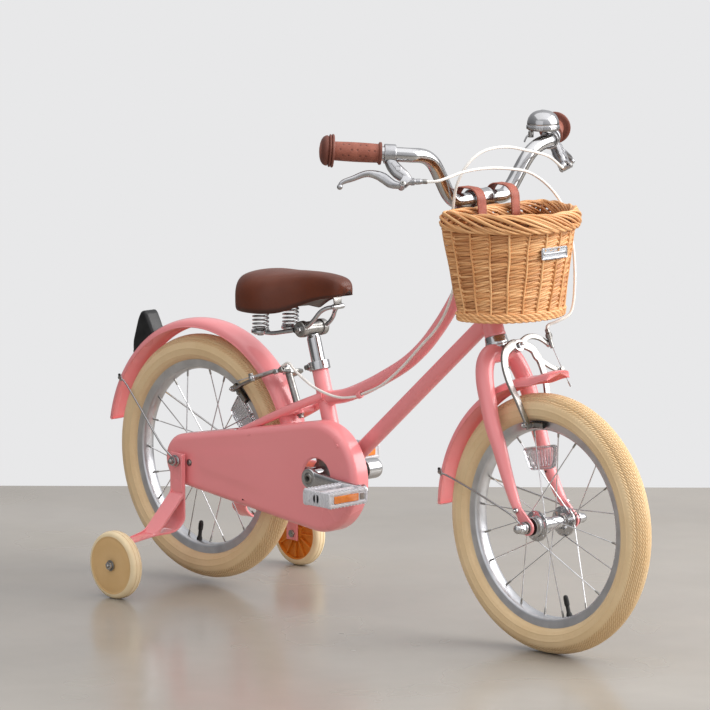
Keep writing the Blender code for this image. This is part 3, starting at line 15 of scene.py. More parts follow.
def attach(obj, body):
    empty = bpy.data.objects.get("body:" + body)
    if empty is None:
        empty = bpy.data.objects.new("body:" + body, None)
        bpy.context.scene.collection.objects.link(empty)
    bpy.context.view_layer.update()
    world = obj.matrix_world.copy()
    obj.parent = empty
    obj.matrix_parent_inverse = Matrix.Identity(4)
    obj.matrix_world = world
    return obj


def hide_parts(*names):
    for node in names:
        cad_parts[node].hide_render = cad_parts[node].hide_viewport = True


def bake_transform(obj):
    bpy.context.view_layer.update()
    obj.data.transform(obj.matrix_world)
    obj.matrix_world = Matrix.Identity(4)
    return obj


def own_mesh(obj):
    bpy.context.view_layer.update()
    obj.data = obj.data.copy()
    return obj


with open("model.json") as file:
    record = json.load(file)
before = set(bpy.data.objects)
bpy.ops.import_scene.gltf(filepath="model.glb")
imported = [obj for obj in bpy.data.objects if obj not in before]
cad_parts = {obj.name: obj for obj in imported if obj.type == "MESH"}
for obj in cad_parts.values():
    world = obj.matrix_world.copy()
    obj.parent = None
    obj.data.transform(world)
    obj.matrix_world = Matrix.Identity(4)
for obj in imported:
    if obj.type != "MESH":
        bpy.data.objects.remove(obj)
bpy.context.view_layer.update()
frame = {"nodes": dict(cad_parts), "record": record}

SHIFT_X = 0.37235
RNG = np.random.default_rng(16)


# ====================================================================== numbers shared with the CAD
def vec(*p):
    return np.array(p if len(p) > 1 else p[0], float)


def unit(v):
    v = np.asarray(v, float)
    return v / np.linalg.norm(v)


REAR_AXLE, FRONT_AXLE = vec(0, 0, 0.208), vec(0.7686, 0, 0.200)
STEER_AT, STEER_DIR = vec(0.6532, 0, 0.465), unit((-0.3256, 0, 0.9455))
SEAT_FOOT, SEAT_DIR = vec(0.3101, 0, 0.2195), unit((-0.2838, 0, 0.9589))
BB = vec(0.314, 0, 0.2195)
BAR_CLAMP = vec(0.613, 0, 0.684)
GRIP_END, GRIP_DIR = vec(0.540, 0.2433, 0.7696), unit((-0.640, 0.766, 0.0624))
CRANK_LENGTH, CRANK_DIR = 0.1141, unit((0.114, 0, -0.006))
TRAINER = vec(0.002, 0.2033, 0.0546)
Y = vec(0, 1, 0)
Z = vec(0, 0, 1)
SIDES = ((-1, "right"), (1, "left"))


def on_steer(t):
    return STEER_AT + STEER_DIR * t


def flip(p, side):
    """The point p of the left side, on the given side."""
    p = np.array(p, float)
    p[..., 1] *= side
    return p


# ====================================================================== materials
def srgb(r, g, b):
    found = []
    for c in (r, g, b):
        c = c / 255
        found.append(c / 12.92 if c <= 0.04045 else ((c + 0.055) / 1.055) ** 2.4)
    return (*found, 1.0)


def look(name, light, dark, scale=30.0, spread=(0.35, 0.65), rough=(0.3, 0.4), rough_scale=40.0, metallic=0.0, bumps=(),
         coat=0.0, coat_rough=0.1, tint=None, transmission=0.0, ior=1.45, sheen=0.0, specular=0.5, stretch=(1, 1, 1), fibre=False,
         speckle=None):
    """A procedural material. Colour drifts from light to dark over noise, and the colour given for tone and shade is
    mixed in where the piece's per-point amount is 1; that amount carries random tone and painted shade.
    Roughness drifts between two values, and bumps are (kind, scale, strength, distance) layers."""
    made = bpy.data.materials.new(name)
    made.use_nodes = True
    tree = made.node_tree
    nodes, links = tree.nodes, tree.links
    shader = nodes["Principled BSDF"]
    coord = nodes.new("ShaderNodeTexCoord")
    place = coord.outputs["Object"]
    if fibre:
        attr = nodes.new("ShaderNodeAttribute")
        attr.attribute_name = "fibre"
        place = attr.outputs["Vector"]
    mapping = nodes.new("ShaderNodeMapping")
    mapping.inputs["Scale"].default_value = stretch
    links.new(place, mapping.inputs["Vector"])
    place = mapping.outputs["Vector"]

    def noise(size, detail=4.0, roughness=0.55):
        n = nodes.new("ShaderNodeTexNoise")
        n.inputs["Scale"].default_value = size
        n.inputs["Detail"].default_value = detail
        n.inputs["Roughness"].default_value = roughness
        links.new(place, n.inputs["Vector"])
        return n.outputs["Fac"]

    ramp = nodes.new("ShaderNodeValToRGB")
    ramp.color_ramp.elements[0].position, ramp.color_ramp.elements[1].position = spread
    ramp.color_ramp.elements[0].color, ramp.color_ramp.elements[1].color = dark, light
    links.new(noise(scale), ramp.inputs["Fac"])
    colour = ramp.outputs["Color"]
    if speckle:
        spot, size, amount = speckle
        fine = nodes.new("ShaderNodeValToRGB")
        fine.color_ramp.elements[0].position, fine.color_ramp.elements[1].position = 0.58, 0.72
        links.new(noise(size, 2.0), fine.inputs["Fac"])
        weigh = nodes.new("ShaderNodeMath")
        weigh.operation = "MULTIPLY"
        weigh.inputs[1].default_value = amount
        links.new(fine.outputs["Color"], weigh.inputs[0])
        mixed = nodes.new("ShaderNodeMix")
        mixed.data_type = "RGBA"
        links.new(weigh.outputs[0], mixed.inputs["Factor"])
        links.new(colour, mixed.inputs["A"])
        mixed.inputs["B"].default_value = spot
        colour = mixed.outputs["Result"]
    if tint is not None:
        attr = nodes.new("ShaderNodeAttribute")
        attr.attribute_name = "tint"
        mixed = nodes.new("ShaderNodeMix")
        mixed.data_type = "RGBA"
        links.new(attr.outputs["Fac"], mixed.inputs["Factor"])
        links.new(colour, mixed.inputs["A"])
        mixed.inputs["B"].default_value = tint
        colour = mixed.outputs["Result"]
    links.new(colour, shader.inputs["Base Color"])

    spread_rough = nodes.new("ShaderNodeMapRange")
    spread_rough.inputs["From Min"].default_value = 0.3
    spread_rough.inputs["From Max"].default_value = 0.7
    spread_rough.inputs["To Min"].default_value, spread_rough.inputs["To Max"].default_value = rough
    links.new(noise(rough_scale, 3.0), spread_rough.inputs["Value"])
    links.new(spread_rough.outputs["Result"], shader.inputs["Roughness"])

    normal = None
    for kind, size, strength, distance in bumps:
        if kind == "noise":
            height = noise(size, 5.0, 0.6)
        elif kind == "fine":
            height = noise(size, 2.0, 0.5)
        elif kind in ("cells", "grain"):
            v = nodes.new("ShaderNodeTexVoronoi")
            v.feature = "F1" if kind == "cells" else "DISTANCE_TO_EDGE"
            v.inputs["Scale"].default_value = size
            links.new(place, v.inputs["Vector"])
            height = v.outputs["Distance"]
            if kind == "grain":
                soft = nodes.new("ShaderNodeMapRange")
                soft.inputs["From Max"].default_value = 0.18
                links.new(height, soft.inputs["Value"])
                height = soft.outputs["Result"]
        elif kind == "prism":
            w1, w2 = nodes.new("ShaderNodeTexWave"), nodes.new("ShaderNodeTexWave")
            for w, way in ((w1, "X"), (w2, "Z")):
                w.wave_type, w.bands_direction, w.wave_profile = "BANDS", way, "TRI"
                w.inputs["Scale"].default_value = size
                links.new(place, w.inputs["Vector"])
            most = nodes.new("ShaderNodeMath")
            most.operation = "MAXIMUM"
            links.new(w1.outputs["Fac"], most.inputs[0])
            links.new(w2.outputs["Fac"], most.inputs[1])
            height = most.outputs[0]
        bump = nodes.new("ShaderNodeBump")
        bump.inputs["Strength"].default_value = strength
        bump.inputs["Distance"].default_value = distance
        links.new(height, bump.inputs["Height"])
        if normal is not None:
            links.new(normal, bump.inputs["Normal"])
        normal = bump.outputs["Normal"]
    if normal is not None:
        links.new(normal, shader.inputs["Normal"])
    shader.inputs["Metallic"].default_value = metallic
    shader.inputs["Coat Weight"].default_value = coat
    shader.inputs["Coat Roughness"].default_value = coat_rough
    shader.inputs["Transmission Weight"].default_value = transmission
    shader.inputs["IOR"].default_value = ior
    shader.inputs["Sheen Weight"].default_value = sheen
    shader.inputs["Specular IOR Level"].default_value = specular
    return made


# Each look's last colour is for tone and painted shade: pieces mix it in per point, as random tone and as painted shade
# in grooves, dimples, creases, undersides and the back of the weave.
LOOKS = {
    "pink": look("pink_paint", srgb(249, 153, 156), srgb(246, 147, 150), 5, (0.3, 0.7), (0.26, 0.34), 9,
                 bumps=(("noise", 8, 0.02, 0.002),), coat=0.55, coat_rough=0.10, tint=srgb(170, 88, 94)),
    "chrome": look("chrome", srgb(196, 196, 197), srgb(178, 178, 180), 18, (0.3, 0.7), (0.10, 0.19), 45, 1.0,
                   bumps=(("noise", 35, 0.03, 0.001),), tint=srgb(120, 116, 112)),
    "alloy": look("satin_alloy", srgb(188, 188, 190), srgb(164, 164, 167), 60, (0.3, 0.7), (0.22, 0.36), 90, 1.0,
                  bumps=(("fine", 900, 0.08, 0.0003),), tint=srgb(110, 108, 106)),
    "rim": look("rim_alloy", srgb(214, 215, 218), srgb(192, 193, 197), 40, (0.3, 0.7), (0.30, 0.42), 60, 1.0,
                bumps=(("fine", 700, 0.06, 0.0003),), tint=srgb(90, 90, 92)),
    "steel": look("zinc_steel", srgb(170, 168, 165), srgb(138, 136, 133), 120, (0.3, 0.7), (0.26, 0.42), 150, 1.0,
                  bumps=(("fine", 800, 0.10, 0.0003),), tint=srgb(70, 66, 62)),
    "dark_steel": look("dark_steel", srgb(70, 68, 66), srgb(44, 42, 40), 150, (0.3, 0.7), (0.34, 0.5), 150, 0.85,
                       bumps=(("fine", 900, 0.12, 0.0003),)),
    "spoke": look("spoke_steel", srgb(222, 222, 224), srgb(200, 200, 203), 90, (0.3, 0.7), (0.28, 0.4), 100, 1.0,
                  bumps=(("fine", 900, 0.06, 0.0002),)),
    "tyre": look("tan_rubber", srgb(233, 206, 164), srgb(223, 193, 148), 14, (0.3, 0.7), (0.62, 0.78), 60,
                 bumps=(("noise", 260, 0.18, 0.0006), ("fine", 1400, 0.12, 0.0002)), tint=srgb(196, 158, 108), sheen=0.10,
                 speckle=(srgb(212, 178, 128), 220, 0.25)),
    "trainer_tread": look("cream_plastic", srgb(246, 226, 188), srgb(239, 216, 174), 40, (0.3, 0.7), (0.42, 0.56), 70,
                          bumps=(("noise", 160, 0.08, 0.0006),), tint=srgb(200, 165, 115)),
    "trainer_face": look("tan_plastic", srgb(226, 188, 134), srgb(218, 178, 122), 24, (0.3, 0.7), (0.45, 0.6), 60,
                         bumps=(("noise", 200, 0.10, 0.0005),), tint=srgb(160, 118, 70)),
    "orange": look("orange_plastic", srgb(232, 146, 48), srgb(216, 124, 34), 30, (0.3, 0.7), (0.35, 0.5), 60,
                   bumps=(("noise", 160, 0.08, 0.0005),), tint=srgb(170, 92, 24)),
    "leather": look("saddle_leather", srgb(109, 48, 20), srgb(85, 36, 15), 16, (0.25, 0.75), (0.34, 0.46), 26,
                    bumps=(("grain", 620, 0.16, 0.0005), ("noise", 40, 0.05, 0.0012)), coat=0.08,
                    coat_rough=0.35, tint=srgb(46, 21, 13), sheen=0.0),
    "grip": look("grip_leather", srgb(158, 92, 74), srgb(134, 72, 56), 60, (0.3, 0.7), (0.45, 0.6), 90,
                 bumps=(("grain", 900, 0.18, 0.0004), ("noise", 160, 0.12, 0.0006)), tint=srgb(78, 36, 26), sheen=0.05),
    "strap": look("strap_leather", srgb(176, 98, 80), srgb(148, 76, 62), 70, (0.3, 0.7), (0.42, 0.56), 90,
                  bumps=(("grain", 900, 0.22, 0.0004), ("noise", 200, 0.18, 0.0006)), tint=srgb(84, 40, 32)),
    "stitch": look("stitch_thread", srgb(205, 170, 140), srgb(180, 140, 112), 300, (0.3, 0.7), (0.6, 0.8), 200,
                   bumps=(("noise", 1500, 0.3, 0.0003),)),
    "wicker": look("willow_cane", srgb(250, 200, 144), srgb(210, 144, 86), 26, (0.30, 0.68), (0.40, 0.58), 40,
                   bumps=(("noise", 60, 0.35, 0.0006), ("fine", 300, 0.2, 0.0003)), coat=0.12, coat_rough=0.3,
                   tint=srgb(160, 94, 48), stretch=(0.35, 8, 8), fibre=True),
    "black": look("black_plastic", srgb(34, 35, 36), srgb(22, 23, 24), 60, (0.3, 0.7), (0.28, 0.42), 60,
                  bumps=(("fine", 900, 0.10, 0.0003),)),
    "rubber": look("black_rubber", srgb(38, 37, 36), srgb(24, 23, 23), 80, (0.3, 0.7), (0.55, 0.75), 80,
                   bumps=(("noise", 500, 0.2, 0.0004),)),
    "clear": look("clear_plastic", srgb(252, 252, 253), srgb(244, 244, 247), 60, (0.3, 0.7), (0.10, 0.18), 80,
                  bumps=(("prism", 110, 0.10, 0.0004),), transmission=0.93, ior=1.35),
    "pedal": look("frosted_plastic", srgb(238, 238, 241), srgb(220, 220, 226), 70, (0.3, 0.7), (0.22, 0.36), 80,
                  bumps=(("fine", 700, 0.08, 0.0003),), transmission=0.22, ior=1.46, tint=srgb(150, 150, 156)),
    "amber": look("amber_reflector", srgb(240, 140, 42), srgb(226, 118, 28), 120, (0.3, 0.7), (0.14, 0.24), 80,
                  bumps=(("prism", 260, 0.5, 0.0006),), coat=0.6, coat_rough=0.06),
    "red": look("red_reflector", srgb(190, 24, 22), srgb(160, 14, 14), 120, (0.3, 0.7), (0.12, 0.22), 80,
                bumps=(("prism", 200, 0.5, 0.0006),), coat=0.6, coat_rough=0.06),
    "housing": look("cable_housing", srgb(244, 241, 236), srgb(233, 229, 223), 60, (0.3, 0.7), (0.30, 0.42), 80,
                    bumps=(("fine", 600, 0.06, 0.0003),), coat=0.15, coat_rough=0.2),
    "plate": look("blank_plate", srgb(206, 208, 212), srgb(184, 186, 190), 200, (0.3, 0.7), (0.22, 0.36), 160, 1.0,
                  bumps=(("fine", 1200, 0.12, 0.0002),), stretch=(1, 0.06, 1)),
}


# ====================================================================== curves and sections
def smooth(points, count):
    """count points, evenly spaced along a smooth curve through the given ones (Catmull-Rom)."""
    p = np.asarray([tuple(q) for q in points], float)
    pad = np.vstack([2 * p[0] - p[1], p, 2 * p[-1] - p[-2]])
    t = np.linspace(0, 1, 24, endpoint=False)[:, None]
    dense = []
    for i in range(1, len(pad) - 2):
        p0, p1, p2, p3 = pad[i - 1 : i + 3]
        dense.append(0.5 * (2 * p1 + (p2 - p0) * t + (2 * p0 - 5 * p1 + 4 * p2 - p3) * t**2 + (3 * p1 - p0 - 3 * p2 + p3) * t**3))
    dense = np.vstack(dense + [p[-1:]])
    length = np.concatenate([[0], np.cumsum(np.linalg.norm(np.diff(dense, axis=0), axis=1))])
    want = np.linspace(0, length[-1], count)
    return np.stack([np.interp(want, length, dense[:, k]) for k in range(dense.shape[1])], axis=1)


def spaced(points, count):
    """count points, evenly spaced along a polyline."""
    p = np.asarray(points, float)
    length = np.concatenate([[0], np.cumsum(np.linalg.norm(np.diff(p, axis=0), axis=1))])
    want = np.linspace(0, length[-1], count)
    return np.stack([np.interp(want, length, p[:, k]) for k in range(p.shape[1])], axis=1)


def fillet(points, radius, steps=3, cyclic=True):
    """Rounds the corners of a polyline or polygon. radius is one number, or one for each corner."""
    p = [np.array(q, float) for q in points]
    n = len(p)
    radii = [radius] * n if isinstance(radius, (int, float)) else list(radius)
    out = []
    for i in range(n):
        if not cyclic and i in (0, n - 1):
            out.append(p[i])
            continue
        a, b, c = p[i - 1], p[i], p[(i + 1) % n]
        la, lc = np.linalg.norm(a - b), np.linalg.norm(c - b)
        d = min(radii[i], la * 0.45, lc * 0.45)
        if d < 1e-7:
            out.append(b)
            continue
        s, e = b + (a - b) / la * d, b + (c - b) / lc * d
        for k in range(steps + 1):
            t = k / steps
            out.append(s * (1 - t) ** 2 + b * 2 * t * (1 - t) + e * t * t)
    return np.array(out)


def hull(circles, steps=48):
    points = [Vector((x + r * cos(2 * pi * i / steps), z + r * sin(2 * pi * i / steps))) for x, z, r in circles for i in range(steps)]
    return np.array([(points[i].x, points[i].y) for i in convex_hull_2d(points)])


def circle(x, z, r, steps=24):
    a = 2 * pi * np.arange(steps) / steps
    return np.stack([x + r * np.cos(a), z + r * np.sin(a)], axis=1)


def polygon_area(p):
    x, y = p[:, 0], p[:, 1]
    return 0.5 * np.sum(x * np.roll(y, -1) - np.roll(x, -1) * y)


def offset(p, distance):
    """A polygon moved to the left of its own direction: inward for a counter-clockwise one."""
    d = np.roll(p, -1, 0) - p
    d /= np.maximum(np.linalg.norm(d, axis=1), 1e-12)[:, None]
    n = np.stack([-d[:, 1], d[:, 0]], axis=1)
    m = n + np.roll(n, 1, 0)
    m /= np.maximum(np.linalg.norm(m, axis=1), 1e-9)[:, None]
    share = np.maximum(np.sum(m * n, axis=1), 0.5)
    return p + m * (distance / share)[:, None]


def frames(path, hint=None, wrap=False):
    """Tangents and two normals that turn as little as possible along the path."""
    p = np.asarray(path, float)
    t = np.empty_like(p)
    t[1:-1] = p[2:] - p[:-2]
    t[0], t[-1] = (p[1] - p[-1], p[0] - p[-2]) if wrap else (p[1] - p[0], p[-1] - p[-2])
    t /= np.maximum(np.linalg.norm(t, axis=1), 1e-12)[:, None]
    if hint is None:
        hint = (0, 0, 1) if abs(t[0][2]) < 0.9 else (1, 0, 0)
    a = np.empty_like(p)
    last = np.asarray(hint, float)
    for i in range(len(p)):
        last = last - t[i] * np.dot(last, t[i])
        last = last / np.linalg.norm(last)
        a[i] = last
    return t, a, np.cross(t, a)


# ====================================================================== forms
class Form:
    """Collects closed shapes, then becomes one piece."""

    def __init__(self):
        self.points, self.tints, self.fibres, self.faces, self.looks = [], [], [], [], []
        self.count = 0

    def add(self, points, quads=(), tris=(), mat="pink", tint=0.0, fibre=None, closed=True):
        """mat is one look's name, or one for each face (quads first)."""
        points = np.asarray(points, float).reshape(-1, 3)
        quads = np.asarray(quads, int).reshape(-1, 4)
        tris = np.asarray(tris, int).reshape(-1, 3)
        if closed:
            t = np.vstack([tris, quads[:, [0, 1, 2]], quads[:, [0, 2, 3]]])
            a, b, c = points[t[:, 0]] - points[0], points[t[:, 1]] - points[0], points[t[:, 2]] - points[0]
            if np.einsum("ij,ij->", np.cross(a, b), c) < 0:
                quads, tris = quads[:, ::-1], tris[:, ::-1]
        names = [mat] * (len(quads) + len(tris)) if isinstance(mat, str) else list(mat)
        self.points.append(points)
        self.tints.append(np.broadcast_to(np.asarray(tint, float), len(points)))
        self.fibres.append(points if fibre is None else np.asarray(fibre, float).reshape(-1, 3))
        self.faces.append((quads + self.count, tris + self.count))
        self.looks.append((names[: len(quads)], names[len(quads) :]))
        self.count += len(points)
        return self


def grid(nu, nv, wrap_u=False, wrap_v=True):
    i = np.arange(nu if wrap_u else nu - 1)
    j = np.arange(nv if wrap_v else nv - 1)
    i, j = np.meshgrid(i, j, indexing="ij")
    a, b = i * nv + j, i * nv + (j + 1) % nv
    c, d = ((i + 1) % nu) * nv + (j + 1) % nv, ((i + 1) % nu) * nv + j
    return np.stack([a, b, c, d], axis=-1).reshape(-1, 4)


def loft(form, rings, wrap=False, centres=None, mat="pink", tint=0.0, fibre=None):
    """Skins rings of points (count, around, 3), and caps the ends. mat may be one name for each step between rings."""
    rings = np.asarray(rings, float)
    nu, nv, _ = rings.shape
    points = rings.reshape(-1, 3)
    quads = grid(nu, nv, wrap)
    tris = np.zeros((0, 3), int)
    if not wrap:
        c0, c1 = centres if centres is not None else (rings[0].mean(0), rings[-1].mean(0))
        points = np.vstack([points, [c0, c1]])
        n, j, k = nu * nv, np.arange(nv), (np.arange(nv) + 1) % nv
        tris = np.vstack([np.stack([np.full(nv, n), k, j], 1), np.stack([np.full(nv, n + 1), (nu - 1) * nv + j, (nu - 1) * nv + k], 1)])
        if not np.isscalar(tint):
            tint = np.concatenate([np.asarray(tint, float).reshape(-1), [0.0, 0.0]])
        if fibre is not None:
            fibre = np.vstack([np.asarray(fibre).reshape(-1, 3), [(0, 0, 0), (0, 0, 0)]])
    elif not np.isscalar(tint):
        tint = np.asarray(tint, float).reshape(-1)
    if not isinstance(mat, str):
        mat = list(mat)
        rows = [m for m in mat for _ in range(nv)]
        if not wrap:
            rows += [mat[0]] * nv + [mat[-1]] * nv
        mat = rows
    return form.add(points, quads, tris, mat, tint, fibre)


def tube(form, path, radius, sides=20, mat="pink", tint=0.0, ends="flat", wrap=False, hint=None, squash=1.0, fibre=False, twist=0.0,
         cut_start=None, cut_end=None):
    """A round bar along a path. ends is flat or round; a cut is (point, axis, radius) of a tube that this one meets."""
    path = np.asarray(path, float)
    r = np.array(np.broadcast_to(np.asarray(radius, float), len(path)))
    t, a, b = frames(path, hint, wrap)
    angle = 2 * pi * np.arange(sides) / sides
    turn = angle[None, :] + twist * np.linspace(0, 1, len(path))[:, None]
    rings = path[:, None] + r[:, None, None] * (np.cos(turn)[..., None] * a[:, None] + squash * np.sin(turn)[..., None] * b[:, None])
    rings = list(rings)
    centres = None
    if not wrap:
        centres = [path[0], path[-1]]
        for end, cutter in ((0, cut_start), (-1, cut_end)):
            out = -t[0] if end == 0 else t[-1]
            base, rad = path[end], r[end]
            if cutter is not None:
                rings[end] = mitre(rings[end], out, *cutter)
                centres[end] = rings[end].mean(0)
                continue
            ring = (rings[end] - base) / max(rad, 1e-9)
            extra = []
            if ends == "round":
                for k in range(1, 5):
                    w = pi / 2 * k / 5
                    extra.append(base + out * rad * sin(w) + ring * rad * cos(w))
                centres[end] = base + out * rad
            else:
                c = min(0.0005, rad * 0.18)
                extra.append(base + out * 0 + ring * (rad - c))
                rings[end] = base - out * c + ring * rad
                centres[end] = base
            rings = list(reversed(extra)) + rings if end == 0 else rings + extra
    along = None
    if fibre:
        length = np.concatenate([[0], np.cumsum(np.linalg.norm(np.diff(path, axis=0), axis=1))]) + RNG.uniform(0, 50)
        if len(rings) != len(path):
            more = (len(rings) - len(path)) // 2
            length = np.concatenate([np.full(more, length[0]), length, np.full(more, length[-1])])
            rr = np.concatenate([np.full(more, r[0]), r, np.full(more, r[-1])])
        else:
            rr = r
        spot = RNG.uniform(0, 9)
        along = np.stack([np.repeat(length[:, None], sides, 1), spot + rr[:, None] * np.cos(angle)[None], spot + rr[:, None] * np.sin(angle)[None]], axis=-1)
    if not np.isscalar(tint):
        tint = np.asarray(tint, float)
        more = (len(rings) - len(path)) // 2
        tint = np.concatenate([np.full(more, tint[0]), tint, np.full(more, tint[-1])])
        tint = np.repeat(tint[:, None], sides, 1)
    return loft(form, rings, wrap, centres, mat, tint, along)


def mitre(points, direction, at, axis, radius):
    """Moves points along the direction onto the surface of a round tube."""
    direction, axis = unit(direction), unit(axis)
    d = direction - axis * np.dot(direction, axis)
    moved = []
    for p in np.asarray(points, float):
        w = p - at
        w = w - axis * np.dot(w, axis)
        qa, qb, qc = np.dot(d, d), 2 * np.dot(w, d), np.dot(w, w) - radius**2
        inside = qb * qb - 4 * qa * qc
        s = (-qb - sqrt(inside)) / (2 * qa) if inside > 0 else -qb / (2 * qa)
        moved.append(p + direction * s)
    return np.array(moved)


def weld(form, at, direction, radius, axis_at, axis, axis_r, bead=0.0016, mat="pink", steps=72):
    """A rippled bead where one tube meets another."""
    _, a, b = frames(np.array([at, np.asarray(at) + direction]))
    w = 2 * pi * np.arange(steps) / steps
    start = at + radius * (np.cos(w)[:, None] * a[0] + np.sin(w)[:, None] * b[0])
    line = mitre(start, direction, axis_at, axis, axis_r)
    return tube(form, line, bead * (1 + 0.16 * np.sin(w * 18) + 0.06 * np.sin(w * 5 + 1)), 10, mat, wrap=True)


def lathe(form, profile, at, axis, steps=48, mat="pink", tint=0.0, hint=None, round_off=0.0, corner_steps=3):
    """Turns an outline of (along, radius) points. An outline that starts and ends at radius 0 is open there, any other is a closed loop."""
    profile = np.asarray(profile, float)
    poles = profile[0][1] < 1e-9 and profile[-1][1] < 1e-9
    names = mat
    if round_off:
        profile = fillet(profile, round_off, corner_steps, cyclic=not poles)
        if not isinstance(mat, str):
            raise ValueError("one look only for a rounded outline")
    at, axis = np.asarray(at, float), unit(axis)
    _, a, b = frames(np.array([at, at + axis]), hint)
    w = 2 * pi * np.arange(steps) / steps
    out = np.cos(w)[:, None] * a[0] + np.sin(w)[:, None] * b[0]
    body = profile[1:-1] if poles else profile
    rings = at + axis * body[:, 0][:, None, None] + body[:, 1][:, None, None] * out[None]
    if not np.isscalar(tint):
        tint = np.repeat(np.asarray(tint, float)[1:-1][:, None] if poles else np.asarray(tint, float)[:, None], steps, 1)
    if poles:
        centres = (at + axis * profile[0][0], at + axis * profile[-1][0])
        if not isinstance(names, str):
            names = list(names)[1:-1]
        return loft(form, rings, False, centres, names, tint)
    return loft(form, rings, True, None, names, tint)


def slab(form, outer, low, high, place, holes=(), bevel=0.0004, steps=2, mat="pink", tint=0.0):
    """A flat plate with holes and softened edges. place(points2, height) puts an outline in space; height may bend it."""
    loops = [np.asarray(outer, float)] + [np.asarray(h, float) for h in holes]
    loops[0] = loops[0] if polygon_area(loops[0]) > 0 else loops[0][::-1]
    for i in range(1, len(loops)):
        loops[i] = loops[i] if polygon_area(loops[i]) < 0 else loops[i][::-1]
    levels = sorted([(low + bevel - bevel * sin(pi / 2 * k / steps), bevel - bevel * cos(pi / 2 * k / steps)) for k in range(steps + 1)])
    tops = sorted([(high - bevel + bevel * sin(pi / 2 * k / steps), bevel - bevel * cos(pi / 2 * k / steps)) for k in range(steps + 1)])
    levels = levels + tops
    points, quads, starts = [], [], []
    base = 0
    for loop in loops:
        n = len(loop)
        starts.append(base)
        for height, inset in levels:
            points.append(place(offset(loop, inset) if inset > 0 else loop, height))
        q = grid(len(levels), n, False, True) + base
        quads.append(q)
        base += n * len(levels)
    flat = [offset(loop, bevel) for loop in loops]
    cells = tessellate_polygon([[Vector((x, y, 0.0)) for x, y in loop] for loop in flat])
    lower, upper = [], []
    for i, (loop, start) in enumerate(zip(loops, starts)):
        n = len(loop)
        lower += [start + k for k in range(n)]
        upper += [start + n * (len(levels) - 1) + k for k in range(n)]
    tris = []
    all_flat = np.vstack(flat)
    for a, b, c in cells:
        pa, pb, pc = all_flat[a], all_flat[b], all_flat[c]
        area = (pb[0] - pa[0]) * (pc[1] - pa[1]) - (pb[1] - pa[1]) * (pc[0] - pa[0])
        if area < 0:
            b, c = c, b
        tris.append((upper[a], upper[b], upper[c]))
        tris.append((lower[a], lower[c], lower[b]))
    return form.add(np.vstack(points), np.vstack(quads), tris, mat, tint)


def on_y(points, height):
    return np.stack([points[:, 0], np.broadcast_to(height, len(points)), points[:, 1]], axis=1)


def on_x(points, height):
    return np.stack([np.broadcast_to(height, len(points)), points[:, 0], points[:, 1]], axis=1)


def on_plane(at, right, up, out):
    """A place() for slab(): outline coordinates along right and up, height along out."""
    at, right, up, out = (np.asarray(v, float) for v in (at, right, up, out))
    return lambda p, h: at + p[:, :1] * right + p[:, 1:2] * up + h * out


def hexagon(radius, turn=0.0):
    a = pi / 3 * np.arange(6) + turn
    return np.stack([radius * np.cos(a), radius * np.sin(a)], axis=1)


def nut(form, at, axis, across, thick, bore=0.0, mat="steel", turn=0.3):
    """A hexagon nut or bolt head, across its corners, with chamfered faces."""
    axis = unit(axis)
    _, a, b = frames(np.array([np.asarray(at), np.asarray(at) + axis]))
    place = on_plane(at, a[0], b[0], axis)
    holes = [circle(0, 0, bore, 20)] if bore else []
    slab(form, fillet(hexagon(across / 2, turn), across * 0.06, 3), 0.0, thick, place, holes, across * 0.05, 2, mat)
    return form


def bar(form, path, widths, thicks, normal, mat="alloy", corner=0.45, per=4, tint=0.0, ends=True, fibre=False):
    """A flat bar with rounded edges along a path: thickness along the normal, width square to it."""
    path = np.asarray(path, float)
    n = len(path)
    widths = np.interp(np.linspace(0, 1, n), np.linspace(0, 1, len(widths)), widths) if len(widths) != n else np.asarray(widths, float)
    thicks = np.interp(np.linspace(0, 1, n), np.linspace(0, 1, len(thicks)), thicks) if len(thicks) != n else np.asarray(thicks, float)
    normal = np.broadcast_to(np.asarray(normal, float), (n, 3))
    rings = []
    t, _, _ = frames(path)
    if ends:
        lead = 0.12
        path = np.vstack([path[0], path[0] + (path[1] - path[0]) * lead, path[1:-1], path[-1] + (path[-2] - path[-1]) * lead, path[-1]])
        t = np.vstack([t[0], t[0], t[1:-1], t[-1], t[-1]])
        normal = np.vstack([normal[0], normal[0], normal[1:-1], normal[-1], normal[-1]])
        widths = np.concatenate([[widths[0] * 0.86], widths[:1], widths[1:-1], widths[-1:], [widths[-1] * 0.86]])
        thicks = np.concatenate([[thicks[0] * 0.72], thicks[:1], thicks[1:-1], thicks[-1:], [thicks[-1] * 0.72]])
    for i in range(len(path)):
        side = unit(np.cross(t[i], normal[i]))
        up = np.cross(side, t[i])
        w, h = widths[i] / 2, thicks[i] / 2
        c = min(w, h) * corner * 2 * 0.5 + min(w, h) * corner * 0.5
        c = min(c, min(w, h) * 0.98)
        shape = []
        for sx, sy, start in ((1, 1, 0), (-1, 1, 90), (-1, -1, 180), (1, -1, 270)):
            for k in range(per + 1):
                a = radians(start + 90 * k / per)
                shape.append(((w - c) * sx + c * cos(a), (h - c) * sy + c * sin(a)))
        rings.append([path[i] + side * a + up * b for a, b in shape])
    along = None
    if fibre:
        length = np.concatenate([[0], np.cumsum(np.linalg.norm(np.diff(path, axis=0), axis=1))])
        along = np.zeros((len(path), len(rings[0]), 3))
        along[..., 0] = length[:, None]
    return loft(form, np.array(rings), False, None, mat, tint, along)


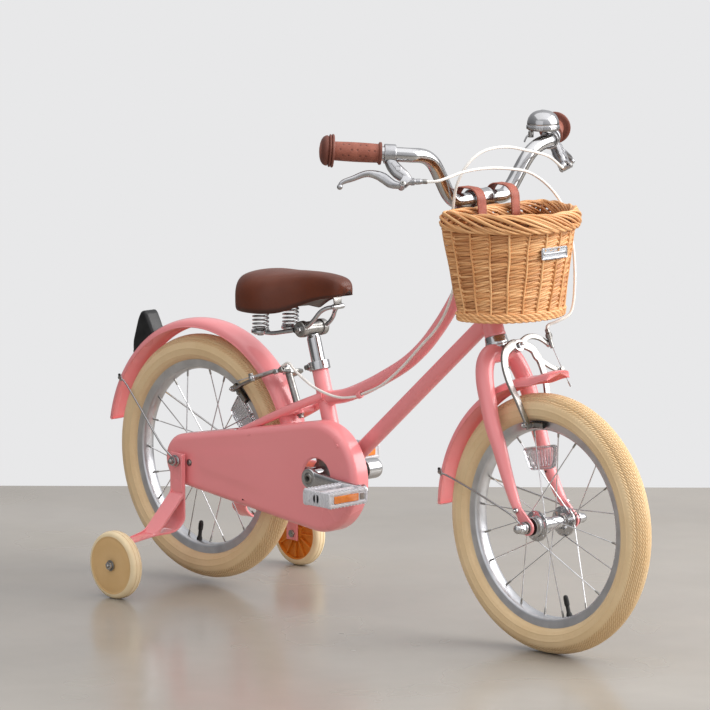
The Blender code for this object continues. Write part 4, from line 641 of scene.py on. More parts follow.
def ball(form, at, radius, mat="steel", steps=16, squash=(1, 1, 1)):
    """A rounded head."""
    a = np.linspace(0, pi, steps // 2 + 1)
    profile = np.stack([-radius * np.cos(a), radius * np.sin(a)], axis=1)
    profile[0][1] = profile[-1][1] = 0
    at = np.asarray(at, float)
    _, u, v = frames(np.array([at, at + Z]))
    w = 2 * pi * np.arange(steps) / steps
    ring = np.cos(w)[:, None] * vec(1, 0, 0) + np.sin(w)[:, None] * Y
    rings = at + (Z * profile[1:-1, 0][:, None, None] + profile[1:-1, 1][:, None, None] * ring[None]) * np.asarray(squash)
    return loft(form, rings, False, (at - Z * radius * squash[2], at + Z * radius * squash[2]), mat)


def screw(form, at, axis, radius, height=0.0016, mat="steel", slot=True):
    """A domed screw head with a cross recess, drawn as two dark bars: painted shade in the recess."""
    axis = unit(axis)
    lathe(form, [(-0.0006, 0), (-0.0006, radius), (height * 0.35, radius), (height * 0.8, radius * 0.75), (height, radius * 0.42), (height * 0.72, radius * 0.30),
                 (height * 0.5, 0)], at, axis, 24, mat, round_off=radius * 0.12)
    # painted shade: the cross recess is two dark steel bars in the dimple
    if slot:
        _, a, b = frames(np.array([np.asarray(at), np.asarray(at) + axis]))
        for way in (a[0], b[0]):
            at2 = np.asarray(at) + axis * height * 0.62
            bar(form, [at2 - way * radius * 0.55, at2, at2 + way * radius * 0.55], [radius * 0.2] * 3, [height * 0.5] * 3, axis, "dark_steel", per=2)


def make(form, name, body, replaces=(), sharp=34, weighted=False, recalc=True, body_blend=None):
    """Turns a form into a piece that rides on a body and stands for CAD nodes."""
    points = np.vstack(form.points)
    points = points - np.array([SHIFT_X, 0, 0])
    quads = np.vstack([f[0] for f in form.faces])
    tris = np.vstack([f[1] for f in form.faces])
    names = [n for q, _ in form.looks for n in q] + [n for _, t in form.looks for n in t]
    used = sorted(set(names))
    index = {n: i for i, n in enumerate(used)}
    mesh = bpy.data.meshes.new(name)
    mesh.vertices.add(len(points))
    mesh.vertices.foreach_set("co", points.astype(np.float32).ravel())
    loops = np.concatenate([quads.ravel(), tris.ravel()]).astype(np.int32)
    mesh.loops.add(len(loops))
    mesh.loops.foreach_set("vertex_index", loops)
    starts = np.concatenate([np.arange(len(quads)) * 4, len(quads) * 4 + np.arange(len(tris)) * 3]).astype(np.int32)
    mesh.polygons.add(len(starts))
    mesh.polygons.foreach_set("loop_start", starts)
    mesh.polygons.foreach_set("material_index", np.array([index[n] for n in names], np.int32))
    mesh.update(calc_edges=True)
    mesh.validate()
    for key in used:
        mesh.materials.append(LOOKS[key])
    tint = mesh.attributes.new("tint", "FLOAT", "POINT")
    tint.data.foreach_set("value", np.concatenate(form.tints).astype(np.float32))
    if "wicker" in used or "strap" in used:
        fibre = mesh.attributes.new("fibre", "FLOAT_VECTOR", "POINT")
        fibre.data.foreach_set("vector", np.vstack(form.fibres).astype(np.float32).ravel())
    if recalc and len(starts) < 60000:
        bm = bmesh.new()
        bm.from_mesh(mesh)
        bmesh.ops.remove_doubles(bm, verts=bm.verts, dist=1e-7)
        bmesh.ops.dissolve_degenerate(bm, edges=bm.edges, dist=1e-7)
        bmesh.ops.recalc_face_normals(bm, faces=bm.faces)
        bm.to_mesh(mesh)
        bm.free()
    mesh.shade_smooth()
    mesh.set_sharp_from_angle(angle=radians(sharp))
    piece = bpy.data.objects.new(name, mesh)
    bpy.context.scene.collection.objects.link(piece)
    if weighted:
        piece.modifiers.new("faces", "WEIGHTED_NORMAL").keep_sharp = True
    if body_blend:
        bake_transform(piece)
    else:
        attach(piece, body)
    if replaces:
        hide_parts(*([replaces] if isinstance(replaces, str) else replaces))
    return piece


# ====================================================================== stage, light and camera
def stage_setup():
    scene = bpy.context.scene
    camera = bpy.data.objects.new("camera", bpy.data.cameras.new("camera"))
    scene.collection.objects.link(camera)
    camera.data.lens, camera.data.sensor_width = 250.66, 36.0
    camera.data.clip_start, camera.data.clip_end = 0.1, 100.0
    right, up, back = vec(0.697512, 0.716568, 0.00276), vec(-0.110039, 0.103306, 0.988544), vec(0.708074, -0.689825, 0.150908)
    turned = Matrix([[right[i], up[i], back[i], 0] for i in range(3)] + [[0, 0, 0, 1]])
    camera.matrix_world = Matrix.Translation((5.48362, -5.37172, 1.58689)) @ turned
    scene.camera = camera
    scene.view_settings.view_transform = "Standard"
    scene.view_settings.look = "None"

    # A pale ground sheet, square to the first view. Its far edge is a little way behind the bike.
    ahead = unit((back[0], back[1], 0)) * -1
    side = unit(np.cross(ahead, Z))
    foot = vec(5.48362, -5.37172, 0)
    form_mesh = bpy.data.meshes.new("ground")
    far, near, half = foot + ahead * 8.815, foot + ahead * 4.6, 3.2
    corners = [near - side * half, near + side * half, far + side * half, far - side * half]
    form_mesh.from_pydata([tuple(c) for c in corners], [], [(0, 1, 2, 3)])
    if form_mesh.polygons[0].normal.z < 0:
        form_mesh.flip_normals()
    ground = bpy.data.objects.new("ground", form_mesh)
    scene.collection.objects.link(ground)
    ground_look = look("pale_concrete", srgb(168, 162, 153), srgb(150, 144, 135), 2.2, (0.25, 0.75), (0.14, 0.32), 3.0,
                       bumps=(("noise", 9, 0.03, 0.004), ("fine", 120, 0.02, 0.001)), coat=0.0, speckle=(srgb(160, 152, 144), 14, 0.25))
    form_mesh.materials.append(ground_look)

    world = bpy.data.worlds.new("studio")
    scene.world = world
    world.use_nodes = True
    nodes, links = world.node_tree.nodes, world.node_tree.links
    nodes.clear()
    out = nodes.new("ShaderNodeOutputWorld")
    seen, lit = nodes.new("ShaderNodeBackground"), nodes.new("ShaderNodeBackground")
    seen.inputs["Color"].default_value = srgb(232, 232, 233)
    coord = nodes.new("ShaderNodeTexCoord")
    split = nodes.new("ShaderNodeSeparateXYZ")
    links.new(coord.outputs["Generated"], split.inputs["Vector"])
    # Height: a dim floor, a paler wall, a bright ceiling.
    height = nodes.new("ShaderNodeValToRGB")
    height.color_ramp.elements[0].position, height.color_ramp.elements[0].color = 0.0, (0.16, 0.15, 0.14, 1)
    height.color_ramp.elements[1].position, height.color_ramp.elements[1].color = 1.0, (0.95, 0.95, 0.96, 1)
    for at, shade in ((0.46, (0.22, 0.21, 0.20, 1)), (0.50, (0.52, 0.52, 0.53, 1)), (0.62, (0.62, 0.62, 0.64, 1))):
        e = height.color_ramp.elements.new(at)
        e.color = shade
    lift = nodes.new("ShaderNodeMapRange")
    lift.inputs["From Min"].default_value, lift.inputs["From Max"].default_value = -1.0, 1.0
    links.new(split.outputs["Z"], lift.inputs["Value"])
    links.new(lift.outputs["Result"], height.inputs["Fac"])
    # Side: brighter towards the window side.
    dot = nodes.new("ShaderNodeVectorMath")
    dot.operation = "DOT_PRODUCT"
    dot.inputs[1].default_value = tuple(unit(right * 1.0 - ahead * 0.10))
    links.new(coord.outputs["Generated"], dot.inputs[0])
    window = nodes.new("ShaderNodeMapRange")
    window.inputs["From Min"].default_value, window.inputs["From Max"].default_value = -1.0, 1.0
    window.inputs["To Min"].default_value, window.inputs["To Max"].default_value = 0.40, 1.42
    links.new(dot.outputs["Value"], window.inputs["Value"])
    links.new(height.outputs["Color"], lit.inputs["Color"])
    links.new(window.outputs["Result"], lit.inputs["Strength"])
    ray = nodes.new("ShaderNodeLightPath")
    choose = nodes.new("ShaderNodeMixShader")
    links.new(ray.outputs["Is Camera Ray"], choose.inputs["Fac"])
    links.new(lit.outputs["Background"], choose.inputs[1])
    links.new(seen.outputs["Background"], choose.inputs[2])
    links.new(choose.outputs["Shader"], out.inputs["Surface"])

    def softbox(name, at, target, size, power, colour=(1, 1, 1)):
        light = bpy.data.lights.new(name, "AREA")
        light.shape, light.size, light.size_y = "RECTANGLE", size[0], size[1]
        light.energy, light.color = power, colour
        lamp = bpy.data.objects.new(name, light)
        scene.collection.objects.link(lamp)
        lamp.location = at
        lamp.rotation_mode = "QUATERNION"
        lamp.rotation_quaternion = (Vector(target) - Vector(at)).to_track_quat("-Z", "Y")
        lamp.visible_camera = False
        return lamp

    middle = vec(0, 0, 0.35)
    softbox("window_light", middle + right * 2.7 - ahead * 0.3 + Z * 1.5, middle, (3.0, 2.6), 112, (1.0, 0.985, 0.965))
    softbox("ceiling_light", middle + Z * 3.0 - ahead * 0.4, middle, (4.2, 4.2), 42)
    softbox("front_fill", middle - ahead * 3.2 - right * 1.6 + Z * 1.0, middle, (3.6, 3.0), 19, (0.98, 0.99, 1.0))


stage_setup()


# ====================================================================== wheels
def tyre(axle, name, body, node):
    """Round section with a block tread: slanting grooves that meet in a chevron, cut by grooves that run round."""
    half = [  # distance from the crown, groove depth share, groove that runs round
        (0.0, 1), (0.0005, 1), (0.0009, 0), (0.0038, 0), (0.0042, 1), (0.0049, 1), (0.0053, 0), (0.0085, 0), (0.0089, 1), (0.0096, 1), (0.0100, 0),
        (0.0134, 0), (0.0138, 1), (0.0145, 1), (0.0149, 0), (0.0186, 0), (0.0190, 0.8), (0.0196, 0.8), (0.0200, 0), (0.0236, 0), (0.0244, 0), (0.0258, 0),
    ]
    radius, centre_r = 0.0237, 0.1763
    rows = []  # (y, r, run-round groove, slanting groove weight, distance)
    for t, g in half:
        slant = 1.0 if t < 0.0238 else (0.6 if t < 0.0246 else 0.0)
        rows.append((t, g, slant))
    for t in (0.0290, 0.0320, 0.0345, 0.0350, 0.0356, 0.0362, 0.0395, 0.0425, 0.0448, 0.0452, 0.0458, 0.0464, 0.0485, 0.0505):
        rows.append((t, -0.28 if t in (0.0350, 0.0356, 0.0452, 0.0458) else 0.0, 0.0))
    section = []
    for t, g, slant in rows:
        w = t / radius
        section.append((radius * sin(w), centre_r + radius * cos(w), sin(w), cos(w), g, slant, t))
    for y, r in ((0.0172, 0.1614), (0.0142, 0.1600), (0.0120, 0.1592), (0.0108, 0.1575), (0.0105, 0.1540), (0.0104, 0.1512), (0.0096, 0.1503)):
        section.append((y, r, 1, 0, 0, 0, 0.06))
    right = section
    left = [(-y, r, -ny, nr, g, s, t) for y, r, ny, nr, g, s, t in reversed(section[1:])]
    inner = [(-0.0070, 0.1506), (-0.0072, 0.1590), (-0.0150, 0.1640), (-0.0205, 0.1763), (-0.0150, 0.1905), (0.0, 0.1970), (0.0150, 0.1905), (0.0205, 0.1763),
             (0.0150, 0.1640), (0.0072, 0.1590), (0.0070, 0.1506)]
    loop = left + right + [(y, r, 0, 0, 0, 0, 0.06) for y, r in reversed(inner)]
    blocks = 200
    cell = np.array([0.0, 0.42, 0.54, 0.80, 0.92])
    depth = np.array([0.0, 0.0, 1.0, 1.0, 0.0])
    u = (np.arange(blocks)[:, None] + cell[None]).ravel() * (2 * pi / blocks)
    cut = np.tile(depth, blocks)
    lp = np.array(loop)
    slantshift = np.minimum(np.abs(lp[:, 6]), 0.0258) * 1.75 / 0.2
    slantshift[lp[:, 6] >= 0.055] = 0.0258 * 1.75 / 0.2
    theta = u[:, None] + slantshift[None, :]
    fall = 0.0010 * np.maximum(np.maximum(lp[:, 4], 0)[None, :] * 0.70, cut[:, None] * lp[:, 5][None, :]) + 0.0013 * np.minimum(lp[:, 4], 0)[None, :]
    y = lp[:, 0][None, :] - fall * lp[:, 2][None, :]
    r = lp[:, 1][None, :] - fall * lp[:, 3][None, :]
    rings = np.stack([r * np.cos(theta), np.broadcast_to(y, r.shape), r * np.sin(theta)], axis=-1) + axle
    # painted shade: the grooves are painted darker, the deeper the darker
    tint = np.clip(fall / 0.0013, 0, 1) * 0.75
    form = Form()
    loft(form, rings, True, None, "tyre", tint)
    piece = make(form, name, body, node, sharp=60, recalc=False)
    return piece


def rim_and_spokes(axle, phase, body, word, rear):
    form = Form()
    shape = [(0.0125, 0.1583), (0.0128, 0.1592), (0.0121, 0.1597), (0.0109, 0.1590), (0.0106, 0.1512), (0.0060, 0.1500), (0.0, 0.1486)]
    outer = [(0.0, 0.1432), (0.0050, 0.1437), (0.0095, 0.1449), (0.0118, 0.1468), (0.0125, 0.1492), (0.0125, 0.1583)]
    right = outer + shape[1:]
    loop = right + [(-a, r) for a, r in reversed(right[1:-1])]
    lathe(form, loop, axle, (0, 1, 0), 180, "rim")
    # the spokes, each with its bent head at the hub and a nipple at the rim
    holes = 20
    for k in range(holes):
        theta = radians(phase + 18.0 * k)
        side = -1 if k % 2 == 0 else 1
        turn = radians(72.0) if (k // 2) % 2 == 0 else -radians(72.0)
        lift = 0.0016 if turn > 0 else -0.0016
        flange_y = 0.0300 + (-0.001 if rear and side < 0 else 0.0)
        end = axle + vec(0.1444 * sin(theta), side * 0.0032, -0.1444 * cos(theta))
        near_a = theta + turn
        start = axle + vec(0.0200 * sin(near_a), side * (flange_y + lift), -0.0200 * cos(near_a))
        way = unit(end - start)
        length = np.linalg.norm(end - start)
        tube(form, [start - way * 0.0005, start + way * length * 0.5, end - way * 0.009], 0.00095, 8, "spoke")
        head = start - Y * side * lift * 0.9
        tube(form, [start - way * 0.0002, head, head - Y * side * lift * 1.1], 0.00095, 8, "spoke")
        ball(form, head - Y * side * lift * 1.0, 0.0021, "spoke", 10, (1, 0.6, 1))
        tube(form, [end - way * 0.0115, end - way * 0.010, end - way * 0.0020, end + way * 0.0008], [0.0012, 0.0016, 0.0017, 0.0022], 10, "steel")
    # hub
    if rear:
        body_shape = [(-0.0425, 0.0052), (-0.0425, 0.0150), (-0.0312, 0.0150), (-0.0306, 0.0235), (-0.0276, 0.0238), (-0.0262, 0.0130), (-0.0220, 0.0108), (0, 0.0102),
                      (0.0230, 0.0108), (0.0268, 0.0130), (0.0284, 0.0236), (0.0314, 0.0236), (0.0322, 0.0168), (0.0350, 0.0162), (0.0356, 0.0150), (0.0425, 0.0146), (0.0425, 0.0052)]
    else:
        body_shape = [(-0.0425, 0.0052), (-0.0425, 0.0138), (-0.0372, 0.0150), (-0.0366, 0.0164), (-0.0322, 0.0168), (-0.0314, 0.0236), (-0.0284, 0.0236), (-0.0268, 0.0130),
                      (-0.0225, 0.0108), (0, 0.0100), (0.0225, 0.0108), (0.0268, 0.0130), (0.0284, 0.0236), (0.0314, 0.0236), (0.0322, 0.0168), (0.0366, 0.0164), (0.0372, 0.0150),
                      (0.0425, 0.0138), (0.0425, 0.0052)]
    lathe(form, body_shape, axle, (0, 1, 0), 56, "chrome", round_off=0.0006)
    # valve with its cap
    theta = radians(phase + (3.6 if not rear else 9.0))
    if not rear:
        theta = radians(17.0)
    out = vec(sin(theta), 0, -cos(theta))
    foot = axle + out * 0.1436
    tube(form, [foot, foot - out * 0.004, foot - out * 0.006, foot - out * 0.018, foot - out * 0.0185], [0.0048, 0.0042, 0.0032, 0.0030, 0.0030], 16, "rubber")
    tube(form, [foot - out * 0.0182, foot - out * 0.0290], [0.0040, 0.0037], 16, "rubber", ends="round")
    for k in range(5):
        at = foot - out * (0.0200 + 0.0016 * k)
        lathe(form, [(-0.0004, 0.0036), (-0.0002, 0.0042), (0.0002, 0.0042), (0.0004, 0.0036)], at, out, 16, "rubber")
    return make(form, "rim_spokes_hub_" + word, body, word + "_wheel_laced", sharp=40, recalc=False)


def spoke_reflector(axle, theta, radius, body, word, tilt):
    """A clear trapezoid that clips on between two spokes, with a moulded frame and lens."""
    out = vec(sin(radians(theta)), 0, -cos(radians(theta)))
    across = unit(np.cross(out, Y))
    spin = radians(tilt)
    out2 = out * cos(spin) + across * sin(spin)
    across2 = across * cos(spin) - out * sin(spin)
    form = Form()
    # the wide end points to the rim
    shape = fillet([(-0.0345, 0.0180), (-0.0240, -0.0180), (0.0240, -0.0180), (0.0345, 0.0180)], 0.007, 5)
    inner = fillet([(-0.0300, 0.0145), (-0.0208, -0.0145), (0.0208, -0.0145), (0.0300, 0.0145)], 0.005, 5)
    at = axle + out * radius
    place = on_plane(at, across2, out2, Y)
    slab(form, shape, -0.0032, 0.0032, place, [], 0.0012, 3, "clear")
    for side in (-1, 1):
        spot = on_plane(at + Y * side * 0.0034, across2, out2, Y * side)
        slab(form, offset(shape, 0.0006), -0.0004, 0.0010, spot, [inner], 0.0004, 2, "clear")
        for k in range(-3, 4):
            x = 0.0068 * k
            bar(form, [at + Y * side * 0.0036 + across2 * x * 1.05 + out2 * 0.0128, at + Y * side * 0.0036 + across2 * x * 0.95, at + Y * side * 0.0036 + across2 * x * 0.80 - out2 * 0.0128],
                [0.0022] * 3, [0.0010] * 3, Y, "clear", per=2)
    return make(form, "spoke_reflector_" + word, body, (), sharp=30)


tyre(FRONT_AXLE, "front_tyre_tread", "front_wheel", "front_tyre")
tyre(REAR_AXLE, "rear_tyre_tread", "rear_wheel", "rear_tyre")
rim_and_spokes(FRONT_AXLE, 13.0, "front_wheel", "front", False)
rim_and_spokes(REAR_AXLE, -17.7, "rear_wheel", "rear", True)
spoke_reflector(FRONT_AXLE, -169.0, 0.1010, "front_wheel", "front", 0)
spoke_reflector(REAR_AXLE, 131.0, 0.1130, "rear_wheel", "rear", 0)


# ====================================================================== frame
def frame_tubes():
    head = Form()
    lathe(head, [(0.0106, 0.0134), (0.0106, 0.0158), (0.0112, 0.0165), (0.0142, 0.0166), (0.0156, 0.0159), (0.1505, 0.0159), (0.1520, 0.0166), (0.1552, 0.0165),
                 (0.1560, 0.0158), (0.1560, 0.0134)], STEER_AT, STEER_DIR, 64, "pink", round_off=0.0004)
    make(head, "head_tube_shell", "frame", "head_tube")
    cup = Form()
    lathe(cup, [(-0.0083, 0.0134), (-0.0083, 0.0176), (-0.0076, 0.0182), (-0.0040, 0.0182), (-0.0036, 0.0177), (-0.0028, 0.0177), (-0.0024, 0.0182), (0.0010, 0.0182),
                (0.0018, 0.0176), (0.0098, 0.0170), (0.0103, 0.0166), (0.0103, 0.0134)], STEER_AT, STEER_DIR, 64, "chrome", round_off=0.0003)
    make(cup, "lower_headset_cup", "frame", "headset_lower_cup")

    top = Form()
    route = smooth([(0.2740, 0, 0.3343), (0.3000, 0, 0.3398), (0.3266, 0, 0.3466), (0.3650, 0, 0.3624), (0.4038, 0, 0.3814), (0.4548, 0, 0.4099), (0.4932, 0, 0.4394),
                    (0.5225, 0, 0.4696), (0.5488, 0, 0.5020), (0.5780, 0, 0.5440), (0.6105, 0, 0.5900)], 120)
    # the part in front of the seat tube; the stub behind it is picked out of the route but not drawn
    seat = (SEAT_FOOT, SEAT_DIR, 0.0126)
    headcut = (STEER_AT, STEER_DIR, 0.0152)
    front = route[np.argmax(route[:, 0] > 0.2960) :]
    back = route[: np.argmax(route[:, 0] > 0.2690) + 1]
    front = front[:-6]
    tube(top, front, 0.0111, 36, cut_start=seat, cut_end=headcut)
    d = unit(front[-1] - front[-3])
    weld(top, front[-1] - d * 0.01, d, 0.0114, STEER_AT, STEER_DIR, 0.0161, 0.0017)
    d = unit(front[0] - front[2])
    weld(top, front[0] - d * 0.01, d, 0.0113, SEAT_FOOT, SEAT_DIR, 0.0131, 0.0014)
    clip = vec(0.3637, -0.0100, 0.3515)
    clip_dir = unit((0.92, 0, 0.39))
    lathe(top, [(-0.0042, 0.0030), (-0.0042, 0.0048), (-0.0034, 0.0054), (0.0034, 0.0054), (0.0042, 0.0048), (0.0042, 0.0030)], clip, clip_dir, 28, "pink", round_off=0.0004)
    bar(top, [clip + vec(-0.004, 0.001, 0.004), clip + vec(0, 0.001, 0.0055), clip + vec(0.0045, 0.001, 0.0075)], [0.0044] * 3, [0.0040] * 3, Y, "pink")
    make(top, "curved_top_tube", "frame", "top_tube")

    down = Form()
    route = smooth([(0.6402, 0, 0.5028), (0.5308, 0, 0.4093), (0.4411, 0, 0.3326), (0.3090, 0, 0.2195)], 60)
    front = route[(route[:, 0] < 0.6230) & (route[:, 0] > 0.3320)]
    tube(down, front, 0.0127, 36, cut_start=headcut, cut_end=(BB, Y, 0.0196))
    d = unit(front[0] - front[2])
    weld(down, front[0] - d * 0.012, d, 0.0130, STEER_AT, STEER_DIR, 0.0161, 0.0018)
    d = unit(front[-1] - front[-3])
    weld(down, front[-1] - d * 0.012, d, 0.0129, BB, Y, 0.0202, 0.0016)
    make(down, "straight_down_tube", "frame", "down_tube")

    seat_form = Form()
    top_t = 0.180
    lathe(seat_form, [(0.012, 0.0), (0.012, 0.0130), (top_t - 0.0006, 0.0130), (top_t, 0.0126), (top_t, 0.0116), (0.042, 0.0115), (0.042, 0.0)], SEAT_FOOT, SEAT_DIR, 48, "pink")
    lathe(seat_form, [(-0.034, 0.0168), (-0.034, 0.0196), (-0.0334, 0.0201), (0.0334, 0.0201), (0.034, 0.0196), (0.034, 0.0168)], BB, Y, 56, "pink")
    for side in (-1, 1):
        lathe(seat_form, [(0.0270, 0.0096), (0.0270, 0.0164), (0.0344, 0.0164), (0.0356, 0.0190), (0.0372, 0.0186), (0.0376, 0.0150), (0.0366, 0.0120), (0.0366, 0.0096)],
              BB, Y * side, 48, "steel", round_off=0.0004)
    weld(seat_form, SEAT_FOOT + SEAT_DIR * 0.04, -SEAT_DIR, 0.0131, BB, Y, 0.0202, 0.0017)
    make(seat_form, "seat_tube_and_shell", "frame", "seat_tube")


CHAIN_STAY = [(0.3050, 0.0240, 0.2190), (0.2850, 0.0270, 0.2185), (0.2500, 0.0303, 0.2172), (0.2200, 0.0350, 0.2160), (0.1700, 0.0415, 0.2140), (0.1200, 0.0462, 0.2120),
              (0.0700, 0.0496, 0.2105), (0.0250, 0.0500, 0.2090)]
SEAT_STAY = [(0.0100, 0.0498, 0.2127), (0.0300, 0.0498, 0.2222), (0.0750, 0.0498, 0.2435), (0.1300, 0.0480, 0.2696), (0.1700, 0.0430, 0.2886), (0.2145, 0.0365, 0.3097),
             (0.2450, 0.0262, 0.3241), (0.2640, 0.0168, 0.3331)]
BRIDGE = vec(0.2145, 0, 0.3095)
REAR_B, REAR_E = unit((-0.389, 0, 0.921)), unit((-0.921, 0, -0.389))
REAR_P = BRIDGE + REAR_B * 0.0650


def rear_triangle():
    form = Form()
    for side in (-1, 1):
        low = smooth(flip(CHAIN_STAY, side), 64)
        r = np.interp(low[:, 0], [0.02, 0.09, 0.14, 0.18], [0.0054, 0.0056, 0.0063, 0.0070])
        keep = low[:, 0] < 0.2985
        tube(form, low[keep], r[keep], 28, cut_start=(BB, Y, 0.0197))
        high = smooth(flip(SEAT_STAY, side), 64)
        r = np.interp(high[:, 0], [0.01, 0.13, 0.16, 0.20], [0.0053, 0.0056, 0.0062, 0.0068])
        keep = high[:, 0] < 0.2585
        tube(form, high[keep], r[keep], 28, cut_end=(SEAT_FOOT, SEAT_DIR, 0.0127))
        d = unit(high[keep][-1] - high[keep][-3])
        weld(form, high[keep][-1] - d * 0.006, d, 0.0069, SEAT_FOOT, SEAT_DIR, 0.0132, 0.0012, steps=48)
        d = unit(low[keep][0] - low[keep][2])
        weld(form, low[keep][0] - d * 0.006, d, 0.0071, BB, Y, 0.0202, 0.0012, steps=48)
        plate = hull([(0.0, 0.208, 0.0130), (0.0420, 0.2095, 0.0058), (0.0390, 0.2265, 0.0058)], 40)
        slab(form, plate, *sorted((side * 0.0500, side * 0.0540)), on_y, [circle(0, 0.208, 0.0052, 28)], 0.0006, 2)
    tube(form, [BRIDGE - Y * 0.034, BRIDGE + Y * 0.034], 0.0058, 24)
    for side in (-1, 1):
        lathe(form, [(0.0285, 0.0058), (0.0300, 0.0070), (0.0318, 0.0072), (0.0330, 0.0062), (0.0330, 0.0050), (0.0285, 0.0050)], BRIDGE, Y * side, 28)
    lathe(form, [(-0.0075, 0.0031), (-0.0075, 0.0078), (0.0075, 0.0078), (0.0075, 0.0031)], BRIDGE, REAR_B, 28, round_off=0.0008)
    make(form, "stays_and_dropouts", "frame", "rear_triangle")

    bolt = Form()
    nut(bolt, BRIDGE - REAR_B * 0.0140, REAR_B, 0.0100, 0.0050, 0, "steel")
    lathe(bolt, [(-0.0092, 0.0), (-0.0092, 0.0058), (-0.0080, 0.0058), (-0.0080, 0.0)], BRIDGE, REAR_B, 24, "steel", round_off=0.0002)
    lathe(bolt, [(0.0080, 0.0), (0.0080, 0.0066), (0.0092, 0.0070), (0.0100, 0.0062), (0.0560, 0.0058), (0.0600, 0.0062), (0.0602, 0.0)], BRIDGE, REAR_B, 28, "steel", round_off=0.0004)
    lathe(bolt, [(0.0598, 0.0), (0.0598, 0.0026), (0.0700, 0.0026), (0.0700, 0.0)], BRIDGE, REAR_B, 16, "steel")
    nut(bolt, BRIDGE + REAR_B * 0.0702, REAR_B, 0.0104, 0.0034, 0, "chrome")
    tube(bolt, [BRIDGE + REAR_B * 0.0734, BRIDGE + REAR_B * 0.0752], 0.0026, 16, "chrome", ends="round")
    make(bolt, "rear_brake_bolt", "frame", "rear_caliper_bolt")

    collar = Form()
    at = SEAT_FOOT + SEAT_DIR * 0.1745
    back = unit(np.cross(Y, SEAT_DIR)) * -1
    if back[0] > 0:
        back = -back
    lathe(collar, [(-0.0078, 0.0133), (-0.0078, 0.0164), (-0.0070, 0.0170), (0.0052, 0.0170), (0.0062, 0.0164), (0.0064, 0.0124), (0.0058, 0.0121), (0.0052, 0.0133)], at, SEAT_DIR, 56,
          "chrome", round_off=0.0003)
    for side in (-1, 1):
        bar(collar, [at + back * 0.0150 + Y * side * 0.0046, at + back * 0.0200 + Y * side * 0.0046, at + back * 0.0240 + Y * side * 0.0046], [0.0118, 0.0112, 0.0092],
            [0.0034] * 3, Y, "chrome", per=4)
    bolt_at = at + back * 0.0192
    tube(collar, [bolt_at - Y * 0.0100, bolt_at + Y * 0.0105], 0.0026, 16, "steel")
    nut(collar, bolt_at - Y * 0.0120, Y, 0.0092, 0.0050, 0, "steel")
    lathe(collar, [(0.0064, 0.0), (0.0064, 0.0040), (0.0108, 0.0040), (0.0116, 0.0032), (0.0112, 0.0018), (0.0100, 0.0016), (0.0100, 0.0)], bolt_at, Y, 24, "steel", round_off=0.0003)
    make(collar, "seat_collar_clamp", "frame", "seat_collar")


frame_tubes()
rear_triangle()


# ====================================================================== chain guard
def guard_outline(inset, arc=40, straight=26):
    """The outline round both sprockets, evenly made, as (x, z) points."""
    r0, r1 = 0.042 - inset, 0.088 - inset
    lean = atan2(BB[2] - REAR_AXLE[2], BB[0] - REAR_AXLE[0])
    spread = acos((0.042 - 0.088) / np.linalg.norm(BB - REAR_AXLE))
    back = [(REAR_AXLE[0] + r0 * cos(a), REAR_AXLE[2] + r0 * sin(a)) for a in np.linspace(lean + spread, lean + 2 * pi - spread, arc)]
    front = [(BB[0] + r1 * cos(a), BB[2] + r1 * sin(a)) for a in np.linspace(lean - spread, lean + spread, arc * 2)]
    low = [tuple(np.array(back[-1]) * (1 - t) + np.array(front[0]) * t) for t in np.linspace(0, 1, straight)[1:-1]]
    high = [tuple(np.array(front[-1]) * (1 - t) + np.array(back[0]) * t) for t in np.linspace(0, 1, straight)[1:-1]]
    return np.array(back + low + front + high)


def step(a, b, x):
    t = np.clip((x - a) / (b - a), 0, 1)
    return t * t * (3 - 2 * t)


def guard_relief(x, z):
    """How far the pressed wedge in the guard's face stands proud."""
    top = 0.2200 + (x - 0.02) * 0.150
    low = 0.2050 - (x - 0.02) * 0.135
    inside = step(top + 0.012, top - 0.006, z) * step(low - 0.012, low + 0.006, z)
    return 0.0016 * inside * step(0.035, 0.06, x) * step(0.235, 0.150, x)


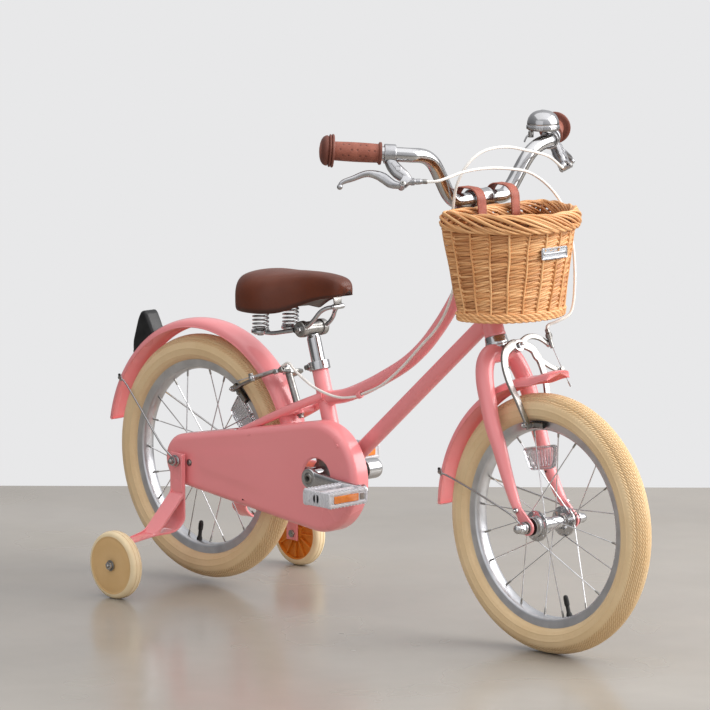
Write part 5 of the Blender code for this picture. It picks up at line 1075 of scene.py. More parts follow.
def chain_guard():
    insets = [(-0.0285, 0.0), (-0.0300, 0.0), (-0.0380, 0.0), (-0.0460, 0.0)]
    for k in range(1, 9):
        a = pi / 2 * k / 8
        insets.append((-0.0480 - 0.0120 * sin(a), 0.0120 * (1 - cos(a))))
    rings = [guard_outline(d) for _, d in insets]
    levels = [y for y, _ in insets]
    n = len(rings[0])
    points = [on_y(ring, y) for ring, y in zip(rings, levels)]
    quads = grid(len(rings), n, False, True)
    # the flat face, with a hole for the crank and one for the axle
    edge = rings[-1]
    crank_hole, axle_hole = circle(0.3165, 0.2195, 0.0305, 96), circle(0.0, 0.208, 0.0112, 40)
    inner = []
    xs, zs = np.arange(-0.05, 0.42, 0.0045), np.arange(0.12, 0.32, 0.0045)
    for i, x in enumerate(xs):
        for z in zs + (0.00225 if i % 2 else 0):
            inner.append((x, z))
    inner = np.array(inner)

    def within(p, poly):
        x, z = p[:, 0][:, None], p[:, 1][:, None]
        a, b = poly, np.roll(poly, -1, 0)
        hit = ((a[:, 1] > z) != (b[:, 1] > z)) & (x < (b[:, 0] - a[:, 0]) * (z - a[:, 1]) / (b[:, 1] - a[:, 1] + 1e-15) + a[:, 0])
        return hit.sum(1) % 2 == 1

    ring_out = circle(0.3165, 0.2195, 0.0330, 96)
    keep = within(inner, guard_outline(0.0155)) & (np.hypot(inner[:, 0] - 0.3165, inner[:, 1] - 0.2195) > 0.0355) & (np.hypot(inner[:, 0], inner[:, 1] - 0.208) > 0.0140)
    flat = np.vstack([edge, crank_hole, axle_hole, ring_out, inner[keep]])
    edges = []
    base = 0
    for loop in (edge, crank_hole, axle_hole, ring_out):
        m = len(loop)
        edges += [(base + k, base + (k + 1) % m) for k in range(m)]
        base += m
    verts, _, faces, _, _, _ = delaunay_2d_cdt([Vector(p) for p in flat], edges, [], 0, 1e-7)
    verts = np.array([(v.x, v.y) for v in verts])
    faces = np.array([f for f in faces if len(f) == 3])
    middle = verts[faces].mean(1)
    ok = within(middle, edge) & (np.hypot(middle[:, 0] - 0.3165, middle[:, 1] - 0.2195) > 0.0303) & (np.hypot(middle[:, 0], middle[:, 1] - 0.208) > 0.0110)
    faces = faces[ok]
    rise = guard_relief(verts[:, 0], verts[:, 1])
    lip = np.hypot(verts[:, 0] - 0.3165, verts[:, 1] - 0.2195)
    y = -0.0600 - rise + np.where(lip < 0.0308, 0.0022, 0.0)
    face_points = np.stack([verts[:, 0], y, verts[:, 1]], axis=1)
    form = Form()
    form.add(np.vstack(points), quads, [], "pink", closed=False)
    form.add(face_points, [], faces, "pink", closed=False)
    piece = make(form, "guard_shell_work", "frame", (), recalc=False)
    bm = bmesh.new()
    bm.from_mesh(piece.data)
    bmesh.ops.remove_doubles(bm, verts=bm.verts, dist=2e-6)
    bmesh.ops.recalc_face_normals(bm, faces=bm.faces)
    lead = max(bm.faces, key=lambda f: -abs(f.calc_center_median().x - 0.15 + SHIFT_X) - abs(f.calc_center_median().z - 0.21))
    if lead.normal.y > 0:
        bmesh.ops.reverse_faces(bm, faces=bm.faces)
    bm.to_mesh(piece.data)
    bm.free()
    thick = piece.modifiers.new("wall", "SOLIDIFY")
    thick.thickness, thick.offset, thick.use_even_offset = 0.0016, -1.0, True
    cutter_form = Form()
    tube(cutter_form, smooth(flip(SEAT_STAY[:6], -1), 40), 0.0080, 24)
    cutter = make(cutter_form, "guard_cutter_work", "frame")
    cutting = piece.modifiers.new("notch", "BOOLEAN")
    cutting.operation, cutting.solver, cutting.object = "DIFFERENCE", "EXACT", cutter
    soft = piece.modifiers.new("edge", "BEVEL")
    soft.width, soft.segments, soft.limit_method, soft.angle_limit = 0.0005, 2, "ANGLE", radians(50)
    bpy.context.view_layer.update()
    mesh = bpy.data.meshes.new_from_object(piece.evaluated_get(bpy.context.evaluated_depsgraph_get()))
    bpy.data.objects.remove(piece, do_unlink=True)
    bpy.data.objects.remove(cutter, do_unlink=True)
    mesh.shade_smooth()
    mesh.set_sharp_from_angle(angle=radians(40))
    shell = bpy.data.objects.new("chain_guard_shell", mesh)
    bpy.context.scene.collection.objects.link(shell)
    shell.modifiers.new("faces", "WEIGHTED_NORMAL").keep_sharp = True
    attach(shell, "frame")
    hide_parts("chain_guard")
    fit = Form()
    screw(fit, (0.0200, -0.0600, 0.2060), -Y, 0.0040, 0.0020, "steel")
    lathe(fit, [(-0.0003, 0.0044), (-0.0003, 0.0058), (0.0007, 0.0058), (0.0007, 0.0044)], (0.0200, -0.0600, 0.2060), -Y, 28, "steel", round_off=0.0002)
    screw(fit, (0.3640, -0.0600, 0.2760), -Y, 0.0030, 0.0016, "pink", slot=False)
    make(fit, "chain_guard_screws", "frame", ())


chain_guard()


# ====================================================================== mudguards
def mudguard(axle, start, end, steps, name, body, node, beak, stays, fixings):
    form = Form()
    outer = [(-1.0, -0.0134), (-0.985, -0.0105), (-0.92, -0.0070), (-0.78, -0.0038), (-0.55, -0.0016), (-0.28, -0.0004), (0.0, 0.0)]
    outer = smooth([(a * 0.024, r) for a, r in outer + [(-a, r) for a, r in reversed(outer[:-1])]], 33)
    n = len(outer)
    tangent = np.gradient(outer, axis=0)
    tangent /= np.linalg.norm(tangent, axis=1)[:, None]
    normal = np.stack([tangent[:, 1], -tangent[:, 0]], axis=1)
    if normal[n // 2][1] > 0:
        normal = -normal
    inner = outer + normal * 0.0012
    rings = []
    for k in range(steps + 1):
        share = k / steps
        a = start + (end - start) * share
        flare = beak * step(0.86, 1.0, share)
        lift = flare
        # the ends are rounded: the edges stop a little before the middle
        shape = []
        for group in (outer, inner[::-1]):
            for y, r in group:
                pull = 0.0
                if share < 0.02 or share > 0.98:
                    pull = 0.006 * (abs(y) / 0.024) ** 2.5 / (0.2265)
                    pull = pull if share < 0.5 else -pull
                shape.append(axle + vec((0.2265 + r + lift) * cos(a + pull * (1 if end > start else -1)), y, (0.2265 + r + lift) * sin(a + pull * (1 if end > start else -1))))
        rings.append(shape)
    loft(form, rings, False, (np.mean(rings[0], 0), np.mean(rings[-1], 0)), "pink")
    # rolled edges
    for idx in (0, n - 1):
        line = np.array([ring[idx] for ring in rings])
        tube(form, line, 0.0011, 10, "pink", ends="round")
    for route, eye_y0, eye_y1 in stays:
        for side in (-1, 1):
            line = smooth([(x, side * y, z) for x, y, z in route], 60)
            tube(form, line, 0.0016, 14, "chrome", ends="round")
            lo, hi = sorted((side * eye_y0, side * eye_y1))
            lathe(form, [(lo, 0.0050), (lo, 0.0082), (hi, 0.0082), (hi, 0.0050)], vec(axle[0], 0, axle[2]), Y, 36, "chrome", round_off=0.0006)
    for at, way in fixings:
        for side in (-1, 1):
            p, w = flip(at, side), flip(way, side)
            bar(form, [p - w * 0.0001 + vec(-0.004, 0, 0.006) * 0.8, p, p + vec(0.004, 0, -0.006) * 0.8], [0.0070] * 3, [0.0016] * 3, w, "chrome")
            nut(form, p + w * 0.0006, w, 0.0068, 0.0028, 0, "steel")
            screw(form, p + vec(-0.0026, 0, 0.0044) + w * 0.0008, w, 0.0022, 0.0012, "dark_steel", slot=False)
    return make(form, name, body, node, recalc=True)


rear_route = [(-0.0068, 0.07115, 0.2112), (-0.0140, 0.07115, 0.2156), (-0.0220, 0.07115, 0.2205), (-0.0420, 0.0682, 0.2325), (-0.1150, 0.0445, 0.2765), (-0.1640, 0.0285, 0.3055),
              (-0.1790, 0.0252, 0.3140), (-0.1868, 0.0250, 0.3178)]
mudguard(REAR_AXLE, radians(12.8), radians(171.3), 150, "rear_mudguard_blade", "frame", "rear_mudguard", 0.0, [(rear_route, 0.0700, 0.0722)],
         [(vec(-0.1868, 0.0246, 0.3180), vec(0, 1, 0))])
front_route = [(0.7620, 0.05615, 0.2030), (0.7540, 0.05615, 0.2085), (0.7456, 0.0562, 0.2140), (0.7250, 0.0552, 0.2215), (0.6400, 0.0390, 0.2400), (0.5780, 0.0262, 0.2510),
               (0.5585, 0.0250, 0.2546)]
mudguard(FRONT_AXLE, radians(180.0), radians(85.0), 110, "front_mudguard_blade", "steering", "front_mudguard", 0.0120, [(front_route, 0.0549, 0.0575)],
         [(vec(0.5572, 0.0246, 0.2560), vec(0, 1, 0))])


def rear_reflector():
    form = Form()
    outline = fillet([(-0.1640, 0.3580), (-0.1655, 0.3780), (-0.1540, 0.4200), (-0.1480, 0.4315), (-0.1405, 0.4335), (-0.1350, 0.4290), (-0.1215, 0.4050), (-0.1150, 0.3930),
                      (-0.1300, 0.3700)], [0.004, 0.010, 0.014, 0.006, 0.004, 0.006, 0.012, 0.005, 0.02], 8)

    # the foot follows the mudguard's crown, and the sides draw in towards the front
    def place(p, h):
        x, z = p[:, 0].copy(), p[:, 1].copy()
        width = np.interp(x, [-0.170, -0.150, -0.112], [0.0187, 0.0187, 0.0135]) * np.interp(z, [0.37, 0.39, 0.434], [1.0, 1.0, 0.86])
        y = np.broadcast_to(h, len(p)) * width / 0.0185
        d = np.hypot(x, z - 0.208)
        crown = 0.2270 - 0.0135 * np.abs(y / 0.024) ** 3.2
        near = d < crown + 0.0002
        s = np.where(near, (crown + 0.0002) / np.maximum(d, 1e-9), 1.0)
        x2, z2 = x * s, 0.208 + (z - 0.208) * s
        return np.stack([x2, y, z2], axis=1)

    slab(form, outline, -0.0183, 0.0183, place, [], 0.0058, 7, "black")
    way = unit((-0.1540 + 0.1655, 0, 0.4200 - 0.3780))
    face_out = unit(np.cross(Y, way))
    if face_out[0] > 0:
        face_out = -face_out
    at = vec(-0.1600, 0, 0.3985)
    lens = fillet([(-0.0128, -0.0165), (0.0128, -0.0165), (0.0118, 0.0165), (-0.0118, 0.0165)], 0.005, 6)
    slab(form, offset(lens, -0.0014), -0.0022, 0.0008, on_plane(at, Y, way, face_out), [], 0.0006, 2, "black")
    slab(form, lens, -0.0010, 0.0018, on_plane(at, Y, way, face_out), [], 0.0007, 2, "red")
    make(form, "rear_reflector_housing", "frame", "rear_reflector", sharp=40)


rear_reflector()

# ====================================================================== fork
FORK_BLADE = [(0.6590, 0.0100, 0.4530), (0.6575, 0.0215, 0.4485), (0.6605, 0.0330, 0.4360), (0.6680, 0.0415, 0.4150), (0.6790, 0.0460, 0.3855), (0.6915, 0.0475, 0.3478),
              (0.7066, 0.0465, 0.3111), (0.7215, 0.0470, 0.2745), (0.7369, 0.0485, 0.2430), (0.7455, 0.0496, 0.2290)]
CROWN = STEER_AT + STEER_DIR * (-0.0171)
FRONT_B, FRONT_E = unit((0.918, 0, 0.3967)), unit((0.3967, 0, -0.918))
FRONT_P = CROWN + FRONT_B * 0.0410


def fork():
    form = Form()
    for side in (-1, 1):
        line = smooth(flip(FORK_BLADE, side), 110)
        r = np.interp(line[:, 2], [0.2290, 0.2400, 0.3300, 0.4000, 0.4600], [0.0072, 0.0082, 0.0119, 0.0135, 0.0143])
        tube(form, line, r, 36, "pink", ends="round")
        plate = hull([(0.7686, 0.200, 0.0125), (0.7500, 0.2245, 0.0062)], 40)
        slab(form, plate, *sorted((side * 0.0480, side * 0.0520)), on_y, [circle(0.7686, 0.200, 0.0052, 28)], 0.0008, 3, "pink")
        # the blade's end is pressed flat where it meets the dropout
        bar(form, smooth([flip(p, side) for p in ((0.7446, 0.0495, 0.2310), (0.7500, 0.0500, 0.2222), (0.7570, 0.0500, 0.2130))], 10), [0.0150, 0.0140, 0.0110], [0.0110, 0.0064, 0.0042],
            Y, "pink", corner=0.7)
        lathe(form, [(0.0, 0.0), (0.0, 0.0016), (0.0004, 0.0018), (0.0008, 0.0012), (0.0008, 0.0)], flip((0.7236, 0.0365, 0.2700), side), (0, -side, 0), 16, "rubber")
    tube(form, [CROWN - Y * 0.0205, CROWN + Y * 0.0205], 0.0128, 40, "pink", ends="round")
    lathe(form, [(-0.0290, 0.0), (-0.0290, 0.0118), (-0.0270, 0.0134), (-0.0110, 0.0150), (-0.0096, 0.0146), (-0.0092, 0.0)], STEER_AT, STEER_DIR, 48, "pink", round_off=0.0008)
    lathe(form, [(-0.0100, 0.0), (-0.0100, 0.0124), (0.1570, 0.0124), (0.1570, 0.0)], STEER_AT, STEER_DIR, 40, "steel")
    lathe(form, [(0.1565, 0.0), (0.1565, 0.0160), (0.1600, 0.0164), (0.1612, 0.0156), (0.1620, 0.0162), (0.1668, 0.0162), (0.1700, 0.0152), (0.1728, 0.0148), (0.1732, 0.0)], STEER_AT, STEER_DIR, 48,
          "chrome", round_off=0.0003)
    lathe(form, [(-0.0120, 0.0036), (-0.0120, 0.0076), (-0.0070, 0.0082), (0.0130, 0.0082), (0.0140, 0.0074), (0.0140, 0.0036)], CROWN, FRONT_B, 28, "pink", round_off=0.0006)
    make(form, "fork_blades_and_crown", "steering", "fork")

    axle = Form()
    tube(axle, [FRONT_AXLE - Y * 0.0600, FRONT_AXLE + Y * 0.0600], 0.0044, 20, "steel")
    for side in (-1, 1):
        s = Y * side
        lathe(axle, [(0.0428, 0.0044), (0.0428, 0.0128), (0.0436, 0.0132), (0.0442, 0.0100), (0.0450, 0.0072), (0.0474, 0.0070), (0.0476, 0.0044)], FRONT_AXLE, s, 40, "dark_steel", round_off=0.0003)
        lathe(axle, [(0.0522, 0.0), (0.0522, 0.0096), (0.0528, 0.0100), (0.0536, 0.0096), (0.0538, 0.0)], FRONT_AXLE, s, 40, "steel", round_off=0.0002)
        nut(axle, FRONT_AXLE + s * 0.0580, s, 0.0176, 0.0085, 0, "chrome")
        lathe(axle, [(0.0578, 0.0), (0.0578, 0.0094), (0.0592, 0.0096), (0.0600, 0.0080), (0.0600, 0.0)], FRONT_AXLE, s, 40, "chrome", round_off=0.0003)
        lathe(axle, [(0.0655, 0.0), (0.0655, 0.0076), (0.0700, 0.0077), (0.0740, 0.0066), (0.0766, 0.0040), (0.0774, 0.0)], FRONT_AXLE, s, 40, "chrome")
        at = flip((0.7500, 0.0545, 0.2245), side)
        nut(axle, at, s, 0.0090, 0.0040, 0, "chrome")
        tube(axle, [at - s * 0.003, at + s * 0.0062], 0.0020, 14, "chrome", ends="round")
    make(axle, "front_axle_nuts", "steering", "front_axle")


fork()


# ====================================================================== front brake and rear brake
def caliper(p, b, e, pad_e, right_b, left_b, barrel, anchor, word, body_r, body_l, pad_target, axle):
    """Curved side-pull arms. Points are (side, along the arm, out of the arm's plane)."""

    def at(y, along, out=0.0):
        return p + Y * y + e * along + b * out

    pads = []
    for side, level, name, body in ((-1, right_b, "right", body_r), (1, left_b, "left", body_l)):
        form = Form()
        wide = 1.0 if word == "front" else 0.45
        route = [(0.0, 0.0), (0.010, -0.0030), (0.020, 0.0005), (0.0290 + 0.0010 * wide, 0.0065), (0.0335 + 0.0030 * wide, 0.0150), (0.0350 + 0.0055 * wide, 0.0270), (0.0350 + 0.0070 * wide, 0.0400),
                 (0.0345 + 0.0070 * wide, 0.0540), (0.0335 + 0.0055 * wide, 0.0680), (0.0315 + 0.0040 * wide, 0.0820), (0.0295 + 0.0015 * wide, pad_e - 0.014), (0.0280, pad_e + 0.004)]
        line = smooth([at(side * y, a, level) for y, a in route], 56)
        widths = np.interp(np.linspace(0, 1, 56), [0, 0.12, 0.3, 0.6, 0.85, 1], [0.0165, 0.0140, 0.0126, 0.0112, 0.0098, 0.0105])
        bar(form, line, widths, np.full(56, 0.0046), b, "steel", corner=0.35, per=4)
        lathe(form, [(level - 0.0025, 0.0042), (level - 0.0025, 0.0096), (level + 0.0025, 0.0096), (level + 0.0025, 0.0042)], p, b, 40, "chrome", round_off=0.0006)
        if word == "front":
            goes = barrel if side < 0 else anchor
        else:
            goes = barrel if side > 0 else anchor
        if word == "front" and side < 0:
            pts = [(0.004, -0.002), (0.025, -0.011), (0.046, -0.008), goes]
        elif word == "front":
            pts = [(0.0335, 0.012), (0.036, 0.022), (0.047, 0.030), (0.062, 0.040), goes]
        elif side > 0:
            pts = [(-0.002, -0.003), (-0.015, -0.010), (-0.030, -0.017), goes]
        else:
            pts = [(-0.0325, 0.010), (-0.035, 0.015), (-0.040, 0.019), (-0.048, 0.024), goes]
        line = smooth([at(y, a, level) for y, a in pts], 28)
        bar(form, line, np.interp(np.linspace(0, 1, 28), [0, 0.4, 0.85, 1], [0.0115, 0.0085, 0.0078, 0.0088]), np.full(28, 0.0042), b, "steel", corner=0.35)
        lathe(form, [(level - 0.0028, 0.0), (level - 0.0028, 0.0048), (level + 0.0028, 0.0048), (level + 0.0028, 0.0)], at(*goes), b, 28, "chrome", round_off=0.0007)
        if goes == barrel:
            # the threaded barrel that the housing ends in
            top = at(goes[0], goes[1], 0.0072 if word == "front" else level)
            lathe(form, [(-0.0155, 0.0028), (-0.0155, 0.0044), (-0.0145, 0.0048), (-0.0085, 0.0048), (-0.0080, 0.0040), (-0.0060, 0.0038), (-0.0056, 0.0030), (0.0080, 0.0030), (0.0080, 0.0014),
                         (-0.0150, 0.0012)], top, e, 24, "steel", round_off=0.0003)
            for k in range(10):
                w = 2 * pi * k / 10
                _, u, v = frames(np.array([top, top + e]))
                off = (u[0] * cos(w) + v[0] * sin(w)) * 0.0047
                tube(form, [top - e * 0.0140 + off, top - e * 0.0090 + off], 0.0006, 6, "steel")
        else:
            top = at(goes[0], goes[1], level + 0.0030)
            nut(form, top, b, 0.0088, 0.0040, 0, "steel")
            lathe(form, [(-0.0090, 0.0), (-0.0090, 0.0046), (-0.0062, 0.0048), (-0.0058, 0.0)], top, b, 20, "steel", round_off=0.0003)
        # shoe bolt with its washer and nut, and the rivet
        shoe = at(side * 0.0285, pad_e - 0.0030, level)
        for t in (0.0028,):
            lathe(form, [(0.0, 0.0), (0.0, 0.0052), (0.0012, 0.0054), (0.0016, 0.0)], shoe + Y * side * 0.0046, Y * side, 24, "steel", round_off=0.0002)
            nut(form, shoe + Y * side * 0.0060, Y * side, 0.0098, 0.0046, 0, "chrome")
            tube(form, [shoe + Y * side * 0.0100, shoe + Y * side * 0.0128], 0.0024, 16, "chrome", ends="round")
        rivet = at(side * 0.0348, 0.0320, level + 0.0022)
        ball(form, rivet, 0.0017, "steel", 12)
        make(form, word + "_brake_arm_" + name, body, word + "_caliper_arm_" + name, sharp=40)

        pad = Form()
        hub_dir = unit(axle - pad_target)
        tangent = unit(np.cross(Y, hub_dir))
        centre = axle - hub_dir * 0.1530
        lo, hi = 0.0146, 0.0232
        outline = fillet([(-0.0195, -0.0042), (0.0195, -0.0042), (0.0195, 0.0042), (-0.0195, 0.0042)], 0.0024, 5)
        # the pad follows the rim's curve
        def bend(pts, h, side=side, centre=centre, tangent=tangent, hub_dir=hub_dir):
            sag = 0.1530 - np.sqrt(np.maximum(0.1530**2 - pts[:, 0] ** 2, 0))
            return centre + pts[:, :1] * tangent + (sag - pts[:, 1])[:, None] * hub_dir + Y * (side * h)
        dense = spaced(np.vstack([outline, outline[:1]]), 90)[:-1]
        slab(pad, dense, lo, 0.0196, bend, [], 0.0008, 2, "rubber")
        for k in range(-3, 4):
            c = centre + tangent * 0.0052 * k + hub_dir * (0.1530 - sqrt(0.1530**2 - (0.0052 * k) ** 2)) + Y * side * 0.0172
            bar(pad, [c - hub_dir * 0.0050, c, c + hub_dir * 0.0050], [0.0012] * 3, [0.0022] * 3, tangent, "black", per=2)
        shell = fillet([(-0.0180, -0.0036), (0.0180, -0.0036), (0.0180, 0.0036), (-0.0180, 0.0036)], 0.0022, 5)
        slab(pad, spaced(np.vstack([shell, shell[:1]]), 80)[:-1], 0.0192, hi, bend, [], 0.0009, 2, "steel")
        lathe(pad, [(0.0, 0.0), (0.0, 0.0034), (0.0034, 0.0030), (0.0034, 0.0)], centre + Y * side * 0.0228, Y * side, 20, "steel", round_off=0.0003)
        make(pad, word + "_brake_shoe_" + name, body, word + "_brake_pad_" + name, sharp=40)


caliper(FRONT_P, FRONT_B, FRONT_E, 0.126, 0.0024, -0.0024, (0.0655, 0.0045), (0.0780, 0.0465), "front", "front_arm_r", "front_arm_l", vec(0.7518, 0, 0.3598), FRONT_AXLE)
caliper(REAR_P, REAR_B, REAR_E, 0.101, 0.0024, -0.0024, (-0.0420, -0.0200), (-0.0560, 0.0270), "rear", "rear_arm_r", "rear_arm_l",
        REAR_AXLE + unit((0.104, 0, 0.124)) * 0.15, REAR_AXLE)


def front_bolt():
    form = Form()
    p, b = CROWN, FRONT_B
    nut(form, p - b * 0.0220, b, 0.0104, 0.0050, 0, "steel")
    lathe(form, [(-0.0172, 0.0), (-0.0172, 0.0062), (-0.0142, 0.0062), (-0.0142, 0.0)], p, b, 24, "steel", round_off=0.0003)
    lathe(form, [(0.0142, 0.0), (0.0142, 0.0060), (0.0158, 0.0066), (0.0210, 0.0058), (0.0350, 0.0056), (0.0358, 0.0)], p, b, 28, "chrome", round_off=0.0004)
    lathe(form, [(0.0356, 0.0), (0.0356, 0.0028), (0.0464, 0.0028), (0.0464, 0.0)], p, b, 16, "steel")
    nut(form, p + b * 0.0462, b, 0.0104, 0.0038, 0, "chrome")
    tube(form, [p + b * 0.0498, p + b * 0.0520], 0.0026, 16, "chrome", ends="round")
    make(form, "front_brake_bolt", "steering", "front_caliper_bolt")


front_bolt()


# ====================================================================== stem, handlebar, grips, levers, bell
def along_grip(side, s):
    """A point on the bar's axis, s inboard of the grip's outer ring."""
    e = flip(GRIP_END, side)
    d = flip(GRIP_DIR, side)
    return e - d * s


def bar_axes(side):
    d = unit(flip(GRIP_DIR, side))
    f = vec(0.375, side * 0.3136, -0.872)
    f = unit(f - d * np.dot(f, d))
    return d, f, np.cross(f, d)


def stem_and_bar():
    form = Form()
    lathe(form, [(0.060, 0.0), (0.060, 0.0108), (0.1735, 0.0108), (0.1740, 0.0132), (0.1750, 0.0140), (0.1782, 0.0140), (0.1792, 0.0126), (0.1900, 0.0123), (0.2020, 0.0120), (0.2040, 0.0100),
                 (0.2062, 0.0070), (0.2066, 0.0)], STEER_AT, STEER_DIR, 48, "chrome")
    lathe(form, [(0.2050, 0.0), (0.2050, 0.0052), (0.2078, 0.0052), (0.2082, 0.0044), (0.2082, 0.0028), (0.2066, 0.0026), (0.2066, 0.0)], STEER_AT, STEER_DIR, 24, "steel")
    neck = smooth([on_steer(0.185), on_steer(0.200), (0.5925, 0, 0.672), (0.601, 0, 0.6815), (0.613, 0, 0.684)], 40)
    tube(form, neck, np.interp(np.linspace(0, 1, 40), [0, 0.4, 1], [0.0120, 0.0126, 0.0122]), 32, "chrome", ends="round")
    lathe(form, [(-0.0200, 0.0112), (-0.0200, 0.0152), (-0.0190, 0.0160), (-0.0172, 0.0160), (-0.0166, 0.0155), (0.0166, 0.0155), (0.0172, 0.0160), (0.0190, 0.0160), (0.0200, 0.0152), (0.0200, 0.0112)],
          BAR_CLAMP, Y, 64, "chrome", round_off=0.0003)
    low = BAR_CLAMP + vec(-0.0085, 0, -0.0150)
    bar(form, [low + vec(0.006, 0, 0.004), low, low + vec(-0.006, 0, -0.008)], [0.0150, 0.0140, 0.0110], [0.0070] * 3, unit((0.8, 0, -0.5)), "chrome")
    tube(form, [low - Y * 0.0085 + vec(-0.002, 0, -0.003), low + Y * 0.0085 + vec(-0.002, 0, -0.003)], 0.0030, 16, "steel")
    nut(form, low + Y * 0.0080 + vec(-0.002, 0, -0.003), Y, 0.0092, 0.0045, 0, "steel")
    make(form, "stem_quill_and_clamp", "steering", "stem")

    bend = [(0.613, 0.0, 0.684), (0.613, 0.0300, 0.684), (0.613, 0.0475, 0.684), (0.6133, 0.0570, 0.6868), (0.6138, 0.0655, 0.6935), (0.6145, 0.0735, 0.7030), (0.6160, 0.0855, 0.7205), (0.6175, 0.0960, 0.7355),
            (0.6190, 0.1070, 0.7478), (0.6200, 0.1200, 0.7562), (0.6195, 0.1345, 0.7605), (0.6168, 0.1514, 0.7621)]
    half = smooth([*bend, *(GRIP_END - GRIP_DIR * s for s in (0.092, 0.06, 0.03, -0.006))], 150)
    line = np.vstack([flip(half, -1)[::-1], half[1:]])
    form = Form()
    tube(form, line, 0.0111, 36, "chrome", ends="flat")
    # a ribbed stretch in the clamp
    for side in (-1, 1):
        for k in range(4):
            y = 0.0222 + 0.0022 * k
            lathe(form, [(y, 0.0105), (y + 0.0002, 0.01145), (y + 0.0010, 0.01145), (y + 0.0012, 0.0105)], BAR_CLAMP, Y * side, 48, "chrome")
    make(form, "swept_handlebar", "steering", "handlebar")


def grips():
    for side, word in SIDES:
        form = Form()
        e, d = flip(GRIP_END, side), unit(flip(GRIP_DIR, side))
        _, a, b = frames(np.array([e, e + d]))
        s = [(-0.0752, 0.0117), (-0.0752, 0.0162), (-0.0746, 0.0172), (-0.0722, 0.0173), (-0.0712, 0.0166), (-0.0702, 0.0148)]
        body = [(x, 0.0143 + 0.0006 * sin(pi * (x + 0.070) / 0.066)) for x in np.linspace(-0.0695, -0.0045, 66)]
        tail = [(-0.0040, 0.0150), (-0.0036, 0.0200), (-0.0032, 0.0240), (-0.0022, 0.0252), (-0.0006, 0.0253), (0.0002, 0.0244), (0.0006, 0.0228), (0.0010, 0.0226), (0.0014, 0.0240), (0.0022, 0.0248),
                (0.0034, 0.0247), (0.0042, 0.0236), (0.0046, 0.0220), (0.0052, 0.0214), (0.0060, 0.0226), (0.0072, 0.0230), (0.0100, 0.0224), (0.0130, 0.0204), (0.0156, 0.0168), (0.0174, 0.0112),
                (0.0183, 0.0050), (0.0185, 0.0)]
        profile = np.array([(-0.0700, 0.0)] + [(-0.0700, 0.0117)] + s + body + tail)
        profile[0] = (-0.0690, 0.0)
        profile[1] = (-0.0690, 0.0113)
        steps = 120
        w = 2 * pi * np.arange(steps) / steps
        x, r = profile[1:-1, 0][:, None], profile[1:-1, 1][:, None]
        rr = np.repeat(r, steps, 1)
        tint = np.zeros_like(rr)
        # pairs of dimples in staggered rows, each painted darker at its middle: painted shade in the dimple
        for row in range(10):
            angle = 2 * pi * row / 10
            for k in range(-1, 4):
                for pair in (0.0, 0.0088):
                    centre = -0.0640 + 0.0260 * k + pair + (0.0130 if row % 2 else 0.0)
                    if centre < -0.067 or centre > -0.007:
                        continue
                    gap = np.hypot(x - centre, 0.0145 * ((w[None, :] - angle + pi) % (2 * pi) - pi))
                    dip = np.exp(-((gap / 0.00115) ** 2))
                    rr = rr - 0.0010 * dip
                    tint = np.maximum(tint, dip)
        # the outer end is drawn darker as a whole and its grooves darker still, the deeper the darker (painted shade);
        # the inner flange is drawn darker as a whole
        tint = np.maximum(tint, np.where((x > -0.0045) & (r > 0.012), 0.55 + 0.25 * np.clip((0.0236 - r) / 0.003, 0, 1), 0))
        tint = np.maximum(tint, np.where(x < -0.0700, 0.45, 0))
        rings = e + d * x[..., None] + rr[..., None] * (np.cos(w)[None, :, None] * a[0] + np.sin(w)[None, :, None] * b[0])
        loft(form, rings, False, (e + d * profile[0][0], e + d * profile[-1][0]), "grip", tint)
        make(form, "handlebar_grip_" + word, "steering", "grip_" + word, sharp=50)


LEVER_S = 0.0880
LEVER_PIVOT = (-0.0190, 0.0500)


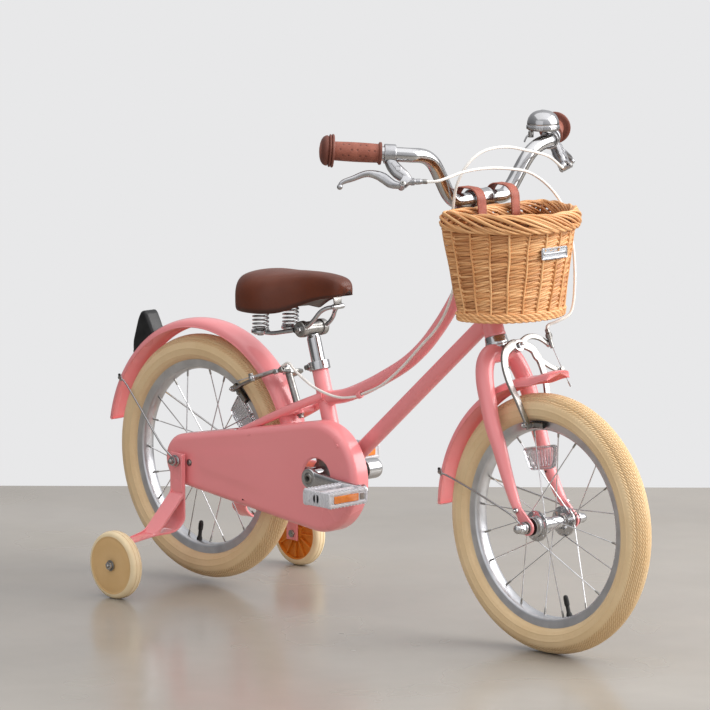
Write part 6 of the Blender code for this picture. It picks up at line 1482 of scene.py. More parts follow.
def levers():
    for side, word in SIDES:
        at = along_grip(side, LEVER_S)
        d, f, n = bar_axes(side)

        def on(a, b, c=0.0, at=at, d=d, f=f, n=n):
            return at + d * a + f * b + n * c

        form = Form()
        lathe(form, [(-0.0090, 0.0112), (-0.0090, 0.0140), (-0.0080, 0.0150), (0.0078, 0.0150), (0.0088, 0.0142), (0.0088, 0.0112)], at, d, 56, "alloy", round_off=0.0006)
        arm = smooth([on(0.0, 0.0115), on(-0.0055, 0.0200), on(-0.0130, 0.0285), on(-0.0220, 0.0355), on(-0.0300, 0.0420)], 30)
        bar(form, arm, [0.0165, 0.0195, 0.0205, 0.0185, 0.0130], [0.0160, 0.0168, 0.0168, 0.0160, 0.0140], n, "alloy", corner=0.55, per=5)
        # a raised web along the casting, and the two ears that hold the lever
        web = smooth([on(-0.0030, 0.0165), on(-0.0120, 0.0265), on(-0.0240, 0.0365)], 16)
        for k in (-1, 1):
            bar(form, web + n * 0.0082 * k, [0.0060, 0.0075, 0.0050], [0.0024] * 3, n, "alloy", corner=0.6)
            ear = smooth([on(-0.0270, 0.0385, 0.0078 * k), on(-0.0235, 0.0445, 0.0082 * k), on(*LEVER_PIVOT, 0.0082 * k)], 14)
            bar(form, ear, [0.0150, 0.0125, 0.0100], [0.0024] * 3, n, "alloy", corner=0.6)
            lathe(form, [(0.0070, 0.0), (0.0070, 0.0050), (0.0094, 0.0050), (0.0098, 0.0044), (0.0098, 0.0)], on(*LEVER_PIVOT), n * k, 26, "alloy", round_off=0.0003)
        screw(form, on(*LEVER_PIVOT, 0.0098), n, 0.0036, 0.0014, "steel")
        screw(form, on(*LEVER_PIVOT, -0.0098), -n, 0.0036, 0.0014, "steel")
        for k in (-1, 1):
            # the clamp's screw, sunk in a round boss
            lathe(form, [(0.0076, 0.0024), (0.0076, 0.0048), (0.0094, 0.0046), (0.0098, 0.0040), (0.0098, 0.0030), (0.0084, 0.0024)], on(-0.0125, 0.0262), n * k, 28, "alloy", round_off=0.0002)
            nut(form, on(-0.0125, 0.0262, 0.0078 * k), n * k, 0.0056, 0.0012, 0, "dark_steel")
        axis = unit(on(-0.0500, 0.0420) - on(-0.0270, 0.0438))
        stop = on(-0.0270, 0.0438)
        tube(form, [stop - axis * 0.004, stop + axis * 0.0060], 0.0052, 26, "alloy", ends="round")
        lathe(form, [(0.0050, 0.0026), (0.0050, 0.0046), (0.0060, 0.0052), (0.0110, 0.0052), (0.0118, 0.0042), (0.0132, 0.0040), (0.0136, 0.0045), (0.0200, 0.0043), (0.0208, 0.0036), (0.0234, 0.0034),
                     (0.0234, 0.0026)], stop, axis, 30, "alloy", round_off=0.0003)
        u, v = frames(np.array([stop, stop + axis]))[1:]
        for k in range(16):
            w = 2 * pi * k / 16
            off = (u[0] * cos(w) + v[0] * sin(w)) * 0.0051
            tube(form, [stop + axis * 0.0062 + off, stop + axis * 0.0108 + off], 0.0006, 6, "alloy")
        make(form, "lever_bracket_" + word + "_casting", "steering", "lever_bracket_" + word, sharp=38)

        blade = Form()
        pts = [(-0.0185, 0.0505), (-0.0100, 0.0500), (-0.0020, 0.0475), (0.0093, 0.0395), (0.0190, 0.0355), (0.0310, 0.0340), (0.0410, 0.0365), (0.0550, 0.0435), (0.0670, 0.0485), (0.0730, 0.0530),
               (0.0741, 0.0568)]
        knots = np.concatenate([[0], np.cumsum(np.hypot(*np.diff(np.array(pts), axis=0).T))])
        line = smooth([on(x, y) for x, y in pts], 72)
        share = np.linspace(0, 1, 72)
        widths = np.interp(share, knots / knots[-1], [0.0084, 0.0115, 0.0150, 0.0158, 0.0134, 0.0100, 0.0092, 0.0080, 0.0070, 0.0058, 0.0046])
        thick = np.interp(share, knots / knots[-1], [0.0118, 0.0120, 0.0124, 0.0126, 0.0122, 0.0114, 0.0106, 0.0098, 0.0090, 0.0078, 0.0056])
        bar(blade, line, widths, thick, n, "alloy", corner=0.8, per=5)
        ball(blade, on(0.0743, 0.0582), 0.0044, "alloy", 20)
        lathe(blade, [(-0.0062, 0.0), (-0.0062, 0.0050), (0.0062, 0.0050), (0.0062, 0.0)], on(*LEVER_PIVOT), n, 24, "alloy", round_off=0.0005)
        make(blade, "brake_lever_blade_" + word, "lever_r" if side < 0 else "lever_l", "brake_lever_" + word, sharp=40)


BELL_AT = vec(0.6115, 0.1419, 0.7765)


def bell():
    form = Form()
    d = bar_axes(1)[0]
    clamp = along_grip(1, 0.1165)
    lathe(form, [(-0.0055, 0.0112), (-0.0055, 0.0134), (-0.0048, 0.0138), (0.0048, 0.0138), (0.0055, 0.0134), (0.0055, 0.0112)], clamp, d, 48, "chrome", round_off=0.0004)
    bar(form, smooth([clamp + vec(-0.0010, -0.0020, 0.0122), clamp * 0.4 + BELL_AT * 0.6 + Z * 0.0045, BELL_AT + Z * 0.0030], 12), [0.0140, 0.0130, 0.0120], [0.0036] * 3, Z, "chrome")
    ear = clamp + unit(vec(-0.64, -0.766, -0.5)) * 0.0128
    tube(form, [ear - d * 0.0065, ear + d * 0.0065], 0.0030, 14, "steel", ends="round")
    # the base, its knurled edge, and the dome over it
    lathe(form, [(0.0016, 0.0), (0.0016, 0.0225), (0.0024, 0.0232), (0.0048, 0.0232), (0.0052, 0.0200), (0.0056, 0.0)], BELL_AT, Z, 72, "steel", round_off=0.0004)
    r, h = 0.0252, 0.0330
    dome = [(0.0052, 0.0236), (0.0036, 0.0246), (0.0038, 0.0252), (0.0100, 0.0252), (0.0108, 0.0246), (0.0116, 0.0250)]
    for k in range(1, 17):
        w = pi / 2 * k / 17
        dome.append((0.0116 + (h - 0.0116) * sin(w), 0.0250 * cos(w) ** 0.80))
    outer = np.array(dome)
    inner = np.array([(max(x - 0.0011, 0.0056), max(y - 0.0011, 0.0)) for x, y in reversed(dome[2:])])
    profile = np.vstack([outer, [(h, 0.0030)], [(h - 0.0012, 0.0030)], inner[:-1]])
    lathe(form, profile, BELL_AT, Z, 96, "chrome")
    lathe(form, [(h - 0.0016, 0.0), (h - 0.0016, 0.0042), (h - 0.0002, 0.0044), (h + 0.0004, 0.0034), (h + 0.0006, 0.0)], BELL_AT, Z, 28, "chrome")
    for k in range(64):
        w = 2 * pi * k / 64
        c = BELL_AT + vec(cos(w) * r, sin(w) * r, 0.0)
        tube(form, [c + Z * 0.0042, c + Z * 0.0096], 0.0007, 5, "chrome")
    make(form, "bell_dome_and_clamp", "steering", "bell", sharp=45)

    trigger = Form()
    pivot = BELL_AT + vec(-0.0125, -0.0140, -0.0060)
    lathe(trigger, [(-0.0032, 0.0), (-0.0032, 0.0042), (0.0060, 0.0042), (0.0060, 0.0)], pivot, Z, 24, "steel", round_off=0.0005)
    bar(trigger, smooth([pivot, pivot + vec(-0.0045, -0.0040, -0.0020), pivot + vec(-0.0080, -0.0064, -0.0105)], 18), [0.0046, 0.0056, 0.0070], [0.0024, 0.0022, 0.0020], unit((0.7, 0.7, 0.3)), "chrome")
    make(trigger, "bell_thumb_blade", "thumb_lever", "bell_trigger")


stem_and_bar()
grips()
levers()
bell()


# ====================================================================== cables
def cable(name, route, body, nodes, radius=0.0022, blend=None, count=140, more=()):
    form = Form()
    line = smooth(route, count)
    tube(form, line, radius, 14, "housing", ends="round")
    for at, way in more:
        lathe(form, [(0.0, 0.0026), (0.0, 0.0034), (0.0006, 0.0037), (0.0062, 0.0037), (0.0070, 0.0031), (0.0070, 0.0024)], at, way, 22, "steel", round_off=0.0002)
    make(form, name, body, nodes, body_blend=blend)
    length = np.sum(np.linalg.norm(np.diff(line, axis=0), axis=1))
    return length


def cables():
    ends = {}
    for side in (-1, 1):
        d, f, n = bar_axes(side)
        ends[side] = (along_grip(side, LEVER_S) + f * 0.0418 - d * 0.0505, d)
    front_barrel = FRONT_P + vec(0, 0.0655, 0) + FRONT_E * (0.0045 - 0.0155) + FRONT_B * 0.0072
    stop, d = ends[-1]
    cable("front_brake_housing", [stop, stop - d * 0.010, (0.6592, -0.1297, 0.7262), (0.6660, -0.0866, 0.7360), (0.6700, -0.0356, 0.7380), (0.6705, 0.0200, 0.7318), (0.6660, 0.0588, 0.7225),
                                  (0.6645, 0.0972, 0.7010), (0.6690, 0.1232, 0.6720), (0.6790, 0.1300, 0.6400), (0.6940, 0.1262, 0.5950), (0.7040, 0.1180, 0.5450),
                                  (0.7060, 0.1080, 0.5080), (0.7000, 0.0880, 0.4960), (0.6930, 0.0720, 0.4900), front_barrel - FRONT_E * 0.007, front_barrel], "steering", "front_brake_cable",
          more=[(stop, -d), (front_barrel, -FRONT_E)])
    stop, d = ends[1]
    clip, clip_dir = vec(0.3637, -0.0100, 0.3515), unit((0.92, 0, 0.39))
    upper = [stop, stop - d * 0.010, (0.6620, 0.1000, 0.7455), (0.6615, 0.0500, 0.7585), (0.6575, 0.0100, 0.7658), (0.6540, -0.0300, 0.7630), (0.6480, -0.0560, 0.7480), (0.6400, -0.0720, 0.7210),
             (0.6310, -0.0730, 0.6900), (0.6200, -0.0640, 0.6590), (0.6060, -0.0430, 0.6360), (0.5990, -0.0280, 0.6180), (0.5972, -0.0240, 0.6085)]
    lower = [(0.5930, -0.0228, 0.5850), (0.5860, -0.0222, 0.5620), (0.5750, -0.0215, 0.5290), (0.5590, -0.0205, 0.4990), (0.5360, -0.0185, 0.4720), (0.5068, -0.0180, 0.4460), (0.4610, -0.0170, 0.4050),
             (0.4148, -0.0140, 0.3730), tuple(clip + clip_dir * 0.008), tuple(clip - clip_dir * 0.008), (0.3208, -0.0180, 0.3440), (0.2800, -0.0290, 0.3560), (0.2450, -0.0370, 0.3790)]
    barrel = REAR_P + vec(0, -0.042, 0) + REAR_E * (-0.0200 - 0.0155) + REAR_B * 0.0024
    start, end = vec(0.585 - SHIFT_X, -0.022, 0.56), vec(0.62 - SHIFT_X, -0.064, 0.66)
    cable("rear_brake_housing", [*upper, *lower, barrel - REAR_E * 0.015, barrel], "frame", ("rear_brake_cable", "rear_brake_cable_upper"), count=300,
          blend=("frame", "steering", tuple(start), tuple(end)))
    # the bare inner wires between the two arms
    form = Form()
    top = FRONT_P + Y * 0.0655 + FRONT_E * 0.0125 + FRONT_B * 0.0072
    foot = FRONT_P + Y * 0.0780 + FRONT_E * 0.0465 + FRONT_B * 0.0030
    tube(form, [top - FRONT_E * 0.006, foot, foot + unit(foot - top) * 0.0230], 0.0008, 8, "spoke")
    tube(form, [foot + unit(foot - top) * 0.0215, foot + unit(foot - top) * 0.0300], 0.0014, 10, "alloy")
    make(form, "front_brake_inner_wire", "steering", ())
    form = Form()
    top = REAR_P + Y * -0.0420 + REAR_E * -0.0130 + REAR_B * 0.0024
    foot = REAR_P + Y * -0.0560 + REAR_E * 0.0270 + REAR_B * 0.0040
    tube(form, [top - REAR_E * 0.004, foot, foot + unit(foot - top) * 0.0220], 0.0008, 8, "spoke")
    tube(form, [foot + unit(foot - top) * 0.0205, foot + unit(foot - top) * 0.0285], 0.0014, 10, "alloy")
    make(form, "rear_brake_inner_wire", "frame", ())


cables()


# ====================================================================== saddle, rails, springs, post
def saddle():
    stations = [(0.1101, 0.0276, 0.5120, 0.4940, 0.4780), (0.1156, 0.0442, 0.5210, 0.4930, 0.4720), (0.1274, 0.0580, 0.5270, 0.4920, 0.4680), (0.1456, 0.0662, 0.5300, 0.4910, 0.4672),
                (0.1684, 0.0685, 0.5305, 0.4900, 0.4672), (0.1911, 0.0626, 0.5315, 0.4915, 0.4676), (0.2139, 0.0490, 0.5335, 0.4955, 0.4705), (0.2366, 0.0362, 0.5350, 0.5010, 0.4790),
                (0.2594, 0.0277, 0.5360, 0.5060, 0.4890), (0.2867, 0.0232, 0.5355, 0.5105, 0.4975), (0.3094, 0.0207, 0.5325, 0.5125, 0.5020), (0.3203, 0.0157, 0.5270, 0.5130, 0.5045),
                (0.3249, 0.0086, 0.5200, 0.5130, 0.5070)]
    rows = smooth(stations, 72)
    form = Form()
    rings = []
    for x, half, top, side_z, low in rows:
        fall, skirt = top - side_z, side_z - low
        share = [(0, 0.0), (0.20, -0.008), (0.38, -0.035), (0.54, -0.075), (0.68, -0.135), (0.79, -0.23), (0.88, -0.37), (0.94, -0.53), (0.975, -0.70), (0.992, -0.86), (1.0, -1.0)]
        section = [(half * a, top + fall * z) for a, z in share]
        section += [(half * 1.0, side_z - skirt * 0.30), (half * 0.996, side_z - skirt * 0.62), (half * 0.990, low + skirt * 0.16), (half * 0.975, low + skirt * 0.03), (half * 0.945, low),
                    (half * 0.905, low + 0.0006), (half * 0.86, low + 0.0036), (half * 0.55, low + 0.0050), (0.0, low + 0.0056)]
        right = section[1:-1]
        ring = section[:1] + right + section[-1:] + [(-a, b) for a, b in reversed(right)]
        rings.append([(x, a, b) for a, b in ring])
    rings = np.array(rings)
    # the ends draw in to a rounded edge
    first, last = rings[0].mean(0), rings[-1].mean(0)
    lead_in, lead_out = [], []
    for k in range(1, 6):
        w = pi / 2 * k / 6
        lead_in.append(first + (rings[0] - first) * cos(w) ** 0.8 - vec(0.0050 * sin(w), 0, 0))
        lead_out.append(last + (rings[-1] - last) * cos(w) ** 0.8 + vec(0.0045 * sin(w), 0, 0))
    rings = np.concatenate([np.array(lead_in[::-1]), rings, np.array(lead_out)])
    n = rings.shape[1]
    tint = np.zeros(rings.shape[:2])
    # painted shade: the underside is painted dark, on one side reaching up onto the lower skirt
    tint[:, 16:26] = 0.70
    loft(form, rings, False, (first - vec(0.0052, 0, 0), last + vec(0.0047, 0, 0)), "leather", tint)
    # the turned hem, painted a little darker: painted shade along the lower edge
    for k in (15, n - 15):
        line = rings[4:-4, k]
        tube(form, line, 0.0009, 8, "leather", ends="round", tint=0.35)
    piece = make(form, "saddle_cover", "saddle_cover", "saddle", sharp=70, recalc=True)
    soft = piece.modifiers.new("smooth", "SUBSURF")
    soft.levels = soft.render_levels = 1

    rail = [(0.1560, 0.033, 0.4328), (0.185, 0.033, 0.433), (0.21, 0.0295, 0.4375), (0.235, 0.0235, 0.443), (0.256, 0.022, 0.45), (0.270, 0.0205, 0.462), (0.280, 0.0165, 0.475), (0.291, 0.0115, 0.482),
            (0.303, 0.006, 0.4845)]
    sx, sy = 0.1600, 0.0330
    clamp = SEAT_FOOT + SEAT_DIR * 0.2345
    form = Form()
    for side in (-1, 1):
        tube(form, smooth(flip(rail, side), 70), 0.0034, 18, "chrome", ends="round")
        lathe(form, [(0.4308, 0.0), (0.4308, 0.0140), (0.4316, 0.0150), (0.4356, 0.0150), (0.4364, 0.0140), (0.4364, 0.0)], vec(sx, side * sy, 0), Z, 44, "chrome", round_off=0.0004)
        tube(form, [vec(sx, side * sy, 0.4270), vec(sx, side * sy, 0.4312)], 0.0052, 20, "steel")
        # the wire's lower loop at the back
        loop = smooth([flip(p, side) for p in ((0.1575, 0.033, 0.4300), (0.1485, 0.0330, 0.4285), (0.1435, 0.0315, 0.4310), (0.1455, 0.0300, 0.4350), (0.1515, 0.0305, 0.4345))], 22)
        tube(form, loop, 0.0019, 12, "chrome", ends="round")
        # serrated cheek and nut of the seat clamp
        lathe(form, [(0.0165, 0.0), (0.0165, 0.0128), (0.0175, 0.0134), (0.0262, 0.0128), (0.0274, 0.0118), (0.0276, 0.0)], clamp, Y * side, 40, "steel", round_off=0.0006)
        nut(form, clamp + Y * side * 0.0274, Y * side, 0.0130, 0.0052, 0, "chrome")
        lathe(form, [(0.0322, 0.0), (0.0322, 0.0036), (0.0344, 0.0034), (0.0350, 0.0)], clamp, Y * side, 20, "steel", round_off=0.0003)
    tube(form, [clamp - Y * 0.0170, clamp + Y * 0.0170], 0.0112, 36, "steel")
    tube(form, [vec(0.303, -0.0100, 0.485), vec(0.303, 0.0100, 0.485)], 0.0042, 20, "chrome", ends="round")
    # the nose plate, which carries the front of the cover on the rails
    bar(form, [vec(0.3030, 0, 0.4850), vec(0.3020, 0, 0.4960), vec(0.3000, 0, 0.5060)], [0.0150, 0.0170, 0.0190], [0.0030, 0.0026, 0.0024], unit((1, 0, 0.1)), "steel")
    cap = vec(0.2350, -0.0235, 0.4430)
    lathe(form, [(-0.0060, 0.0), (-0.0060, 0.0046), (-0.0050, 0.0054), (0.0050, 0.0054), (0.0060, 0.0046), (0.0060, 0.0)], cap, unit((0.9, 0, 0.25)), 24, "rubber", round_off=0.0006)
    make(form, "saddle_rails_and_clamp", "seat", "saddle_rails")

    for side, word in SIDES:
        form = Form()
        turns, n_pts = 4.0, 240
        t = np.linspace(0, 1, n_pts)
        z = 0.4366 + 0.0016 + (0.4666 - 0.4366 - 0.0032) * np.interp(t, [0, 0.10, 0.90, 1], [0, 0.035, 0.965, 1])
        w = 2 * pi * (turns + 1.2) * t + (0 if side < 0 else pi)
        r = 0.0122
        line = np.stack([sx + r * np.cos(w), side * sy + r * np.sin(w), z], axis=1)
        tube(form, line, 0.0015, 12, "chrome", ends="round")
        for z0, z1 in ((0.43665, 0.4382), (0.4652, 0.4666)):
            lathe(form, [(z0, 0.0), (z0, 0.0086), (z1, 0.0080), (z1, 0.0)], vec(sx, side * sy, 0), Z, 30, "steel", round_off=0.0004)
        piece = make(form, "saddle_coil_" + word, "seat", "saddle_spring_" + word)
        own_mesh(piece)

    form = Form()
    top = 0.2240
    lathe(form, [(0.0765, 0.0092), (0.0765, 0.0105), (0.0775, 0.0111), (top - 0.006, 0.0111), (top - 0.003, 0.0100), (top, 0.0096), (top, 0.0070), (0.2, 0.0070), (0.2, 0.0092)], SEAT_FOOT, SEAT_DIR, 48, "chrome",
          round_off=0.0003)
    for k in range(3):
        t = 0.1350 + 0.0080 * k
        lathe(form, [(t, 0.01108), (t + 0.0002, 0.0112), (t + 0.0005, 0.0112), (t + 0.0007, 0.01108)], SEAT_FOOT, SEAT_DIR, 40, "steel")
    make(form, "chromed_seat_post", "seat", "seat_post")


saddle()


# ====================================================================== basket and straps
WALL = [(0.5090, 0.0950, 0.6580, 0.0910), (0.5140, 0.0970, 0.6570, 0.0940), (0.5560, 0.1012, 0.6490, 0.1097), (0.6100, 0.1065, 0.6387, 0.1299), (0.6440, 0.1098, 0.6325, 0.1423),
        (0.6780, 0.1100, 0.6330, 0.1430)]


def wall_point(u, z, inset=0.0):
    """A point on the basket's wall: u is the share of the way round, from the middle of the front, growing to the left (+y)."""
    z = np.asarray(z, float)
    levels = np.array(WALL)
    half = np.interp(z, levels[:, 0], levels[:, 1]) - inset
    back = np.interp(z, levels[:, 0], levels[:, 2]) + inset
    depth = np.interp(z, levels[:, 0], levels[:, 3]) - 2 * inset
    return outline_point(u, half, back, depth)


def outline_point(u, half, back, depth):
    u = np.asarray(u, float)
    middle, front = back + 0.012, depth - 0.012
    a = WARP(u % 1.0)
    c, s = np.cos(a), np.sin(a)
    ahead = c >= 0
    p = np.where(ahead, 2.1, 5.0)
    reach = np.where(ahead, front, 0.012)
    x = middle + np.sign(c) * reach * np.abs(c) ** (2 / p)
    y = half * np.sign(s) * np.abs(s) ** (2 / p)
    return x, y


def make_warp():
    """Turns an even share of the way round into the outline's own angle."""
    a = np.linspace(0, 2 * pi, 4001)
    c, s = np.cos(a), np.sin(a)
    ahead = c >= 0
    p = np.where(ahead, 2.1, 5.0)
    reach = np.where(ahead, 0.115, 0.012)
    x = np.sign(c) * reach * np.abs(c) ** (2 / p)
    y = 0.1060 * np.sign(s) * np.abs(s) ** (2 / p)
    length = np.concatenate([[0], np.cumsum(np.hypot(np.diff(x), np.diff(y)))])
    return lambda u: np.interp(u, length / length[-1], a)


WARP = make_warp()


def wall_frame(u, z):
    """The outward normal of the wall at a share of the way round."""
    x0, y0 = wall_point(u - 0.002, z)
    x1, y1 = wall_point(u + 0.002, z)
    nx, ny = (y1 - y0), -(x1 - x0)
    size = np.hypot(nx, ny)
    return nx / size, ny / size


def basket():
    rng = np.random.default_rng(5)
    stakes = 20
    form, shade_layer = Form(), Form()
    # upright stakes: a pale one outside the weave and a thicker one inside it, painted darker: painted shade inside the
    # weave
    shares = (np.arange(stakes) + 0.42) / stakes
    for u in shares:
        zs = np.linspace(0.5105, 0.6640, 30)
        for inset, r, shade in ((0.0008, 0.00170, 0.0), (0.0076, 0.0019, 0.45)):
            x, y = wall_point(np.full(30, u) + 0.0012 * np.sin(zs * 90 + u * 40), zs, inset)
            tube(form, np.stack([x, y, zs], 1), r + rng.uniform(-0.0001, 0.0002), 8, "wicker", tint=shade + rng.uniform(0, 0.15), fibre=True, ends="round")
    # rows of weaving between them; in each panel the canes rise to one side
    rows = 35
    z_low, z_high = 0.5230, 0.6500
    count = stakes * 14
    panel_shade = rng.uniform(-0.18, 0.30, stakes)
    panel_slope = rng.uniform(0.55, 1.3, stakes)
    for row in range(rows):
        z0 = z_low + (z_high - z_low) * (row + 0.5) / rows
        u = np.arange(count) / count
        place = (u * stakes - 0.42) % 1.0
        panel = np.floor(u * stakes - 0.42).astype(int) % stakes
        rise = np.where(place < 0.9, place / 0.9 - 0.5, 0.5 - (place - 0.9) / 0.1)
        edge = np.minimum(1.0, min(z0 - z_low, z_high - z0) / 0.008)
        z = z0 + 0.0044 * edge * rise * panel_slope[panel] + 0.0005 * np.sin(2 * pi * (u * 9 + rng.uniform()))
        x, y = wall_point(u, z, 0.0040)
        nx, ny = wall_frame(u, z)
        over = 1 if row % 2 else -1
        swing = 0.0011 * np.sin(pi * place) + 0.0010 * over * np.cos(pi * (u * stakes - 0.42))
        x, y = x + nx * swing, y + ny * swing
        r = 0.00212 + rng.uniform(-0.0001, 0.00015) + 0.00012 * np.sin(2 * pi * (u * 7 + rng.uniform()))
        tint = np.clip(rng.uniform(-0.10, 0.45) + panel_shade[panel] + 0.20 * np.sin(2 * pi * (u * 2 + rng.uniform())), 0, 0.7)
        tube_loop(form, np.stack([x, y, z], 1), r, tint, rng)
        # a second layer behind, painted darker, closes the gaps between the rows: painted shade seen through the gaps
        x, y = wall_point(u, z + 0.0018, 0.0064)
        tube_loop(shade_layer, np.stack([x, y, z + 0.0018], 1), 0.0019, np.clip(tint + 0.35, 0, 0.9), rng, 6)
    make(form, "woven_willow_basket", "steering", "basket", sharp=80, recalc=False)
    # twisted foot rows
    form = shade_layer
    for strand in range(3):
        for level in range(3):
            z0 = 0.5128 + 0.0040 * level
            u = np.arange(stakes * 12) / (stakes * 12)
            phase = 2 * pi * (u * stakes * 0.7 + strand / 3 + level * 0.17)
            z = z0 + 0.0018 * np.cos(phase)
            x, y = wall_point(u, np.full_like(u, z0), 0.0010)
            nx, ny = wall_frame(u, np.full_like(u, z0))
            x, y = x + nx * 0.0018 * np.sin(phase), y + ny * 0.0018 * np.sin(phase)
            # painted shade: each strand is darker where it turns in behind the others
            tint = np.clip(rng.uniform(0.05, 0.35) + 0.3 * -np.sin(phase), 0, 0.9)
            tube_loop(form, np.stack([x, y, z], 1), 0.0020, tint, rng)
    # floor: stakes across and canes along
    def floor_share(x, y):
        return (np.abs(y) / 0.0925) ** 2.1 + (np.maximum(x - 0.6690, 0) / 0.0790) ** 2.1

    for k in range(13):
        y0 = -0.084 + 0.014 * k
        xs = np.linspace(0.6600, 0.7480, 30)
        xs = xs[floor_share(xs, y0) < 0.97]
        if len(xs) < 5:
            continue
        tube(form, np.stack([xs, np.full_like(xs, y0), 0.5128 + 0.0012 * np.sin(xs * 350)], 1), 0.0016, 8, "wicker", tint=0.3, fibre=True, ends="round")
    for k in range(22):
        x0 = 0.6605 + 0.0040 * k
        ys = np.linspace(-0.091, 0.091, 60)
        ys = ys[floor_share(x0, ys) < 0.98]
        if len(ys) < 6:
            continue
        tube(form, np.stack([np.full_like(ys, x0), ys, 0.5128 + 0.0016 * np.cos(pi * (ys + 0.084) / 0.014) * (1 if k % 2 else -1)], 1), 0.0019, 8, "wicker", tint=rng.uniform(0.1, 0.5), fibre=True, ends="round")
    make(form, "basket_shade_layer_and_floor", "steering", (), sharp=80, recalc=False)
    form = Form()
    # the rim: stakes bent over and wound round the edge, each behind several and down the outside
    strands = 46
    centre_z = 0.6615
    for k in range(strands):
        start = k / strands + rng.uniform(-0.003, 0.003)
        span = 0.30 + rng.uniform(-0.015, 0.03)
        t = np.linspace(0, 1, 60)
        u = start + span * t
        turn = 2 * pi * (0.62 - 0.98 * t) + rng.uniform(-0.12, 0.12)
        ring = 0.0090 + 0.0020 * ((k * 7) % 5) / 4
        # an ellipse round the rim's middle line: taller than wide
        out = ring * 0.70 * np.cos(turn)
        up = ring * 1.28 * np.sin(turn)
        x, y = rim_point(u)
        nx, ny = wall_frame(u, np.full_like(u, 0.655))
        x, y, z = x + nx * out, y + ny * out, centre_z + up
        r = 0.0021 * np.interp(t, [0, 0.08, 0.85, 1], [0.7, 1, 1, 0.55]) + rng.uniform(-0.0001, 0.0002)
        # painted shade: each strand is darker on the rim's inside and underside
        tint = np.clip(rng.uniform(-0.1, 0.35) + 0.45 * np.clip(-np.cos(turn), 0, 1) + 0.25 * np.clip(-np.sin(turn), 0, 1), 0, 0.85)
        tube(form, np.stack([x, y, z], 1), r, 8, "wicker", tint=tint, fibre=True, ends="round")
    # an extra plait low on the rim's outside
    for strand in range(4):
        u = np.arange(300) / 300
        phase = 2 * pi * (u * 9 + strand / 4)
        x, y = rim_point(u)
        nx, ny = wall_frame(u, np.full_like(u, 0.655))
        out = 0.0026 + 0.0030 * np.sin(phase) * (0.35 + 0.65 * np.clip(nx + 1, 0, 1))
        z = 0.6525 + 0.0040 * np.cos(phase)
        # painted shade: each strand is darker where it turns in
        tint = np.clip(rng.uniform(0.0, 0.3) - 0.35 * np.sin(phase), 0, 0.8)
        tube_loop(form, np.stack([x + nx * out, y + ny * out, z], 1), 0.0021, tint, rng)
    make(form, "basket_plaited_rim", "steering", (), sharp=80, recalc=False)

    # the blank plate on the front
    plate = Form()
    u0, z0 = 0.006, 0.6150
    x, y = wall_point(np.array([u0]), np.array([z0]), -0.0032)
    nx, ny = wall_frame(np.array([u0]), np.array([z0]))
    out = unit((nx[0], ny[0], 0.06))
    side = unit(np.cross(Z, out))
    up = np.cross(out, side)
    at = vec(x[0], y[0], z0)
    shape = fillet([(-0.0290, -0.0090), (0.0290, -0.0090), (0.0290, 0.0090), (-0.0290, 0.0090)], 0.0035, 5)
    dense = spaced(np.vstack([shape, shape[:1]]), 120)[:-1]

    def curved(p, h):
        bend = p[:, 0] ** 2 / (2 * 0.110)
        return at + p[:, :1] * side + p[:, 1:2] * up + (h - bend)[:, None] * out

    slab(plate, dense, -0.0006, 0.0006, curved, [circle(-0.0245, 0, 0.0012, 16), circle(0.0245, 0, 0.0012, 16)], 0.0003, 2, "plate")
    rim = offset(dense, 0.0022)
    slab(plate, offset(dense, 0.0012), 0.0005, 0.0011, curved, [rim], 0.00025, 2, "plate")
    for k in (-1, 1):
        spot = at + side * 0.0245 * k - out * ((0.0245**2) / 0.22 - 0.0004)
        screw(plate, spot, out, 0.0019, 0.0010, "steel", slot=False)
    make(plate, "blank_basket_plate", "steering", ())


def rim_point(u):
    """The rim's middle line, a little outside the wall."""
    return outline_point(u, 0.1080, 0.6400, 0.1375)


def tube_loop(form, line, radius, tint, rng, sides=8):
    """A cane that runs right round: its section stays upright, so it doesn't twist."""
    t = np.roll(line, -1, 0) - np.roll(line, 1, 0)
    t /= np.linalg.norm(t, axis=1)[:, None]
    b = np.cross(t, np.array([0, 0, 1.0]))
    b /= np.linalg.norm(b, axis=1)[:, None]
    a = np.cross(b, t)
    w = 2 * pi * np.arange(sides) / sides
    r = np.broadcast_to(np.asarray(radius, float), len(line))
    rings = line[:, None] + r[:, None, None] * (np.cos(w)[None, :, None] * b[:, None] + np.sin(w)[None, :, None] * a[:, None])
    length = np.concatenate([[0], np.cumsum(np.linalg.norm(np.diff(line, axis=0), axis=1))]) + rng.uniform(0, 50)
    spot = rng.uniform(0, 9)
    fibre = np.stack([np.repeat(length[:, None], sides, 1), spot + 0.002 * np.repeat(np.cos(w)[None], len(line), 0), spot + 0.002 * np.repeat(np.sin(w)[None], len(line), 0)], axis=-1)
    tint = np.repeat(np.broadcast_to(np.asarray(tint, float), len(line))[:, None], sides, 1)
    nu = len(line)
    form.add(rings.reshape(-1, 3), grid(nu, sides, True), [], "wicker", tint.reshape(-1), fibre.reshape(-1, 3))


basket()


